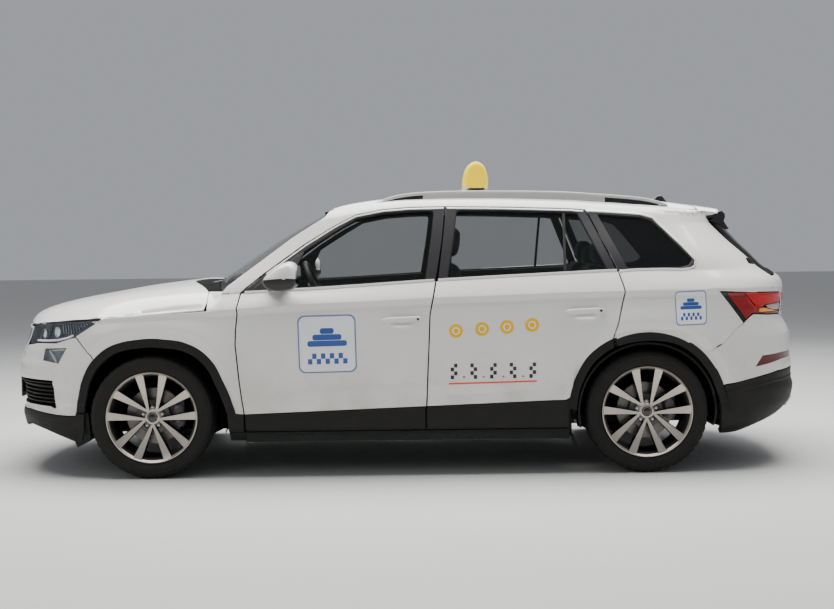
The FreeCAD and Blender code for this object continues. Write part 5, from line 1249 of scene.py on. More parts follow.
# bright strip round the side windows
mb = MB()
strip(mb, np.array(belt_line(-914, 150, 3.0, 14)), P_left, w=13, h=4.2, lift=0.5)
top_line = np.array(sh([p for p in CUT_A if p[1] > 1080], HALF + 7, -3) + sh(TOP_F, 0, -7)[:-1] + [(214, 1507)])
strip(mb, fillet_open := np.array(top_line), P_left, w=8, h=2.6, lift=0.5)
both_obj("front_door_bright_strip_%s", mb, M["chrome"], "front_door_%s_body")
mb = MB()
strip(mb, np.array(belt_line(172, 1180, 3.0, 14)), P_left, w=13, h=4.2, lift=0.5)
strip(mb, np.array([(230, 1507), (560, 1501), (938, 1488), (1014, 1481)]), P_left, w=8, h=2.6, lift=0.5)
both_obj("rear_door_bright_strip_%s", mb, M["chrome"], "rear_door_%s_body")

# rubber inside the window openings, and the bar that divides the rear door's glass
mb = MB()
strip(mb, wf, lambda u, z: P_left(u, z), w=9, h=1.0, lift=-6.0, closed=True, base=-7)
both_obj("front_door_seal_%s", mb, M["rubber"], "front_door_%s_body")
mb = MB()
strip(mb, wr, P_left, w=9, h=1.0, lift=-6.0, closed=True, base=-7)
strip(mb, np.array([(888, 1134), (902, 1478)]), P_left, w=15, h=1.5, lift=-5.0, base=-10)
both_obj("rear_door_seal_%s", mb, M["rubber"], "rear_door_%s_body")
for n_ in ("front_door_glass_left", "front_door_glass_right"):
    frame["nodes"][n_].data.materials.clear()
    frame["nodes"][n_].data.materials.append(M["glass"])
for n_ in ("rear_door_glass_left", "rear_door_glass_right"):
    frame["nodes"][n_].data.materials.clear()
    frame["nodes"][n_].data.materials.append(M["glass"])


# door handles: bar on two feet over a bowl
def handle(cx, cz):
    mb = MB()
    n = 26
    secs = []
    for i in range(n):
        t = i / (n - 1.0)
        x = cx - 118 + 236 * t
        z = cz + 14 + 8 * (t - 0.5)
        hz = 15.0 * min(1, (math.sin(math.pi * min(t * 3.2, 0.5)) if t < 0.16 else 1.0)) * min(1, (math.sin(math.pi * min((1 - t) * 3.2, 0.5)) if t > 0.84 else 1.0))
        hz = max(hz, 3.0)
        out = 29 * (math.sin(math.pi * t) ** 0.4 if 0 < t < 1 else 0) + 2
        w = float(-P_left(np.array([x]), np.array([z]))[0, 1])
        foot = (t < 0.2) or (t > 0.78)
        inn = 0.0 if foot else out - 13
        y0 = -(w + out)
        y1 = -(w + inn) + (2 if foot else 0)
        ring = []
        for k in range(14):
            a = 2 * math.pi * k / 14
            ry = 0.5 * (y0 + y1) + 0.5 * (y1 - y0) * math.copysign(abs(math.cos(a)) ** 0.7, math.cos(a))
            rz = z + hz * math.copysign(abs(math.sin(a)) ** 0.75, math.sin(a))
            ring.append((x, ry, rz))
        secs.append(ring)
    loft(mb, secs, 0, flip=True)
    # lock cylinder
    x, z = cx + 88, cz + 15
    w = float(-P_left(np.array([x]), np.array([z]))[0, 1])
    lathe(mb, [(0, 0.1), (0, 5.0), (-1.6, 6.2), (-2.0, 7.4), (4, 7.6)], (x, -(w + 26.5), z), n=20, m=1, closed=False)
    return mb


for hx, hz, bd, nm in ((HANDLES[0][0], HANDLES[0][1], "front_door_%s_body", "front_door_handle_%s"),
                       (HANDLES[1][0], HANDLES[1][1], "rear_door_%s_body", "rear_door_handle_%s")):
    both_obj(nm, handle(hx, hz), [M["paint"], M["satin"]], bd)

# ---------------------------------------------------------------- fixed body side, one sheet from windscreen pillar to tail
# rear arch edge as seen, a little tighter than the lip it sits on
RCV = Ring([(904, 419), (943, 551), (1022, 675), (1146, 759), (1285, 793), (1441, 791), (1503.5, 777), (1568.5, 750), (1629.5, 708.5), (1704, 630), (1770, 509), (1805, 400), (1811, 340)], 1346.5)
sk = []
sk += [(-1046, 1038), (-1000, 1039)] + [(-938 - HALF - 3, 1042)]
sk += sh([p for p in CUT_A if p[1] > 1100], -HALF - 1, 1)
sk += sh(TOP_F[:-1], 0, 3.5) + [(222, 1517.5)] + sh(TOP_R[1:], 0, 3.5)
sk += [(1120, 1480), (1350, 1464), (1462, 1444), (1545, 1373), (1634, 1285), (1703, 1194), (1684, 1158), (1651, 1146), (1577, 1138)]
sk += belt_line(1500, 1200, -3, 5)[1:] + sh([p for p in CUT_C[::-1] if 800 < p[1] < 1130][::-1], HALF)
sk = [p for p in sk]
sk += RCV.arc(114.6, 45.5, 28, 1.5)
sk += tx([(1766, 731), (1857, 820), (1889, 846), (1745, 1028), (1860, 1022), (2000, 1014)]) + ty([(-617, 1007), (-642, 1100), (-616, 1300), (-594, 1380), (-572, 1452)])


def top_v(u):
    z = 1450.0
    for _ in range(6):
        x = float(P_left(np.array([u]), np.array([z]))[0, 0])
        z = float(Z_DLO(x)) + 48
    e = -float(P_left(np.array([u]), np.array([z]))[0, 1])
    return z + max((e - 599.0) / 0.82, 3.0)


def dlo_v(u):
    z = 1450.0
    for _ in range(6):
        z = float(Z_DLO(float(P_left(np.array([u]), np.array([z]))[0, 0]))) + 48
    return z


u_end = u_tail_y(-572, 1452)
sk += [(u, min(top_v(u), 1700)) for u in np.linspace(min(u_end - 30, 2500), 1700, 12) if top_v(u) > 1458]
sk += [(x, top_v(x)) for x in np.linspace(1650, -395, 34)]
sk += [(-440, 1500), (-470, 1462), (-660, 1342), (-847, 1202), (-1014, 1077)]
mb = MB()
panel(mb, [np.array(sk, float)], flared(P_over), step=15, wall=10, hem=2.0, closed_in=False, lift=2.8,
      lines=FEATURES + [zline(Z_DLO, -300, 1450, 48), [(u, dlo_v(u)) for u in np.linspace(1462, u_end - 8, 26)]], K=2)
both_obj("body_side_skin_%s", mb, PAINT2, "body", slot="paint")
for n_ in ("body_side_left", "body_side_right"):
    frame["nodes"][n_].data.materials.clear()
    frame["nodes"][n_].data.materials.append(M["jamb"])

# bright strip and black panels round the quarter window
wq = fillet(WIN_Q, {"all": 6, 4: 30, 3: 20, 6: 18, 0: 10, 1: 10}, 6)
cpan = [(1040 + HALF, 1466), (1188 + HALF, 1142), (1222, 1146), (1400, 1150), (1560, 1147), (1645, 1156), (1674, 1166), (1692, 1196), (1624, 1282),
        (1538, 1366), (1456, 1435), (1350, 1456), (1120, 1474), (1036, 1480)]
mb = MB()
panel(mb, [np.array(cpan, float), wq], P_left, step=12, wall=16, hem=2.0, lift=2.4)
both_obj("quarter_panel_black_%s", mb, [M["pillar"], M["dark"]], "body")
mb = MB()
qs = [(1196, 1139), (1300, 1146), (1450, 1147), (1577, 1143), (1650, 1151), (1681, 1163), (1699, 1195), (1630, 1285), (1541, 1371), (1459, 1441),
      (1350, 1461), (1120, 1478), (1030, 1483)]
strip(mb, np.array(qs, float), P_left, w=12, h=3.6, lift=3.4)
both_obj("quarter_bright_strip_%s", mb, M["chrome"], "body")
mb = MB()
strip(mb, wq, P_left, w=9, h=1.0, lift=-6.0, closed=True, base=-7)
both_obj("quarter_seal_%s", mb, M["rubber"], "body")
for n_, m_ in (("quarter_windows", "glass_dark"), ("tailgate_glass", "glass_gate")):
    frame["nodes"][n_].data.materials.clear()
    frame["nodes"][n_].data.materials.append(M[m_])
frame["nodes"]["windscreen"].data.materials.clear()
frame["nodes"]["windscreen"].data.materials.append(M["glass_screen"])

# ---------------------------------------------------------------- front fender
ff = [(-927.5, 361)] + sh([p for p in CUT_A if 363 <= p[1] < 1040], -HALF) + [(-943, 1033), (-1042, 1036), (-1043, float(Z_SHOULDER(-1043)) - 1.0)]
ff += zline(Z_SHOULDER, -1060, -1120, -1.0, 24) + zline(Z_SHOULDER, -1140, -1690, -3.5, 24) + [(-1716, 900.5), (-1866, 806), (-1775, 696)] + RCF.arc(134.5, 2.2, 44, 1.5)
ff = [(u_nose_x(x, z) if x < X_CORNER_F else x, z) for x, z in ff]
mb = MB()
panel(mb, [np.array(ff)], flared(P_left), step=13, wall=26, lines=FEATURES, hem=2.6)
both_obj("front_fender_skin_%s", mb, PAINT2, "body", ["front_fender_%s"], slot="paint")


# arch cladding and liners
def arch_clad(ring, a0, a1, tail0=(), tail1=(), n=60):
    """From angle a0 round to a1 (a1 > a0); tails are extra points after the ends, in (x, z)."""
    o = ring.arc(a0, a1, n, -1.0) + list(tail1) + ring.arc(a1, a0, n, -CLAD_WIDTH + 1) + list(tail0)
    return [(u_nose_x(x, z) if x < X_CORNER_F else (u_tail_x(x, z) if x > float(XB(z)) else x), z) for x, z in o]


ARCHL = []
for r_ in (RCF, RCR):
    for d in (-6, -24, -42):
        ARCHL.append([(u_nose_x(x, z) if x < X_CORNER_F else (u_tail_x(x, z) if x > float(XB(z)) else x), z) for x, z in r_.arc(0, 180, 70, d)])
mb = MB()
panel(mb, [np.array(arch_clad(RCF, 2.2, 176.0, tail0=[(-1012, 262), (-927.5, 258), (-927.5, 358)]))], P_left, step=11, wall=22, lines=ARCHL, lift=3.0)
both_obj("front_arch_cladding_%s", mb, CLAD2, "body", slot="plastic_black")
mb = MB()
panel(mb, [np.array(arch_clad(RCV, 5.0, 114.6))], P_left, step=11, wall=22, lines=ARCHL, lift=5.0)
both_obj("rear_arch_cladding_%s", mb, CLAD2, "body", slot="plastic_black")


def liner(ring, rad, y_in, y_mid, a0=-12.0, a1=192.0):
    mb = MB()
    n = 52
    rows = []
    for i in range(n):
        a_ = math.radians(a0 + (a1 - a0) * i / (n - 1.0))
        x0, z0 = ring.at(min(max(a_, 0.0), math.pi), -CLAD_WIDTH + 3)
        r0 = math.hypot(x0 - ring.cx, z0 - ring.cz)
        x0, z0 = ring.cx + r0 * math.cos(a_), ring.cz + r0 * math.sin(a_)
        ys = float(side_base(np.clip(x0, X_CORNER_F, 1450), max(z0, 300))) * 1.0
        yc = min(ys, float(side(x0, max(z0, 300)))) - 10
        c_, s_ = math.cos(a_), math.sin(a_)
        row = [(x0, -yc, z0), (x0, -(yc - 26), z0)]
        for t, rr in ((0.15, rad + 6), (0.5, rad), (1.0, rad)):
            row.append((ring.cx + rr * c_, -(yc - 26 + (y_in - yc + 26) * t), ring.cz + rr * s_))
        for t in (0.9, 0.6, 0.0):
            row.append((ring.cx + rad * t * c_, -y_in, ring.cz + rad * t * s_))
        rows.append(row)
    g = np.array(rows)
    wav = 2.0 * np.sin(np.linspace(0, 40, n))[:, None]
    g[:, 3:5, 0] += wav * np.cos(np.linspace(math.radians(a0), math.radians(a1), n))[:, None]
    g[:, 3:5, 2] += wav * np.sin(np.linspace(math.radians(a0), math.radians(a1), n))[:, None]
    mb.grid(g, 0, flip=False)
    return mb


both_obj("rear_arch_liner_%s", liner(RCR, 377, 652, 700), M["liner"], "body")


def liner_front(ring, rad, y_in):
    mb = MB()
    n = 52
    rows = []
    for i in range(n):
        a_ = math.radians(-14 + 208.0 * i / (n - 1.0))
        x0, z0 = ring.at(min(max(a_, 0.0), math.pi), -CLAD_WIDTH + 3)
        r0 = math.hypot(x0 - ring.cx, z0 - ring.cz)
        c_, s_ = math.cos(a_), math.sin(a_)
        x0, z0 = ring.cx + r0 * c_, ring.cz + r0 * s_
        yc = float(side(x0, max(z0, 300))) - 10
        row = [(x0, -yc, z0), (x0, -(yc - 26), z0)]
        w = rad + 2.0 * math.sin(40.0 * i / n)
        for t in (0.25, 0.6, 1.0):
            row.append((ring.cx + w * c_, -(yc - 26 + (y_in - yc + 26) * t), ring.cz + w * s_))
        rows.append(row)
    mb.grid(np.array(rows), 0)
    return mb


both_obj("front_arch_liner_%s", liner_front(RCF, 412, 560), M["liner"], "body")

# sill below the doors, with the small flap in front of the rear wheel
mb = MB()
sill = [(-1008, 207)] + [(x, 205.0) for x in np.linspace(-900, 880, 8)] + [(908, 207), (903, 257)] + [(x, 257.0) for x in np.linspace(860, -900, 8)] + [(-1010, 257)]
panel(mb, [np.array(sill)], P_left, step=26, wall=10, lift=3.5)
both_obj("sill_strip_%s", mb, CLAD2, "body")
mb = MB()
rbox(mb, (936, -820, 186), (10, 130, 74), 4, 0, 2, rot=Matrix.Rotation(math.radians(-24), 3, "Y"))
both_obj("sill_flap_%s", mb, M["clad"], "body")


# shoulder of the fender between the bonnet and the foot of the windscreen pillar
rows = []
for x in np.linspace(-1122.0, -1040.0, 15):
    t = (x + 1122.0) / 82.0
    t = t * t * (3 - 2 * t)
    zs_ = float(Z_SHOULDER(x)) - 3.0
    ya = np.linspace(float(side(x, zs_)) - 1.5, 790.0, 26)
    A = np.stack([np.full(26, x), -ya, np.array([float(bonnet_z(float(x), -float(q))) for q in ya])], -1)
    A[0, 2] = zs_
    zb_ = np.linspace(zs_, 1037.0, 18)
    B = [(x, -float(side(x, float(q))), float(q)) for q in zb_]
    B += [(x, B[-1][1] + 40.0 * k / 8.0, 1037.0 + 11.0 * k / 8.0) for k in range(1, 9)]
    rows.append(A * (1 - t) + np.array(B) * t)
rows = np.array(rows)
lip = rows[0].copy()
lip[:, 2] -= 22
lip[:, 0] += 3
edge = rows[:, -1].copy()
edge[:, 2] -= 22
full = np.concatenate([lip[None], rows], 0)
full = np.concatenate([full, np.concatenate([edge[:1], edge], 0)[:, None]], 1)
mb = MB()
mb.grid(full, 0, flip=True)
both_obj("fender_shoulder_%s", mb, PAINT2, "body", angle=40)


# dark inner walls behind the front wheels
mb = MB()
rbox(mb, (-1444, -432, 500), (770, 6, 560), 2, 0, 1)
rbox(mb, (-1066, -600, 470), (8, 330, 420), 3, 0, 1)
rbox(mb, (-1836, -590, 480), (8, 310, 380), 3, 0, 1)
both_obj("front_wheel_house_wall_%s", mb, M["liner"], "body")

# ---------------------------------------------------------------- bonnet
def bonnet_rear(y):
    return -1292 + 166 * np.minimum(np.abs(np.asarray(y, float)) / 790.0, 1.0) ** 2.2


def P_bonnet(u, v):
    return np.stack([np.asarray(u, float) + 0 * v, np.asarray(v, float) + 0 * u, bonnet_z(np.asarray(u, float), np.asarray(v, float))], -1)


ys_ = np.linspace(-720, 720, 49)
bn = [(float(nose_x(y, 850)) + 7, y) for y in ys_[::-1]]
xs_ = np.linspace(-1990, -1140, 34)
bs = [(x, -(float(side(x, float(Z_SHOULDER(x)))) - 4.5)) for x in xs_]
bs = [p for p in bs if p[1] < -722]
br = [(float(bonnet_rear(y)), y) for y in np.linspace(-880, 880, 41)]
bl = bn + bs + [(p[0], p[1]) for p in br] + [(p[0], -p[1]) for p in bs[::-1]]
BONNET_LINES = [[(float(nose_x(s * 520, 850)) + 30, s * 520), (-1900, s * 575), (-1600, s * 640), (-1300, s * 690), (-1180, s * 705)] for s in (-1, 1)]
mb = MB()
panel(mb, [np.array(bl)], P_bonnet, step=23, wall=16, hem=3.0, lines=BONNET_LINES)
mb.obj("bonnet_skin", PAINT2, "bonnet_body", replaces=["bonnet"], slot="paint")

# cowl between the bonnet and the windscreen, with slots, and the wipers
rows = []
for i in range(61):
    u_ = -1 + 2 * i / 60.0
    yb = 815 * u_
    x0 = float(bonnet_rear(yb)) + 8
    z0 = float(bonnet_z(x0, yb)) - 10
    e = screen(np.array([u_ * 0.985]), np.array([0.0]), 0.0)[0]
    row = []
    for t in (0.0, 0.02, 0.3, 0.6, 0.92, 1.0):
        dz = -5 * math.sin(math.pi * min(t * 1.05, 1.0)) + (-16 if t == 0.0 else 0)
        row.append((x0 + (e[0] - 4 - x0) * t, yb + (e[1] - yb) * t, z0 + (e[2] + 3 - z0) * t + dz))
    rows.append(row)
mb = MB()
mb.grid(np.array(rows), 0, flip=True)
for i in range(26):
    yb = -560 + 1120 * i / 25.0
    x0 = float(bonnet_rear(yb)) + 46
    rbox(mb, (x0 + 26, yb, float(bonnet_z(x0, yb)) - 17), (74, 9, 7), 2, 0, 2)
mb.obj("cowl_grille", M["cowl"], "body", angle=40)
mb = MB()
for (ya, yb_, len_) in ((-470, 250, 1), (60, 640, 1)):
    p0 = np.array([-1150.0, ya, 1086.0])
    uv = np.array([(ya + (yb_ - ya) * t) / 832.0 for t in np.linspace(0, 1, 14)])
    pts = screen(uv, 0.035 + 0.05 * np.linspace(0, 1, 14), 16.0)
    arm = np.concatenate([[p0 + (0, 0, -16), p0 + (8, 0, 0)], screen(np.array([(ya + (yb_ - ya) * 0.5) / 832.0]), np.array([0.05]), 26.0)])
    tube(mb, arm, [9, 9, 5], 8)
    tube(mb, pts, 5.5, 8)
    tube(mb, screen(uv, 0.035 + 0.05 * np.linspace(0, 1, 14), 9.0), 3.0, 6, 0)
mb.obj("wipers_front", M["satin"], "body", angle=50)


# ---------------------------------------------------------------- roof
def P_roof(u, v):
    return np.stack([np.asarray(u, float) + 0 * v, np.asarray(v, float) + 0 * u, roof_z(np.asarray(u, float), np.asarray(v, float))], -1)


def seam_y(x):
    e = float(side(x, float(Z_DLO(x)) + 48))
    return min(597.0, e - 2)


rl = [(float(roof_front(y)) + 8, y) for y in np.linspace(570, -570, 31)] + [(-415, -seam_y(-415) + 4)]
rl += [(x, -seam_y(x)) for x in np.linspace(-380, 1600, 26)] + [(1690, -560)] + [(1692, y) for y in np.linspace(-520, 520, 15)] + [(1690, 560)]
rl += [(x, seam_y(x)) for x in np.linspace(1600, -380, 26)] + [(-415, seam_y(-415) - 4)]
mb = MB()
panel(mb, [np.array(rl)], P_roof, step=32, wall=16, hem=3.0, lines=[[(-380, s * 575), (1600, s * 575)] for s in (-1, 1)] + [[(-380, s * 540), (1600, s * 540)] for s in (-1, 1)])
mb.obj("roof_skin", PAINT2, "body", replaces=["roof_panel"], slot="paint")
# black ditch strip between roof and side
mb = MB()
for s in (-1, 1):
    pth = [(x, s * (seam_y(x) + 1.5)) for x in np.linspace(-400, 1640, 50)]
    strip(mb, np.array(pth), P_roof, w=9, h=1.0, m=0, lift=-1.5)
mb.obj("roof_ditch_strips", M["rubber"], "body")
# headlining
rows = []
for x in np.linspace(-400, 1660, 34):
    e = float(side(x, float(Z_DLO(x)) + 40)) - 44
    rows.append([(x, y, float(roof_z(x, y * 0.93)) - 34 - 18 * abs(y / e) ** 4) for y in np.linspace(-e, e, 25)])
rows = np.array(rows)
mb = MB()
mb.grid(rows, 0, flip=True)
mb.grid(rows + np.array([0, 0, 5.0]), 0)
mb.obj("headlining", M["lining"], "body")


# ---------------------------------------------------------------- helpers for panels on the ends
def nose_loop(half):
    return np.array(list(half) + mirror_nose(list(half)), float)


def tail_loop(half):
    return np.array(list(half) + mirror_tail(list(half)), float)


def lifted(P, d):
    return lambda u, v: P(u, v) + normals_of(P, np.stack([np.asarray(u, float).ravel(), np.asarray(v, float).ravel()], 1), 10.0).reshape(np.shape(u) + (3,)) * d


def shell(mb, loops, P, depth, rim_m=0, back_m=0, step=14, rim=None):
    """A bowl: rim wall from the surface inwards, and a back surface at the depth."""
    V, F, li = triangulate([resample(np.asarray(l, float), step * 0.8) if i else resample(np.asarray(l, float) if area(np.asarray(l, float)) > 0 else np.asarray(l, float)[::-1], step * 0.8) for i, l in enumerate(loops)], step)
    D = normals_of(P, V, 12.0)
    pos = P(V[:, 0], V[:, 1]) - D * depth
    a = mb.add(pos)
    for f in F:
        mb.face(a[f], None, back_m)
    for ids in li:
        ids = np.array(ids)
        top = mb.add(P(V[ids, 0], V[ids, 1]) - D[ids] * 1.0)
        low = mb.add(pos[ids])
        mb.rings([top, low], True, rim_m, None, flip=False)
    return mb


def on_nose(y, z, d=0.0, P=P_left):
    u = u_nose_y(y, z)
    uv = np.array([[u, z]])
    return P(uv[:, 0], uv[:, 1])[0] + normals_of(P, uv, 10.0)[0] * d


def on_tail(y, z, d=0.0, P=P_left):
    u = u_tail_y(y, z)
    uv = np.array([[u, z]])
    return P(uv[:, 0], uv[:, 1])[0] + normals_of(P, uv, 10.0)[0] * d


# ---------------------------------------------------------------- front bumper
arch_f = RCF.arc(175.5, 135.0, 18, 1.5)
half = (fy([(0, 372), (-300, 372), (-560, 372)]) + fx([(-2192, 376), (-2100, 368), (-2000, 359), (-1921, 356), (-1884, 358)]) + fx(arch_f) + fx([(-1781, 693), (-1869, 798)])
        + fx([(-1895, 794), (-1991, 764), (-2127, 760), (-2163, 750)]) + fy([(-620, 748), (-578, 742), (-490, 594), (-456, 568), (-220, 568), (0, 568)]))
ih = fy([(0, 404), (-300, 404), (-600, 404)]) + fx([(-2164, 406), (-2040, 404), (-2014, 392), (-2003, 398), (-2018, 548), (-2024, 553), (-2185, 555)]) + fy([(-500, 552), (-250, 550), (0, 549)])
fog = fx([(-2067, 733), (-1925, 740), (-1979, 651), (-2083, 665)])
mb = MB()
holes = [nose_loop(ih), np.array(fog), np.array(mirror_nose(fog))]
panel(mb, [nose_loop(half)] + holes, P_left, step=17, wall=24, hem=3.0,
      lines=[fx(RF.arc(170, 128, 30, d)) for d in (-2, 3)] + [mirror_nose(fx(RF.arc(170, 128, 30, d))) for d in (-2, 3)])
mb.obj("front_bumper_skin", PAINT2, "body", replaces=["front_bumper"], slot="paint")

mb = MB()
shell(mb, [nose_loop(ih)], P_left, 52, 0, 0, 22)
mb.obj("front_intake_shell", [M["rubber"]], "body")
mb = MB()
for k in range(6):
    z = 426 + k * 22.0
    e = -1985 - 2 * k
    ln = fy([(0, z), (-300, z), (-560, z)]) + fx([(-2180, z), (e - 60, z), (e - 32, z)])
    full = ln[::-1] + mirror_nose(ln[::-1])[::1][::-1][1:] if False else ln[::-1]
    strip(mb, np.array(full), P_left, w=8 if k != 4 else 11, h=3, lift=-12, base=-26, step=16)
mb = mb.both()
mb.obj("front_intake_fins", [M["clad"]], "body", angle=40)
# fog lamp units: bowls, lenses, chrome blades and ribs
mb = MB()
shell(mb, [np.array(fog)], P_left, 26, 0, 0, 10)
fgl = MB()
panel(fgl, [np.array(fog) * 1.0], lifted(P_left, -4.0), step=12, wall=3, hem=1.0)
dg = MB()
strip(dg, np.array(fx([(-2046, 722), (-1999, 656)])), lifted(P_left, -12.0), w=8, h=3, base=-8)
strip(dg, np.array(fx([(-2030, 724), (-1944, 731)])), lifted(P_left, -14.0), w=7, h=2, base=-6)
for s_, k_ in (("left", 1), ("right", -1)):
    (mb if k_ > 0 else mb.mirrored()).obj("fog_lamp_bowl_" + s_, [M["housing"]], "body")
    (fgl if k_ > 0 else fgl.mirrored()).obj("fog_lamp_lens_" + s_, [M["lens"], M["lens"]], "body", slot="lamp_clear")
    (dg if k_ > 0 else dg.mirrored()).obj("fog_lamp_blade_" + s_, [M["chrome"]], "body")
mb = MB()
c_ = on_nose(-770, 694, -18)
for i in range(9):
    zz = 664 + i * 8.0
    ln = fx([(-2078 + (8 - i) * 0.6, zz), (-1974 + i * 6.0, zz)])
    strip(mb, np.array(ln), lifted(P_left, -22.0), w=3.2, h=1.6, base=-2, step=12)
both_obj("fog_lamp_ribs_%s", mb, [M["reflector"]], "body")

# black lower bumper: apron that runs up and back to the wheel arch
def au(pts, f):
    return [(f(p, max(z, 300.0)), z) for p, z in dense(pts)]


half = (au([(0, 262), (-300, 262), (-540, 268)], u_nose_y) + au([(-2232, 290), (-2150, 276), (-2032, 246), (-1924, 217), (-1878, 206), (-1850, 200), (-1838, 250), (-1829, 366)], u_nose_x)
        + fx([(-1862, 372), (-1884, 355), (-1921, 352), (-2000, 355), (-2100, 364), (-2192, 372)]) + fy([(-560, 368), (-300, 368), (0, 368)]))


def P_apron(u, z):
    """The apron: leans back and narrows towards its lower edge."""
    p = P_left(u, np.maximum(z, 300))
    t = np.clip((372 - z) / 150.0, 0, 1.4)
    q = p.copy()
    q[..., 2] = z
    q[..., 0] = p[..., 0] + 34 * t * np.clip((-1900 - p[..., 0]) / 200.0, 0, 1)
    q[..., 1] = p[..., 1] * (1 - 0.012 * t)
    return q


mb = MB()
panel(mb, [nose_loop(half)], P_apron, step=20, wall=30, hem=4.0)
mb.obj("front_bumper_apron", CLAD2, "body", slot="plastic_black")
mb = MB()
for i in range(5):
    ln = au([(-2170 + i * 10, 338 - i * 14), (-1900, 318 - i * 22)], u_nose_x)
    if i in (1, 3):
        strip(mb, np.array(ln), P_apron, w=5, h=1.4, base=-2)
both_obj("front_apron_ribs_%s", mb, M["clad"], "body")
mb = MB()
fl = [(-1886, 372), (-1812, 372), (-1804, 300), (-1803, 212), (-1874, 176), (-1888, 205)]
lo_, hi_ = mb.add(np.array([(x, -842.0, z) for x, z in fl])), mb.add(np.array([(x, -660.0, z) for x, z in fl]))
mb.rings([lo_, hi_], True, 0, None)
mb.cap(lo_, 0, flip=True)
mb.cap(hi_, 0)
both_obj("front_arch_flap_%s", mb, M["clad"], "body", angle=30)

# blank number plate in a holder
mb = MB()
rbox(mb, (-2350, 0, 478), (12, 470, 152), 3.5, 0, 2)
mb.obj("front_plate_holder", M["satin"], "body")
mb = MB()
rbox(mb, (-2357.0, 0, 478), (3, 440, 140), 1.4, 0, 3)
mb.obj("front_plate", M["plate"], "body")

# ---------------------------------------------------------------- grille
gh = fy([(0, 580), (-436, 580), (-464, 600), (-552, 742), (-578, 800), (-582, 838), (-250, 842), (0, 845)])
mb = MB()
shell(mb, [nose_loop(gh)], P_left, 48, 0, 0, 24)
mb.obj("grille_shell", [M["rubber"]], "body", replaces=["grille"])
mb = MB()
for k in range(33):
    y = -544 + 34.0 * k
    z1, z0 = 838 - abs(y) * 0.01, 586 + (max(abs(y) - 440, 0) * 1.62)
    ln = fy([(y, z0 + 6), (y, 0.5 * (z0 + z1)), (y, z1 - 8)])
    strip(mb, np.array(ln), P_left, w=9, h=3.5, lift=-10, base=-26, step=18)
mb.obj("grille_blades", [M["gloss"]], "body", angle=40)
mb = MB()
for z in (640, 700, 760):
    ln = fy([(-470, z), (-300, z), (0, z), (300, z), (470, z)])
    strip(mb, np.array(ln), P_left, w=6, h=2, lift=-22, base=-20, step=24)
mb.obj("grille_crossbars", [M["satin"]], "body", angle=40)
fr_o = nose_loop(fy([(0, 574), (-444, 574), (-476, 594), (-567, 738), (-595, 800), (-600, 848), (-250, 853), (0, 856)]))
mb = MB()
panel(mb, [fr_o, nose_loop(gh)], P_left, step=9, wall=22, hem=3.0, lift=3.5)
mb.obj("grille_frame", [M["chrome"], M["satin"]], "body", slot="rail_silver")

# ---------------------------------------------------------------- headlamps
hl = fx([(-1720, 897), (-1867, 803), (-1895, 797), (-1991, 768), (-2127, 764), (-2161, 754)]) + fy([(-622, 752), (-607, 762), (-609, 800), (-607, 852)]) + fx([(-2112, 866), (-2070, 871), (-1900, 886)])
hl = hl[::-1]
mb = MB()
shell(mb, [np.array(hl)], P_left, 46, 0, 0, 12)
hh = both_obj("headlamp_housing_%s", mb, [M["housing"]], "body")
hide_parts("headlamps")
mb = MB()
panel(mb, [np.array(hl)], lifted(P_left, -1.5), step=13, wall=4, hem=2.0, closed_in=False)
both_obj("headlamp_lens_%s", mb, [M["lens"], M["gloss"]], "body", slot="lamp_clear")
mb = MB()
strip(mb, np.array(fx([(-2140, 777), (-2060, 779), (-1991, 783), (-1930, 797), (-1893, 811)])), lifted(P_left, -14.0), w=11, h=5, base=-8)
both_obj("headlamp_light_strip_%s", mb, [M["drl"]], "body")
mb = MB()
strip(mb, np.array(fx([(-2128, 862), (-2070, 867), (-1900, 882), (-1735, 896)])), lifted(P_left, -5.0), w=9, h=3, base=-12)
strip(mb, np.array(fx([(-2105, 845), (-2118, 800), (-2140, 766)])), lifted(P_left, -16.0), w=10, h=4, base=-16)
strip(mb, np.array(fx([(-2050, 862), (-2062, 818), (-2085, 786)])), lifted(P_left, -22.0), w=9, h=4, base=-16)
both_obj("headlamp_fins_%s", mb, [M["gloss"]], "body", angle=40)


def lamp_unit(x, z, r, deep):
    """A projector: bowl, ring and glass bead, looking forward and outward."""
    u = u_nose_x(x, z)
    uv = np.array([[u, z]])
    c = P_left(uv[:, 0], uv[:, 1])[0]
    n = normals_of(P_left, uv, 10.0)[0]
    d = unit(np.array([n + np.array([-0.35, 0, 0])]))[0]
    c = c - n * deep
    a_ = unit(np.cross(d, [0, 0, 1.0]))
    b_ = np.cross(d, a_)
    bowl_, ring_, bead = MB(), MB(), MB()

    def turn(m_, prof, k=40):
        ang = np.arange(k) / k * 2 * math.pi
        g = np.array([[c + d * al + rr * (math.cos(t) * a_ + math.sin(t) * b_) for al, rr in prof] for t in ang])
        m_.grid(g, 0, close_u=True, flip=True)
    turn(bowl_, [(-16, r * 0.3), (-12, r * 0.75), (-2, r * 1.02), (6, r * 1.12), (6, r * 1.2), (-4, r * 1.2)])
    turn(ring_, [(2, r * 0.98), (6, r * 1.0), (8, r * 1.07), (6, r * 1.14), (2, r * 1.16)])
    turn(bead, [(14 * math.cos(t) - 2, max(r * 0.86 * math.sin(t), 0.2)) for t in np.linspace(math.pi / 2, 0.0, 9)])
    return bowl_, ring_, bead


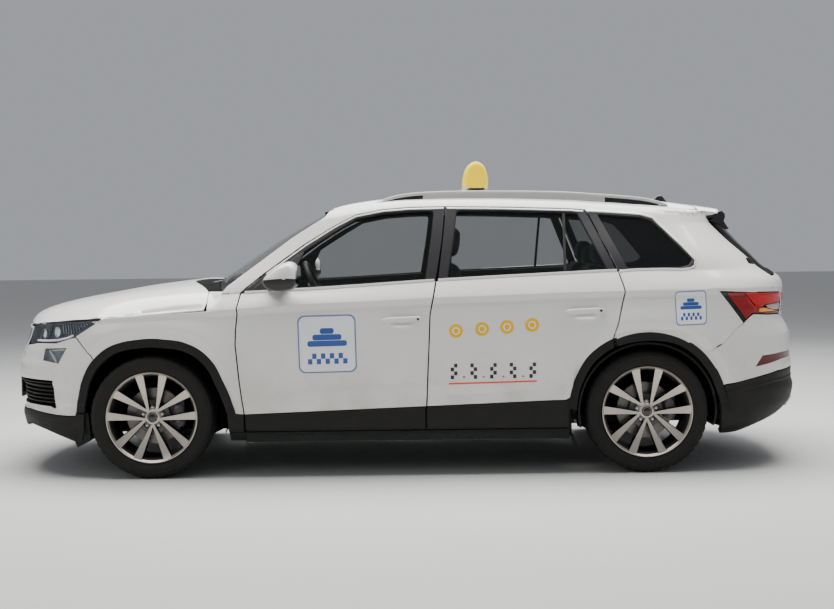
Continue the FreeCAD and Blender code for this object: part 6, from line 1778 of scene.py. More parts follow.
for k_, (x_, z_, r_, dp) in enumerate(((-2000, 829, 27, 26), (-2095, 818, 24, 26))):
    bw, rg, bd_ = lamp_unit(x_, z_, r_, dp)
    both_obj("headlamp_bowl_%d_%%s" % k_, bw, [M["reflector"]], "body")
    both_obj("headlamp_ring_%d_%%s" % k_, rg, [M["chrome"]], "body")
    both_obj("headlamp_bead_%d_%%s" % k_, bd_, [M["bulb"]], "body")
mb = MB()
for i in range(12):
    x0 = -1960 + i * 17.0
    zt, zb_ = 880 + (x0 + 1950) * 0.06, 812 + max(x0 + 1900, 0) * 0.55
    if zt - zb_ < 14:
        break
    strip(mb, np.array(fx([(x0, zb_ + 8), (x0 - 8, zt - 8)])), lifted(P_left, -26.0), w=5, h=3, base=-14)
both_obj("headlamp_reflector_ribs_%s", mb, [M["reflector"]], "body")
# dark gap line over the lamp
mb = MB()
strip(mb, np.array(fy([(-607, 858)]) + fx([(-2112, 872), (-2070, 877), (-1900, 892), (-1722, 903)])), P_left, w=8, h=0.5, base=-16, lift=-3)
both_obj("headlamp_gap_%s", mb, [M["rubber"]], "body")

# ---------------------------------------------------------------- rear bumper
arch_r = RCV.arc(18.5, 44.5, 16, 1.5)
half = (ty([(0, 560), (-300, 560), (-560, 560)]) + tx([(2129, 556), (2000, 534), (1880, 512), (1789, 497)]) + tx(arch_r) + tx([(1766, 725.5), (1857, 814.5), (1895, 835)])
        + tx([(1960, 886), (2060, 878), (2135, 876)]) + ty([(-610, 873), (-592, 862), (-580, 758), (-300, 757), (0, 757)]))
half = half[::-1]
refl = tx([(1972, 589), (2018, 649), (2161, 657)]) + ty([(-560, 657), (-500, 655), (-500, 622)]) + tx([(2158, 619)])
mb = MB()


def crease_tail(x, z):
    return 0.0 * x + 5.0 * np.exp(-np.maximum(z - 770.0, 0) / 22.0) * np.exp(-np.maximum(770.0 - z, 0) / 60.0) * np.clip((x - 1850) / 150.0, 0, 1)


def P_rb(u, z):
    return P_left(u, z)


LT = [ty([(-560, 770), (-300, 770), (0, 770)]), tx([(1900, 800), (2000, 778), (2130, 771)])]
panel(mb, [tail_loop(half), np.array(refl), np.array(mirror_tail(refl))], P_rb, step=17, wall=24, hem=3.0,
      lines=[tx(RR.arc(12, 52, 30, d)) for d in (-2, 3)] + [mirror_tail(tx(RR.arc(12, 52, 30, d))) for d in (-2, 3)])
mb.obj("rear_bumper_skin", PAINT2, "body", replaces=["rear_bumper"], slot="paint")
mb = MB()
shell(mb, [np.array(refl)], P_left, 8, 0, 0, 12)
rf_ = MB()
rl2 = np.array(refl)
panel(rf_, [rl2], lifted(P_left, -2.0), step=12, wall=4, hem=1.6, closed_in=False)
both_obj("rear_reflector_bed_%s", mb, [M["red_dark"]], "body")
both_obj("rear_reflector_%s", rf_, [M["reflex"], M["red_dark"]], "body", slot="lamp_red")

# black lower rear bumper
half = (ty([(0, 556), (-300, 556), (-560, 556)]) + tx([(2129, 551), (2000, 529), (1880, 507), (1787, 492)]) + tx(RCR.arc(17.2, 9.0, 6, 1.0)) + tx([(1803, 400), (1757, 392)])
        + tx([(1762, 300), (1775, 206), (1840, 202), (1881, 200), (1992, 211), (2097, 238), (2200, 290)]) + ty([(-560, 330), (-300, 330), (0, 330)]))
mb = MB()
panel(mb, [tail_loop(half)], P_left, step=20, wall=30, hem=4.0, lift=1.5)
mb.obj("rear_bumper_apron", CLAD2, "body", slot="plastic_black")
mb = MB()
strip(mb, np.array(tx([(1800, 452), (1900, 470), (2100, 500)]) + ty([(-560, 505), (-300, 505), (0, 505)])), P_left, w=16, h=4, base=-4, lift=1.5, step=16)
both_obj("rear_apron_ledge_%s", mb, [M["clad"]], "body", angle=50)
mb = MB()
strip(mb, np.array(ty([(-400, 352), (-200, 352), (0, 352), (200, 352), (400, 352)])), P_left, w=54, h=6, base=-6, lift=2, step=20)
mb.obj("rear_apron_skid", M["rail"], "body")
mb = MB()
fin = [(-480 + 76 * math.cos(t), 350 + 19 * math.sin(t)) for t in np.linspace(0, 2 * math.pi, 33)[:-1]]
strip(mb, np.array([(u_tail_y(y, z), z) for y, z in fin]), P_left, w=11, h=6, base=-10, closed=True, lift=2)
mb = mb.both()
mb.obj("rear_apron_finishers", M["chrome"], "body", angle=40)

# ---------------------------------------------------------------- tail lamps
TL = tx([(1752, 1021), (1895, 842), (1961, 893), (2060, 883), (2135, 881)]) + ty([(-617, 878), (-615, 940), (-617, 1003)]) + tx([(2060, 1010), (2000, 1010), (1860, 1016)])
mb = MB()
shell(mb, [np.array(TL)], P_left, 20, 0, 0, 12)
tl = both_obj("tail_lamp_bowl_%s", mb, [M["red_dark"]], "body")
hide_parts("tail_lamps")
tl_parts = (("diagonal", "gloss", tx([(1757, 1016), (1895, 846), (1912, 860), (1806, 990), (1790, 1013)]), -1.0),
            ("side_red", "red", tx([(1795, 1013), (1808, 992), (1914, 862), (1958, 897), (1998, 892), (2000, 922), (1962, 940), (1928, 981), (1900, 1010)]), -1.0),
            ("upper_red", "red_hot", tx([(1904, 1011), (1932, 983), (1966, 944), (2002, 924), (2046, 940)]) + ty([(-640, 948), (-619, 952), (-620, 1001)]) + tx([(2060, 1007), (2000, 1007)]), -0.5),
            ("amber", "amber", tx([(2003, 897), (2003, 919), (2042, 919), (2112, 901)]) + ty([(-640, 896)]), -2.0),
            ("clear", "clear", tx([(2050, 934), (2066, 919), (2115, 905)]) + ty([(-640, 902), (-622, 904), (-622, 944)]), -2.0),
            ("lower_red", "red", tx([(2001, 893), (2060, 886), (2135, 884)]) + ty([(-640, 882), (-621, 882), (-621, 893)]) + tx([(2060, 893)]), -1.0))
for nm, mt, lp, lf in tl_parts:
    mb = MB()
    lp = np.array(lp)
    panel(mb, [lp], lifted(P_left, lf), step=9, wall=12, hem=1.2, closed_in=False)
    both_obj("tail_lamp_" + nm + "_%s", mb, [M[mt], M["red_dark"]], "body", slot="lamp_red")
mb = MB()
strip(mb, np.array(tx([(1960, 903), (1985, 948), (2040, 962)])), lifted(P_left, 0.0), w=7, h=1.2, base=-3)
strip(mb, np.array(tx([(1915, 985), (1945, 945), (1975, 915)])), lifted(P_left, 0.0), w=7, h=1.2, base=-3)
strip(mb, np.array(tx([(1945, 972), (2060, 985)]) + ty([(-640, 986), (-625, 986)])), lifted(P_left, 0.0), w=6, h=1.2, base=-3)
both_obj("tail_lamp_highlight_%s", mb, [M["red_hot"]], "body")
mb = MB()
strip(mb, np.array(tx([(1751, 1025), (1860, 1019), (2000, 1013), (2060, 1012)]) + ty([(-618, 1006)])), P_left, w=6, h=0.4, base=-16, lift=-2)
both_obj("tail_lamp_gap_%s", mb, [M["rubber"]], "body")


# ---------------------------------------------------------------- tailgate
gate_half = (ty([(0, 763), (-300, 763), (-579, 763), (-586, 800), (-592, 900), (-600, 1000), (-624, 1098)]) + ty([(-480, 1106), (-240, 1108), (0, 1108)]))
gl_h = ty([(-586, 888), (-470, 896), (-330, 905), (-318, 930), (-330, 990), (-470, 998), (-592, 998)])
pl_h = ty([(0, 818), (-262, 818), (-282, 836), (-286, 960), (-270, 984), (0, 986)])
mb = MB()
panel(mb, [tail_loop(gate_half), np.array(gl_h), np.array(mirror_tail(gl_h)), tail_loop(pl_h)], P_left, step=17, wall=22, hem=3.0)
mb.obj("tailgate_skin", PAINT2, "tailgate_body", replaces=["tailgate"], slot="paint")
frame_half = ty([(0, 1112), (-240, 1112), (-480, 1110), (-622, 1103), (-632, 1110), (-617, 1200), (-606, 1300), (-584, 1380), (-563, 1440), (-300, 1446), (0, 1448)])
hole_half = ty([(0, 1140), (-300, 1140), (-520, 1142), (-548, 1160), (-528, 1280), (-498, 1376), (-470, 1392), (0, 1396)])
mb = MB()
panel(mb, [tail_loop(frame_half), tail_loop(hole_half)], P_left, step=16, wall=20, hem=2.0, lift=-1.0)
mb.obj("tailgate_glass_border", [M["gate_black"], M["dark"]], "tailgate_body", slot="plastic_black")
mb = MB()
shell(mb, [tail_loop(pl_h)], P_left, 20, 0, 0, 22)
mb.obj("tailgate_plate_recess", [M["paint"]], "tailgate_body")
cpt = on_tail(0, 890, -12)
mb = MB()
rbox(mb, (cpt[0], 0, 892), (7, 460, 150), 3, 0, 2, rot=Matrix.Rotation(math.radians(1.2), 3, "Y"))
mb.obj("rear_plate_holder", M["satin"], "tailgate_body")
mb = MB()
rbox(mb, (cpt[0] + 4.5, 0, 892), (3, 440, 140), 1.4, 0, 3, rot=Matrix.Rotation(math.radians(1.2), 3, "Y"))
mb.obj("rear_plate", M["plate"], "tailgate_body")
mb = MB()
strip(mb, np.array(ty([(-270, 1004), (-150, 1006), (0, 1007), (150, 1006), (270, 1004)])), P_left, w=20, h=9, base=-6, step=20)
mb.obj("tailgate_handle_bar", [M["chrome"]], "tailgate_body")
mb = MB()
for s in (-1, 1):
    q = on_tail(s * 120, 978, -6)
    rbox(mb, tuple(q), (10, 46, 12), 3, 0, 2)
mb.obj("plate_lamps", M["clear"], "tailgate_body")
# lamps on the gate
mb = MB()
shell(mb, [np.array(gl_h)], P_left, 18, 0, 0, 12)
mb.both().obj("gate_lamp_bowl", [M["red_dark"]], "tailgate_body", replaces=["tailgate_lamps"])
for nm, mt, lp, lf in (("upper", "red_hot", ty([(-589, 952), (-470, 950), (-345, 946), (-334, 986), (-470, 994), (-589, 994)]), -0.5),
                       ("middle", "clear", ty([(-587, 921), (-470, 922), (-338, 925), (-344, 942), (-470, 946), (-588, 948)]), -2.0),
                       ("lower", "red", ty([(-585, 892), (-470, 900), (-336, 909), (-335, 921), (-470, 918), (-586, 917)]), -1.0)):
    mb = MB()
    panel(mb, [np.array(lp)], lifted(P_left, lf), step=10, wall=12, hem=1.2, closed_in=False)
    mb.both().obj("gate_lamp_" + nm, [M[mt], M["red_dark"]], "tailgate_body", slot="lamp_red")


# spoiler: white blade over the glass, black lip and side blades
def sp_edge(y):
    return 1890.0 - 78.0 * (abs(y) / 585.0) ** 2.4


rows, lip = [], []
for y in np.linspace(-588, 588, 61):
    xe = sp_edge(y)
    x0 = 1700.0
    k = abs(y) / 588.0
    top = [(x, y, float(roof_z(x, y)) + 1.0 - (1.5 if x > xe - 1 else 0)) for x in np.linspace(x0, xe - 8, 12)]
    zt = top[-1][2]
    drop = 17 - 4 * k
    nose_ = [(xe - 2, y, zt - 3), (xe, y, zt - 9), (xe - 3, y, zt - drop)]
    bot = [(x0 + (xe - 3 - x0) * t, y, (zt - drop) * t + (float(roof_z(x0, y)) - 26) * (1 - t) - 4 * math.sin(math.pi * t)) for t in (0.75, 0.5, 0.25, 0.0)]
    rows.append(top + nose_ + bot)
    xa, xb_ = xe - 14, xe + 24 - 8 * k
    lip.append([(xa, y, zt - 8), (xe + 6, y, zt - 8.5), (xb_, y, zt - 15), (xb_ + 1, y, zt - 21), (xb_ - 8, y, zt - 27), (xa - 40, y, zt - 34), (xa - 60, y, zt - 30)])
mb = MB()
mb.grid(np.array(rows), 0, close_v=True, caps=True, flip=True)
mb.obj("spoiler_blade", [M["paint"]], "tailgate_body", angle=38)
mb = MB()
mb.grid(np.array(lip), 0, close_v=True, caps=True, flip=True)
mb.obj("spoiler_lip", [M["gloss"]], "tailgate_body", angle=38)
mb = MB()
sideb = [(1764, 1417), (1792, 1440), (1818, 1474), (1840, 1476), (1855, 1462), (1858, 1444), (1850, 1418), (1880, 1372), (1862, 1370), (1820, 1400), (1786, 1416)]
a_o, a_i = [], []
for x, z in sideb:
    a_o.append((x, -(582 - max(1500 - z, 0) * 0.0), z))
    a_i.append((x, -(552), z))
i0, i1 = mb.add(a_o), mb.add(a_i)
mb.rings([i0, i1], True, 0, None, flip=True)
mb.cap(i0, 0, flip=True)
mb.cap(i1, 0)
both_obj("spoiler_side_blade_%s", mb, [M["gloss"]], "tailgate_body", angle=25)
mb = MB()
for i in range(15):
    rbox(mb, (sp_edge(0) + 16, -140 + i * 20.0, float(roof_z(sp_edge(0) - 8, 0)) - 20), (9, 18, 9), 2, 0, 2)
mb.obj("high_stop_lamp", M["red"], "tailgate_body")
# rear wiper
mb = MB()
wp = np.array([on_tail(y, 1150 + 40 * math.sin((y + 20) / 260.0), 16) for y in np.linspace(-20, 330, 18)])
tube(mb, wp, np.linspace(9, 5, 18), 8)
wb = np.array([on_tail(y, 1170 + 36 * math.sin((y + 20) / 260.0), 9) for y in np.linspace(60, 400, 16)])
tube(mb, wb, 4.5, 6)
lathe_c = on_tail(-20, 1150, 6)
rbox(mb, tuple(lathe_c), (22, 34, 34), 9, 0, 3)
mb.obj("wiper_rear", M["satin"], "tailgate_body", angle=50)

# ---------------------------------------------------------------- roof rails, sign, antenna
R_TOP = Curve([(-172, 1551), (-120, 1570), (-43, 1590), (83, 1604), (311, 1610), (602, 1607), (892, 1600), (1070, 1588), (1248, 1574), (1367, 1561), (1456, 1542), (1521, 1522)])


def rail_y(x):
    return 600.0 - max(x - 900, 0) * 0.03


rows = []
for x in np.concatenate([np.linspace(-170, -60, 14), np.linspace(-40, 1400, 40), np.linspace(1415, 1519, 12)]):
    y, zt = rail_y(x), float(R_TOP(x))
    zb = float(roof_z(x, y)) + 0.5
    zt = max(zt, zb + 2.5)
    th = min(19.0, zt - zb)
    w = 14.0
    sec = [(-w, -th), (-w - 1, -th * 0.55), (-w * 0.85, -2.5), (-w * 0.45, 0), (w * 0.45, 0), (w * 0.85, -2.5), (w + 1, -th * 0.55), (w, -th)]
    rows.append([(x, -(y + a_), zt + b_) for a_, b_ in sec])
mb = MB()
mb.grid(np.array(rows), 0, close_v=True, caps=True, flip=False)
rails = both_obj("roof_rail_bar_%s", mb, [M["rail"]], "body", slot="rail_silver")
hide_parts("roof_rails")
rows = []
for x in np.linspace(96, 1152, 30):
    y = rail_y(x)
    zt, zb = float(R_TOP(x)) - 15, float(roof_z(x, y)) - 6
    rows.append([(x, -(y - 10), zb), (x, -(y + 9.5), zb), (x, -(y + 11), 0.5 * (zt + zb)), (x, -(y + 11), zt), (x, -(y - 10), zt)])
mb = MB()
mb.grid(np.array(rows), 0, close_v=True, caps=True, flip=True)
both_obj("roof_rail_web_%s", mb, [M["rail"]], "body")
for nm, xs in (("front", np.linspace(-120, 98, 14)), ("rear", np.linspace(1150, 1470, 16))):
    rows = []
    for x in xs:
        y = rail_y(x)
        zt, zb = float(R_TOP(x)) - 12, float(roof_z(x, y)) - 5
        zt = max(zt, zb + 1.5)
        rows.append([(x, -(y - 8), zb), (x, -(y + 7), zb), (x, -(y + 7), zt), (x, -(y - 8), zt)])
    mb = MB()
    mb.grid(np.array(rows), 0, close_v=True, caps=True, flip=True)
    both_obj("roof_rail_pocket_" + nm + "_%s", mb, [M["gloss"]], "body")

# roof sign: rounded lantern on a dark foot
sx, sz = 432.0, 1642.0
half_p = [(54, 0), (64, 3), (73, 16), (75, 33), (74, 49), (72.5, 65), (69.5, 82), (65.5, 98), (60.5, 113), (53.5, 129), (43, 144), (25, 157), (9, 162.4)]
prof = [(-a, b) for a, b in half_p] + [(0, 163)] + half_p[::-1]
rows = []
for k in range(33):
    t = -1 + 2 * k / 32.0
    y = 165 * math.sin(t * math.pi / 2)
    q = (1 - abs(t) ** 5) ** 0.5 if abs(t) < 1 else 0.0
    q = max(q, 0.25)
    rows.append([(sx + px * (0.55 + 0.45 * q), y, sz + 4 + (pz - 4) * (0.62 + 0.38 * q)) for px, pz in prof])
mb = MB()
g_ = np.array(rows)
mb.grid(g_, 0, close_v=True, caps=True, flip=False)
mb.obj("roof_sign_lantern", [M["sign"]], "body", replaces=["roof_sign"], angle=50)
rows = []
for k in range(25):
    t = -1 + 2 * k / 24.0
    y = 150 * t
    q = max((1 - abs(t) ** 6), 0.0) ** 0.4
    q = max(q, 0.5)
    lo = float(roof_z(sx, y)) - 4
    rows.append([(sx + px * q, y, max(pz, lo)) for px, pz in ((-50, sz + 8), (52, sz + 8), (60, sz - 8), (48, sz - 22), (50, lo), (-46, lo), (-44, sz - 22), (-50, sz - 8))])
mb = MB()
mb.grid(np.array(rows), 0, close_v=True, caps=True, flip=True)
mb.obj("roof_sign_foot", [M["satin"]], "body", angle=35)
mb = MB()
for s in (-1, 1):
    for x0, w_ in ((-62, 30), (60, 24)):
        rbox(mb, (sx + x0, s * 112, sz + 4), (w_, 92, 24), 9, 0, 3)
mb.obj("roof_sign_corner", [M["sign_pale"]], "body")
mb = MB()
for y in (-55, 55):
    strip(mb, np.array([(sx - 74, y), (sx + 74, y)]), lambda u, v: np.stack([np.asarray(u, float), np.asarray(v, float), sz + 40 + 0 * np.asarray(u, float)], -1), w=3, h=0.5, base=-1, step=30)
rows = []
for x in np.linspace(0, 1, 12):
    xx = 1528 + 90 * x
    zb = float(roof_z(xx, 0)) - 1
    h = 3 + 60 * math.sin(math.pi * min(x * 0.98 + 0.02, 1)) ** 1.2 * (0.35 + 0.65 * x)
    lean = 16 * x
    w = 13 * (math.sin(math.pi * (0.1 + 0.8 * x)) ** 0.6)
    rows.append([(xx, -w, zb), (xx, w, zb), (xx + lean * 0.6, w * 0.5, zb + h * 0.6), (xx + lean, 1.6, zb + h * 0.97), (xx + lean, 0, zb + h), (xx + lean, -1.6, zb + h * 0.97), (xx + lean * 0.6, -w * 0.5, zb + h * 0.6)])
mb = MB()
mb.grid(np.array(rows), 0, close_v=True, caps=True, flip=True)
mb.obj("shark_fin", [M["gloss"]], "body", replaces=["roof_antenna"], angle=50)


# ---------------------------------------------------------------- mirrors
def mirror_head():
    white = [(-598, 1118), (-597, 1168), (-606, 1196), (-622, 1213), (-645, 1219), (-675, 1213), (-712, 1192), (-750, 1160), (-780, 1134), (-789, 1118)]
    dark = [(-793, 1100), (-786, 1082), (-760, 1062), (-728, 1053), (-670, 1052), (-625, 1062), (-604, 1082), (-598, 1100)]
    sec = np.array(white + dark, float)
    nw = len(white)
    cen = np.array([-690.0, 1128.0])
    mb = MB()
    rows = []
    ts = [(925, .70, .58), (930, .80, .72), (942, .90, .86), (962, .97, .95), (1000, 1.0, 1.0), (1050, 1.0, .99), (1095, .96, .94), (1118, .88, .85), (1131, .74, .70), (1138, .50, .46), (1141, .26, .23), (1142, .08, .07)]
    for y, kx, kz in ts:
        q = cen + (sec - cen) * np.array([kx, kz])
        q[:, 0] += (1000 - y) * 0.05 + (1 - kx) * 30
        rows.append([(x, -y, z) for x, z in q])
    g = np.array(rows)
    nu, nv = g.shape[:2]
    idx = mb.add(g.reshape(-1, 3)).reshape(nu, nv)
    for i in range(nu - 1):
        for j in range(nv):
            k = (j + 1) % nv
            mb.face((idx[i, j], idx[i, k], idx[i + 1, k], idx[i + 1, j]), None, 0 if j < nw - 1 else 1)
    mb.cap(idx[0], 1, flip=True)
    mb.cap(idx[-1], 0)
    return mb


mb = mirror_head()
V_ = np.concatenate(mb.v)
for s_, q in (("left", mb), ("right", mb.mirrored())):
    o = q.obj("mirror_shell_" + s_, [M["paint"], M["satin"]], "front_door_%s_body" % s_, ["mirror_" + s_], angle=60)
    sb_ = o.modifiers.new("round", "SUBSURF")
    sb_.levels = sb_.render_levels = 2
mb = MB()
gp = [(-594, y, z) for y, z in ((-950, 1105), (-942, 1150), (-955, 1186), (-1000, 1196), (-1090, 1190), (-1112, 1165), (-1108, 1115), (-1080, 1092), (-980, 1090))]
gp = fillet([(p[1], p[2]) for p in gp], 14, 4)
ring = mb.add([(-595.5 + (abs(y) - 1000) * -0.05, y, z) for y, z in gp])
mb.cap(ring, 0)
both_obj("mirror_glass_%s", mb, M["mirror"], "front_door_%s_body")
mb = MB()
secs = []
for y, x0, x1, z0, z1 in ((858, -792, -664, 1049, 1082), (880, -786, -668, 1052, 1084), (905, -768, -664, 1058, 1092), (932, -748, -655, 1066, 1104), (950, -742, -650, 1072, 1110)):
    c = 11
    secs.append([(x0, -y, z0 + c), (x0 + c, -y, z0), (x1 - c, -y, z0), (x1, -y, z0 + c), (x1, -y, z1 - c), (x1 - c, -y, z1), (x0 + c, -y, z1), (x0, -y, z1 - c)])
loft(mb, secs, 0, flip=True)
sail = fillet([(-884, 1050), (-655, 1061), (-622, 1186), (-576, 1276), (-640, 1234), (-800, 1118)], 8, 4)
panel(mb, [sail], P_left, step=12, wall=10, hem=3, lift=3.5, white=0, dark=0)
both_obj("mirror_foot_%s", mb, M["satin"], "front_door_%s_body")
mb = MB()
strip(mb, np.array([(-958, 0), (-1112, 0)]), lambda u, v: np.stack([np.interp(-np.asarray(u, float), [958, 1112], [-780, -758]), np.asarray(u, float), 1140 + 0 * np.asarray(v, float) + np.asarray(v, float)], -1), w=7, h=2, base=-4)
both_obj("mirror_indicator_%s", mb, M["amber"], "front_door_%s_body")


# ---------------------------------------------------------------- wheels
def wheel_mesh():
    """Wheel turned about Y, centre at 0, outer side towards -Y. Slots: machined, black, barrel, disc, bolt, gloss."""
    mb = MB()
    Y = -1.0
    # rim barrel and lip
    lathe(mb, [(-106, 258), (-110, 256), (-111, 251.5), (-107, 247.5), (-99, 246.5), (-95, 243)], (0, 0, 0), n=120, m=0, closed=False)
    lathe(mb, [(-95, 243), (-90, 238), (-70, 232), (-20, 228), (60, 222), (96, 232), (106, 250), (110, 258), (104, 259), (90, 242), (60, 232), (-20, 238), (-70, 243), (-96, 250), (-106, 258)], (0, 0, 0), n=96, m=2, closed=False)
    # arms
    for k in range(5):
        ac = math.radians(90 + 72 * k)
        for sd in (-1, 1):
            a0, a1 = ac + sd * math.radians(34.5), ac + sd * math.radians(15.6)
            p0, p1 = np.array([math.cos(a0), math.sin(a0)]) * 40, np.array([math.cos(a1), math.sin(a1)]) * 249
            d = (p1 - p0) / np.linalg.norm(p1 - p0)
            nn = np.array([-d[1], d[0]])
            secs = []
            for t in np.linspace(0, 1, 12):
                c = p0 + (p1 - p0) * t
                w = 6.2 + 17.5 * t ** 1.08
                yf = Y * (80 + 24 * t - 6 * math.sin(math.pi * t))
                if t == 1:
                    yf = Y * 106.5
                dep = 44 - 12 * t
                row = []
                for off, yy in ((-w - 5, yf - Y * dep), (-w - 3.2, yf - Y * 12), (-w - 1.5, yf - Y * 3), (-w, yf), (w, yf), (w + 1.5, yf - Y * 3), (w + 3.2, yf - Y * 12), (w + 5, yf - Y * dep)):
                    q = c + nn * off
                    row.append((q[0], yy, q[1]))
                secs.append(row)
            g = np.array(secs)
            nu, nv = g.shape[:2]
            idx = mb.add(g.reshape(-1, 3)).reshape(nu, nv)
            for i in range(nu - 1):
                for j in range(nv):
                    j2 = (j + 1) % nv
                    mb.face((idx[i, j], idx[i, j2], idx[i + 1, j2], idx[i + 1, j]), None, 0 if j == 3 else 1)
            mb.cap(idx[0], 1, flip=True)
            mb.cap(idx[-1], 1)
        # pocket web with the bolt well between the two arms
        secs = []
        for t in np.linspace(0, 1, 8):
            r = 34 + 62 * t
            w = 24 + 6 * t
            yy = Y * (60 - 4 * t)
            er, et = np.array([math.cos(ac), math.sin(ac)]), np.array([-math.sin(ac), math.cos(ac)])
            row = []
            for off, dy in ((-w, 24), (-w, 0), (-w * 0.5, 1), (w * 0.5, 1), (w, 0), (w, 24)):
                q = er * r + et * off
                row.append((q[0], yy + dy, q[1]))
            secs.append(row)
        loft(mb, secs, 1, closed=True)
        bc = np.array([math.cos(ac), math.sin(ac)]) * 57
        lathe(mb, [(-58, 17), (-66, 17), (-67, 14.5), (-58, 13.5)], (bc[0], 0, bc[1]), n=28, m=1, closed=True)
        lathe(mb, [(-58, 11), (-70, 10.4), (-73, 8.5), (-74, 0.2)], (bc[0], 0, bc[1]), n=6, m=4, closed=False)
    # hub star: machined ring, dish and cap
    lathe(mb, [(-40, 62), (-62, 60), (-72, 46), (-81, 40), (-83, 36), (-83, 29.5), (-80, 28.2), (-76, 28)], (0, 0, 0), n=80, m=0, closed=False)
    lathe(mb, [(-77, 28.5), (-82, 28), (-85.5, 25), (-87.5, 18), (-88.5, 9), (-88.8, 0.2)], (0, 0, 0), n=64, m=5, closed=False)
    lathe(mb, [(-86.6, 24.0), (-88.4, 23.0), (-87.6, 21.6)], (0, 0, 0), n=64, m=4, closed=True)
    # brake disc with vent slot and bell
    lathe(mb, [(2, 84), (-8, 88), (-8, 158), (-6.5, 160), (2, 160), (3, 156), (9, 156), (10, 160), (17, 160), (18, 158), (18, 84)], (0, 0, 0), n=120, m=3, closed=True)
    lathe(mb, [(6, 84), (-34, 82), (-40, 76), (-41, 30), (6, 30)], (0, 0, 0), n=72, m=2, closed=True)
    return mb


def tyre_mesh():
    mb = MB()
    half_ = [(100, 256), (106, 262), (110, 270), (113.5, 282), (114.8, 284), (114.8, 288), (115.5, 290), (117, 302), (116.5, 312), (117.2, 313), (117, 316), (115.5, 318), (112, 328), (106, 336.5), (98, 341.5), (90, 344.0)]
    lat = [(86, 344.6), (60, 345.6), (58.5, 345.6), (57, 338.5), (50, 338.5), (48.5, 345.8), (21, 346), (19.5, 346), (18, 338.5), (10, 338.5), (8.5, 346), (0, 346)]
    prof = [(-a_, r) for a_, r in half_ + lat] + [(a_, r) for a_, r in (half_ + lat)[::-1][1:]]
    prof += [(92, 250), (-92, 250)]
    prof = np.array(prof, float)
    n = 288
    ang = np.arange(n) / n * 2 * math.pi
    A = np.abs(prof[:, 0])
    R = np.repeat(prof[None, :, 1], n, 0)
    cut = (np.arange(n) % 6 == 0) | (np.arange(n) % 6 == 1)
    for k in range(len(prof)):
        s = prof[k, 0]
        if prof[k, 1] > 340.5 and (60 <= A[k] <= 100):
            R[np.roll(cut, int(s > 0) * 3), k] -= 3.4
        elif prof[k, 1] > 344 and 20 < A[k] < 50:
            R[(np.arange(n) % 6 == 3), k] -= 4.0
        elif 330 < prof[k, 1] < 342 and A[k] > 100:
            R[np.roll(cut, int(s > 0) * 3), k] -= 1.2
        elif A[k] > 114.5 and 290 < prof[k, 1] < 312:
            R[:, k] += 0
    g = np.zeros((n, len(prof), 3))
    g[:, :, 0] = R * np.cos(ang)[:, None]
    g[:, :, 1] = prof[None, :, 0]
    g[:, :, 2] = R * np.sin(ang)[:, None]
    side_ = (A > 113) & (prof[:, 1] > 286) & (prof[:, 1] < 300)
    rib = (np.arange(n) % 3 == 0)
    g[np.ix_(rib, side_)] *= np.array([1, 1.004, 1])
    mb.grid(g, 0, close_u=True, close_v=True)
    return mb


WM, TM = wheel_mesh(), tyre_mesh()
WMATS = [M["machined"], M["rimblack"], M["barrel"], M["disc"], M["bolt"], M["gloss"]]


def placed(src, c, flip, names, mats, body, replaces, angle):
    V = np.concatenate(src.v)
    o = MB()
    if flip:
        q = src.mirrored()
    else:
        q = src
    o.v = [np.concatenate(q.v) + np.array(c)]
    o.count, o.f, o.n, o.m = q.count, q.f, q.n, q.m
    return o.obj(names, mats, body, replaces, angle=angle)


for ax, cx_, yy_ in (("front", -1444.5, 788.0), ("rear", 1346.5, 783.0)):
    for s_, sg in (("left", -1), ("right", 1)):
        c_ = (cx_, sg * yy_, 346.0)
        placed(WM, c_, sg > 0, "%s_rim_%s" % (ax, s_), WMATS, "%s_wheel_%s_body" % (ax, s_), ["%s_wheel_%s" % (ax, s_)], 34)
        placed(TM, c_, sg > 0, "%s_tyre_tread_%s" % (ax, s_), [M["tyre"]], "%s_wheel_%s_body" % (ax, s_), ["%s_tyre_%s" % (ax, s_)], 40)
# calipers
for ax, cx_, yy_, bd in (("front", -1444.5, 788.0, "knuckle_%s_body"), ("rear", 1346.5, 783.0, "body")):
    mb = MB()
    rows = []
    for t in np.linspace(-24, 34, 12):
        a_ = math.radians(t + 3)
        c, s = math.cos(a_), math.sin(a_)
        k = 1 - 0.25 * abs(t - 5) / 30.0
        rows.append([(cx_ + r * c, -(yy_ + w), 346 + r * s) for r, w in ((112, 20), (112, 34 * k), (122, 41 * k), (160, 42 * k), (172, 36 * k), (177, 22), (176, -24), (160, -34), (114, -34), (112, -22), (164, -22), (164, 12), (112, 12))])
    mb.grid(np.array(rows), 0, close_v=True, caps=True)
    for a_ in (-12, 22):
        c, s = math.cos(math.radians(a_)), math.sin(math.radians(a_))
        rbox(mb, (cx_ + 142 * c, -(yy_ + 40), 346 + 142 * s), (26, 10, 26), 6, 0, 3)
    both_obj(ax + "_caliper_%s", mb, M["caliper"], bd, angle=40)
for n_, mt in (("knuckle_left", "cast"), ("knuckle_right", "cast"), ("front_subframe", "under"), ("rear_subframe", "under"), ("floor_pan", "under"),
               ("engine_block", "cast"), ("exhaust", "steel"), ("cowl_panel", "satin")):
    frame["nodes"][n_].data.materials.clear()
    frame["nodes"][n_].data.materials.append(M[mt])


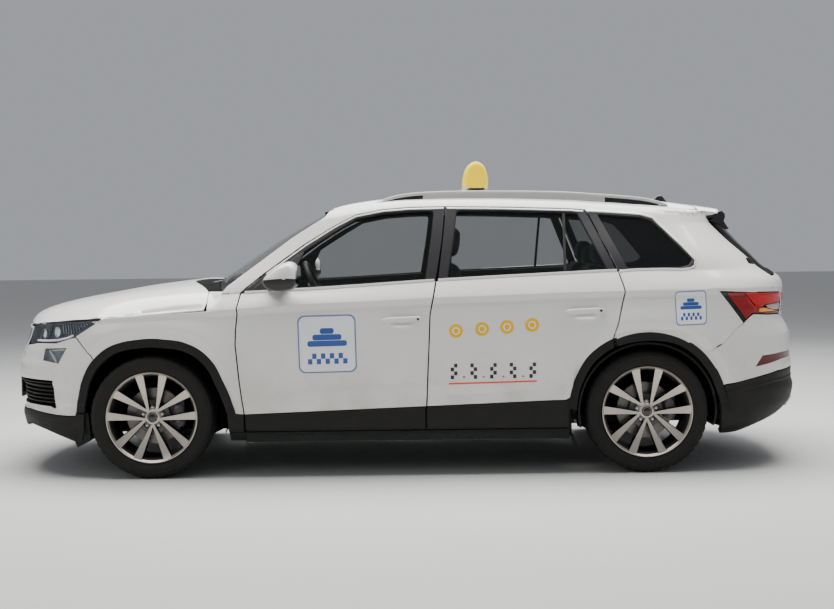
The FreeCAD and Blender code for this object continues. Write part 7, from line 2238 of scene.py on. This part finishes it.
# ---------------------------------------------------------------- graphics on the doors and quarters: plain shapes only
def rrect(cx, cz, hw, hz, r, n=8, rot=0.0, skew=0.0):
    out = []
    for (sx_, sz_, a0) in ((1, 1, 0), (-1, 1, 90), (-1, -1, 180), (1, -1, 270)):
        for k in range(n + 1):
            a_ = math.radians(a0 + 90.0 * k / n)
            out.append((sx_ * (hw - r) + r * math.cos(a_), sz_ * (hz - r) + r * math.sin(a_)))
    c, s = math.cos(math.radians(rot)), math.sin(math.radians(rot))
    return np.array([(cx + x * c - z * s + skew * z, cz + x * s + z * c) for x, z in out])


def flat(mb, loops, m, lift, P=P_door, step=14):
    panel(mb, loops, lifted(P, lift), step=step, wall=0.5, hem=0.2, closed_in=False, white=m, dark=m, K=1)


def emblem(cx, cz, hw, hz, rot, P):
    """White rounded square with a thin blue frame, three stepped bars and a chequered band."""
    mb = MB()
    flat(mb, [rrect(cx, cz, hw, hz, 0.24 * hw, rot=rot)], 0, 0.5, P)
    flat(mb, [rrect(cx, cz, hw, hz, 0.24 * hw, rot=rot), rrect(cx, cz, hw - 0.036 * hw - 2.2, hz - 0.036 * hw - 2.2, 0.21 * hw, rot=rot)], 1, 0.9, P, 30)
    c, s = math.cos(math.radians(rot)), math.sin(math.radians(rot))

    def at(x, z):
        return (cx + x * c - z * s, cz + x * s + z * c)
    for k, w in enumerate((0.68, 0.50, 0.24)):
        q = at(0, hz * (0.02 + 0.215 * k))
        flat(mb, [rrect(q[0], q[1], hw * w, hz * 0.10, hz * 0.08, 4, rot=rot)], 2, 0.9, P, 30)
    n = 9
    cell = hw * 1.36 / n
    for i in range(n):
        for j in range(2):
            if (i + j) % 2 == 0:
                q = at(-hw * 0.68 + cell * (i + 0.5), -hz * 0.60 + cell * (j + 0.0) * 1.25)
                flat(mb, [rrect(q[0], q[1], cell * 0.5, cell * 0.62, 2, 2, rot=rot)], 2, 0.9, P, 40)
    return mb


DEC = [M["sticker"], M["outline"], M["blue"]]
both_obj("front_door_emblem_%s", emblem(-453, 752, 163, 163, 1.0, P_door), DEC, "front_door_%s_body")
both_obj("quarter_emblem_%s", emblem(1604, 931, 107, 96, 1.5, lifted(flared(P_over), 2.9)), DEC, "body")
mb = MB()
for cx, cz in ((268, 817), (414, 826), (554, 836), (694, 846)):
    flat(mb, [np.array([(cx + 39 * math.cos(t), cz + 39 * math.sin(t)) for t in np.linspace(0, 2 * math.pi, 41)[:-1]])], 0, 0.6)
    flat(mb, [np.array([(cx + 22 * math.cos(t), cz + 22 * math.sin(t)) for t in np.linspace(0, 2 * math.pi, 33)[:-1]]),
              np.array([(cx + 15 * math.cos(t), cz + 15 * math.sin(t)) for t in np.linspace(0, 2 * math.pi, 33)[:-1]])], 1, 1.0, step=30)
both_obj("rear_door_discs_%s", mb, [M["yellow"], M["sticker"]], "rear_door_%s_body")
mb = MB()
for g in range(5):
    gx, gz = 256 + g * 110.5, 588 + g * 0.6
    for i in range(2):
        for j in range(4):
            if (i + j + g) % 2 == 0:
                flat(mb, [rrect(gx - 9.5 + 19 * i, gz - 33 + 22 * j, 9.5, 11, 1.5, 2)], 0, 0.7, step=40)
    if g < 4:
        cx, cz = gx + 56, 556
        flat(mb, [np.array([(cx + 6.5 * math.cos(t), cz + 6.5 * math.sin(t)) for t in np.linspace(0, 2 * math.pi, 17)[:-1]])], 1, 0.7, step=30)
flat(mb, [np.array([(226, 514), (490, 519), (722, 524), (722, 533), (490, 528), (226, 523)])], 1, 0.7, step=30)
both_obj("rear_door_chequer_%s", mb, [M["black_ink"], M["orange"]], "rear_door_%s_body")


# ---------------------------------------------------------------- padded seats
def pad_mesh(size, r, crown, shape=None, voxel=0.011, cap=0.012, after=None):
    """Rounded, crowned cushion in metres about the origin: blown up as cloth, then sewn."""
    hx, hy, hz = [s / 2.0 for s in size]
    bm = bmesh.new()
    bmesh.ops.create_cube(bm, size=2.0)
    bmesh.ops.subdivide_edges(bm, edges=bm.edges[:], cuts=15, use_grid_fill=True)
    for v in bm.verts:
        p = np.array(v.co[:])
        q = p * (hx, hy, hz)
        core = np.clip(q, [-(hx - r), -(hy - r), -(hz - r)], [hx - r, hy - r, hz - r])
        d = q - core
        L = np.linalg.norm(d)
        if L > 1e-9:
            q = core + d / L * r
        n = np.array([abs(q[0] / hx), abs(q[1] / hy), abs(q[2] / hz)])
        q = q + np.array([0, 0, np.sign(q[2]) * crown * (1 - n[0] ** 2) * (1 - n[1] ** 2) * (n[2] > 0.3)])
        pinch = 1 - 0.035 * (1 - abs(p[0])) * abs(p[1]) - 0.03 * (1 - abs(p[1])) * abs(p[0])
        q[:2] *= pinch
        v.co = q
    me = bpy.data.meshes.new("pad")
    bm.to_mesh(me)
    bm.free()
    o = bpy.data.objects.new("pad_tmp", me)
    SC.collection.objects.link(o)
    if shape:
        co = np.array([v.co[:] for v in me.vertices])
        me.vertices.foreach_set("co", shape(co).ravel())
    rm = o.modifiers.new("r", "REMESH")
    rm.mode = "VOXEL"
    rm.voxel_size = voxel
    dg = bpy.context.evaluated_depsgraph_get()
    m2 = bpy.data.meshes.new_from_object(o.evaluated_get(dg))
    o.modifiers.clear()
    o.data = m2
    base = np.array([v.co[:] for v in m2.vertices])
    cl = o.modifiers.new("c", "CLOTH")
    st = cl.settings
    st.use_pressure = True
    st.uniform_pressure_force = 4
    st.effector_weights.gravity = 0
    st.quality = 4
    st.mass = 0.3
    st.tension_stiffness = st.compression_stiffness = 12
    st.bending_stiffness = 0.6
    cl.point_cache.frame_start, cl.point_cache.frame_end = 1, 20
    for f in range(1, 21):
        SC.frame_set(f)
    dg = bpy.context.evaluated_depsgraph_get()
    m3 = bpy.data.meshes.new_from_object(o.evaluated_get(dg))
    new = np.array([v.co[:] for v in m3.vertices])
    o.modifiers.clear()
    SC.frame_set(1)
    if len(new) == len(base):
        d = new - base
        L = np.linalg.norm(d, axis=1)
        d *= (np.minimum(L, cap) / np.maximum(L, 1e-9))[:, None]
        base = base + d
    if after:
        base = after(base)
    m2.vertices.foreach_set("co", base.ravel())
    m2.update()
    bpy.data.objects.remove(o)
    return m2


def place_pad(name, me, c, tilt, mats, replaces=()):
    m = me.copy()
    R = Matrix.Translation(Vector(c)) @ Matrix.Rotation(math.radians(tilt), 4, "Y")
    m.transform(R)
    m.shade_smooth()
    m.materials.clear()
    for k in mats:
        m.materials.append(k)
    o = bpy.data.objects.new(name, m)
    SC.collection.objects.link(o)
    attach(o, "body")
    if replaces:
        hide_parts(*replaces)
    return o


def bump_line(d, w):
    return np.exp(-(d / w) ** 2)


def cushion_after(hw, bol, cross):
    def f(p):
        q = p.copy()
        up = np.clip(p[:, 2] / 0.05, 0, 1)
        y = np.abs(p[:, 1])
        q[:, 2] += up * 0.020 * np.clip((y - bol) / 0.06, 0, 1) * np.clip((hw - y) / 0.03, 0, 1) ** 0.5
        q[:, 2] -= up * 0.010 * bump_line(y - bol, 0.009)
        for c in cross:
            q[:, 2] -= up * 0.008 * bump_line(p[:, 0] - c, 0.009) * (y < bol)
        return q
    return f


def back_after(hw, bol, cross):
    def f(p):
        q = p.copy()
        fr = np.clip(-p[:, 0] / 0.04, 0, 1)
        y = np.abs(p[:, 1])
        q[:, 0] -= fr * 0.022 * np.clip((y - bol) / 0.06, 0, 1) * np.clip((hw - y) / 0.03, 0, 1) ** 0.5
        q[:, 0] += fr * 0.010 * bump_line(y - bol, 0.009)
        for c in cross:
            q[:, 0] += fr * 0.008 * bump_line(p[:, 2] - c, 0.009) * (y < bol)
        q[:, 1] *= 1 - 0.10 * np.clip((p[:, 2] - 0.12) / 0.18, 0, 1)
        return q
    return f


fc = pad_mesh((0.50, 0.47, 0.15), 0.055, 0.008, after=cushion_after(0.235, 0.13, (-0.10, 0.06)))
fb = pad_mesh((0.125, 0.46, 0.60), 0.055, 0.0, after=back_after(0.23, 0.125, (-0.12, 0.02, 0.16)))
fh = pad_mesh((0.10, 0.255, 0.175), 0.045, 0.0, cap=0.008)
for s_, sg in (("left", -1), ("right", 1)):
    place_pad("front_seat_cushion_" + s_, fc, (-0.195, sg * 0.37, 0.560), 5, [M["cloth_mid"]], ["front_seats"] if sg < 0 else ())
    place_pad("front_seat_back_" + s_, fb, (0.205, sg * 0.37, 0.905), 11, [M["cloth"]])
    place_pad("front_headrest_" + s_, fh, (0.262, sg * 0.37, 1.312), 8, [M["cloth"]])
    mb = MB()
    for dy in (-62, 62):
        tube(mb, [(252, sg * 370 + dy, 1150), (258, sg * 370 + dy, 1200), (263, sg * 370 + dy, 1260)], 6, 10)
    mb.obj("front_headrest_posts_" + s_, [M["bolt"]], "body")
    mb = MB()
    for dy in (-238, 238):
        rbox(mb, (-150, sg * 370 + dy * 0.985, 492), (420, 26, 92), 12, 0, 3)
    rbox(mb, (-160, sg * 370, 440), (400, 380, 60), 20, 0, 3)
    for dy in (-180, 180):
        rbox(mb, (-150, sg * 370 + dy, 330), (470, 40, 110), 8, 0, 2)
    mb.obj("front_seat_base_" + s_, [M["trim_dark"]], "body")
rc = pad_mesh((0.50, 0.45, 0.14), 0.05, 0.008, after=cushion_after(0.225, 0.15, (0.02,)))
rb_ = pad_mesh((0.115, 0.45, 0.60), 0.05, 0.0, after=back_after(0.225, 0.15, (-0.05, 0.12)))
rh = pad_mesh((0.085, 0.23, 0.13), 0.038, 0.0, cap=0.008)
mc = pad_mesh((0.48, 0.24, 0.13), 0.05, 0.006, cap=0.008)
mk = pad_mesh((0.105, 0.235, 0.56), 0.045, 0.0, cap=0.008)
for s_, sg in (("left", -1), ("right", 1)):
    place_pad("rear_seat_cushion_" + s_, rc, (0.800, sg * 0.352, 0.560), 5, [M["cloth_mid"]], ["rear_bench"] if sg < 0 else ())
    place_pad("rear_seat_back_" + s_, rb_, (1.070, sg * 0.352, 0.890), 13, [M["cloth"]])
    place_pad("rear_headrest_" + s_, rh, (1.150, sg * 0.352, 1.243), 8, [M["cloth"]])
place_pad("rear_seat_cushion_middle", mc, (0.800, 0, 0.556), 5, [M["cloth"]])
place_pad("rear_seat_back_middle", mk, (1.075, 0, 0.880), 13, [M["cloth_mid"]])
place_pad("rear_headrest_middle", rh, (1.145, 0, 1.215), 8, [M["cloth"]])
mb = MB()
rbox(mb, (820, 0, 500), (500, 1180, 50), 18, 0, 3)
rbox(mb, (1150, 0, 880), (30, 1190, 620), 12, 0, 3, rot=Matrix.Rotation(math.radians(13), 3, "Y"))
mb.obj("rear_seat_frame", [M["trim_dark"]], "body")

# ---------------------------------------------------------------- dashboard and console
prof = [(-990, 712), (-992, 1052), (-950, 1066), (-895, 1070), (-835, 1062), (-790, 1044), (-758, 1014), (-742, 972), (-745, 925), (-757, 880), (-775, 835), (-800, 780), (-832, 712)]
rows = []
for y in np.linspace(-684, 684, 73):
    hood = math.exp(-((y + 370) / 165.0) ** 4)
    mid = math.exp(-(y / 150.0) ** 4)
    row = []
    for x, z in prof:
        dx = 0.0
        dz = 0.0
        if x > -900 and z > 940:
            dz += 14 * hood * max(0, (z - 940) / 120.0)
            dx += 22 * hood
        if x > -850 and z < 980:
            dx += 16 * mid - 10 * hood
        row.append((x + dx, y, z + dz))
    rows.append(row)
mb = MB()
mb.grid(np.array(rows), 0, close_v=True, caps=True, flip=False)
o = mb.obj("dashboard_shell", [M["trim_dark"]], "body", replaces=["dashboard"], angle=60)
sb_ = o.modifiers.new("round", "SUBSURF")
sb_.levels = sb_.render_levels = 1
Rt = Matrix.Rotation(math.radians(-16), 3, "Y")
mb = MB()
rbox(mb, (-738, 0, 1010), (22, 262, 158), 8, 0, 3, rot=Rt)
rbox(mb, (-722, -370, 1030), (14, 300, 92), 6, 0, 3, rot=Rt)
mb.obj("dash_displays", [M["screen_off"]], "body")
mb = MB()
for cy in (-610, -190, 190, 610):
    w = 96 if abs(cy) > 300 else 84
    rbox(mb, (-738, cy, 965), (20, w, 60), 8, 0, 3)
    for k in range(5):
        rbox(mb, (-727, cy, 945 + k * 10.0), (10, w - 14, 3.2), 1.2, 0, 2)
for k in range(8):
    lathe(mb, [(-4, 8), (4, 8), (5, 6), (5, 0.2)], (-716, -70 + k * 20.0, 870), n=14, closed=False)
rbox(mb, (-742, 395, 860), (14, 330, 130), 10, 0, 3)
mb.obj("dash_vents_and_lid", [M["trim"]], "body", angle=40)
mb = MB()
rbox(mb, (-735, 0, 1018), (3, 600, 8), 1.4, 0, 2)
rbox(mb, (-733, 400, 935), (4, 480, 7), 1.4, 0, 2)
mb.obj("dash_bright_line", [M["chrome"]], "body")
# instrument hood
rows = []
for y in np.linspace(-535, -205, 24):
    k = 1 - abs((y + 370) / 165.0) ** 3
    h = 8 + 40 * max(k, 0) ** 0.7
    rows.append([(-800, y, 1052), (-760, y, 1048 + h), (-712, y, 1050 + h), (-706, y, 1044 + h), (-716, y, 1038 + h), (-770, y, 1030)])
mb = MB()
mb.grid(np.array(rows), 0, close_v=True, caps=True)
mb.obj("instrument_hood", [M["trim_dark"]], "body", angle=60)
mb = MB()
rows = []
for x, h0, h1, w in ((-815, 350, 700, 96), (-760, 350, 705, 102), (-700, 350, 688, 104), (-620, 350, 610, 104), (-540, 350, 565, 103), (-300, 350, 560, 103), (-110, 350, 566, 103), (-80, 350, 635, 103), (60, 350, 645, 103), (246, 350, 636, 100)):
    c = 22
    rows.append([(x, -w, h0), (x, -w, h1 - c), (x, -w + c * 0.4, h1 - c * 0.35), (x, -w + c, h1), (x, w - c, h1), (x, w - c * 0.4, h1 - c * 0.35), (x, w, h1 - c), (x, w, h0)])
mb.grid(np.array(rows), 0, close_v=True, caps=True)
mb.obj("console_body", [M["trim_dark"]], "body", replaces=["centre_console"], angle=45)
mb = MB()
tube(mb, [(-470, 0, 566), (-466, 0, 600), (-458, 0, 640)], [16, 11, 9], 16)
rbox(mb, (-455, 0, 655), (66, 44, 46), 18, 0, 4)
rbox(mb, (-470, 0, 566), (190, 120, 10), 4, 0, 3)
mb.obj("gear_lever", [M["gloss"]], "body", angle=50)
mb = MB()
rbox(mb, (90, 0, 652), (300, 176, 40), 18, 0, 4)
mb.obj("armrest_lid", [M["cloth"]], "body")

# steering wheel
tl_ = math.radians(24)
axw = np.array([math.cos(tl_), 0, math.sin(tl_)])
eu, ev = np.array([0, 1.0, 0]), np.array([-math.sin(tl_), 0, math.cos(tl_)])
hc = np.array([-537.0, -370.0, 1040.0])


def W3(a_, b_, c_):
    return hc + eu * a_ + ev * b_ + axw * c_


mb = MB()
g = []
for i in range(72):
    t = 2 * math.pi * i / 72
    ring = []
    for k in range(14):
        q = 2 * math.pi * k / 14
        rr = 168 + 15.5 * math.cos(q) * (1.06 if abs(math.cos(t)) > 0.8 else 1.0)
        ring.append(W3(rr * math.cos(t), rr * math.sin(t), 15.5 * math.sin(q)))
    g.append(ring)
mb.grid(np.array(g), 0, close_u=True, close_v=True, flip=True)
for a0, a1, w0, w1 in ((0, 158, 24, 17), (180, 158, 24, 17)):
    sgn = 1 if a0 == 0 else -1
    secs = []
    for t in np.linspace(0, 1, 7):
        x = sgn * (40 + 118 * t)
        w = w0 + (w1 - w0) * t
        dz = -18 + 14 * t
        secs.append([W3(x, -w - 6 * (1 - t), dz), W3(x, w, dz), W3(x, w, dz + 12), W3(x, 0, dz + 15), W3(x, -w - 6 * (1 - t), dz + 12)])
    loft(mb, secs, 1, flip=sgn > 0)
secs = []
for t in np.linspace(0, 1, 7):
    secs.append([W3(-16 + 3 * t, -40 - 118 * t, -18 + 14 * t), W3(16 - 3 * t, -40 - 118 * t, -18 + 14 * t), W3(16 - 3 * t, -40 - 118 * t, -6 + 14 * t), W3(-16 + 3 * t, -40 - 118 * t, -6 + 14 * t)])
loft(mb, secs, 1)
rows = []
for k, (r, h) in enumerate(((0.2, 8), (30, 8), (52, 5), (62, -2), (64, -14), (60, -40), (0.2, -44))):
    rows.append([W3(r * math.cos(t) * (1.12), r * math.sin(t) * (0.95), h) for t in np.linspace(0, 2 * math.pi, 33)[:-1]])
mb.grid(np.array(rows), 0, close_v=True)
for i in range(2):
    for j in range(4):
        c_ = W3((-1 if i else 1) * (74 + 13 * (j % 2)), -6 + 12 * (j // 2), -2)
        rbox(mb, tuple(c_), (6, 10, 8), 2, 1, 2)
mb.obj("steering_wheel_trim", [M["trim_dark"], M["gloss"]], "steering_wheel_body", replaces=["steering_wheel"], angle=50)
mb = MB()
tube(mb, [hc - axw * 320, hc - axw * 180, hc - axw * 70], [44, 44, 38], 24)
mb.obj("column_shroud_trim", [M["trim_dark"]], "body", angle=50)
mb = MB()
for sg in (-1, 1):
    q0, q1 = hc - axw * 92 + eu * sg * 40, hc - axw * 84 + eu * sg * 150 + ev * 20
    tube(mb, [q0, 0.5 * (q0 + q1), q1], [7, 6, 8], 10)
mb.obj("column_stalks", [M["satin"]], "body", angle=50)

# inner mirror, belts, door trims
mb = MB()
rbox(mb, (-455, 0, 1392), (22, 232, 66), 14, 0, 4, rot=Matrix.Rotation(math.radians(8), 3, "Y"))
tube(mb, [(-470, 0, 1400), (-500, 0, 1440), (-506, 0, 1472)], 9, 10)
mb.obj("inner_mirror", [M["gloss"]], "body", angle=50)
for ax, x0, x1, z0, cutf, cutr, hx in (("front", -880, 80, 380, None, None, -80), ("rear", 200, 1120, 430, None, None, 900)):
    tr = [(x0, z0 + 60), (x0 + 60, z0)] + [(x, z0) for x in np.linspace(x0 + 200, min(x1, 860), 5)] + ([(x1 - 10, z0 + 30), (x1, float(Z_BELT(x1)) - 16)] if ax == "front" else
         [(885, 470), (920, 640), (1010, 790), (1135, 880), (1170, float(Z_BELT(1150)) - 16)]) + [(x, float(Z_BELT(x)) - 16) for x in np.linspace(x1 - 60, x0 + 20, 8)] + [(x0, float(Z_BELT(x0)) - 30)]
    mb = MB()
    panel(mb, [np.array(tr)], lifted(P_left, -46.0), step=34, wall=26, hem=6, white=0, dark=0)
    xm = 0.5 * (x0 + x1) if ax == "front" else 600
    rbox(mb, (xm + 30, -(float(side(600, 760)) - 96), 745), (420, 60, 44), 16, 1, 4)
    rbox(mb, (xm + 190, -(float(side(600, 860)) - 84), 860), (70, 14, 22), 5, 1, 3)
    rr = [(xm - 250 + 70 * math.cos(t), -(float(side(600, 500)) - 76), 520 + 70 * math.sin(t)) for t in np.linspace(0, 2 * math.pi, 33)[:-1]]
    lathe(mb, [(0, 78), (8, 74), (8, 66), (4, 60), (6, 0.2)], (xm - 230, -(float(side(600, 500)) - 68), 530 if ax == "front" else 560), n=40, m=1, closed=False)
    both_obj(ax + "_door_trim_%s", mb, [M["trim_dark"], M["trim"]], ax + "_door_%s_body", angle=40)
mb = MB()
for (x, z, y) in ((190, 1330, 700),):
    pts = np.array([(150 + 10 * t, -(745 - 90 * t ** 1.2), 700 + 640 * t) for t in np.linspace(0, 1, 12)])
    d = np.array([14.0, 0, 0])
    g = np.stack([pts - d - (0, 1, 0), pts + d - (0, 1, 0), pts + d + (0, 1, 0), pts - d + (0, 1, 0)], 1)
    mb.grid(g, 0, close_v=True, caps=True)
both_obj("front_belt_%s", mb, M["rubber"], "body")
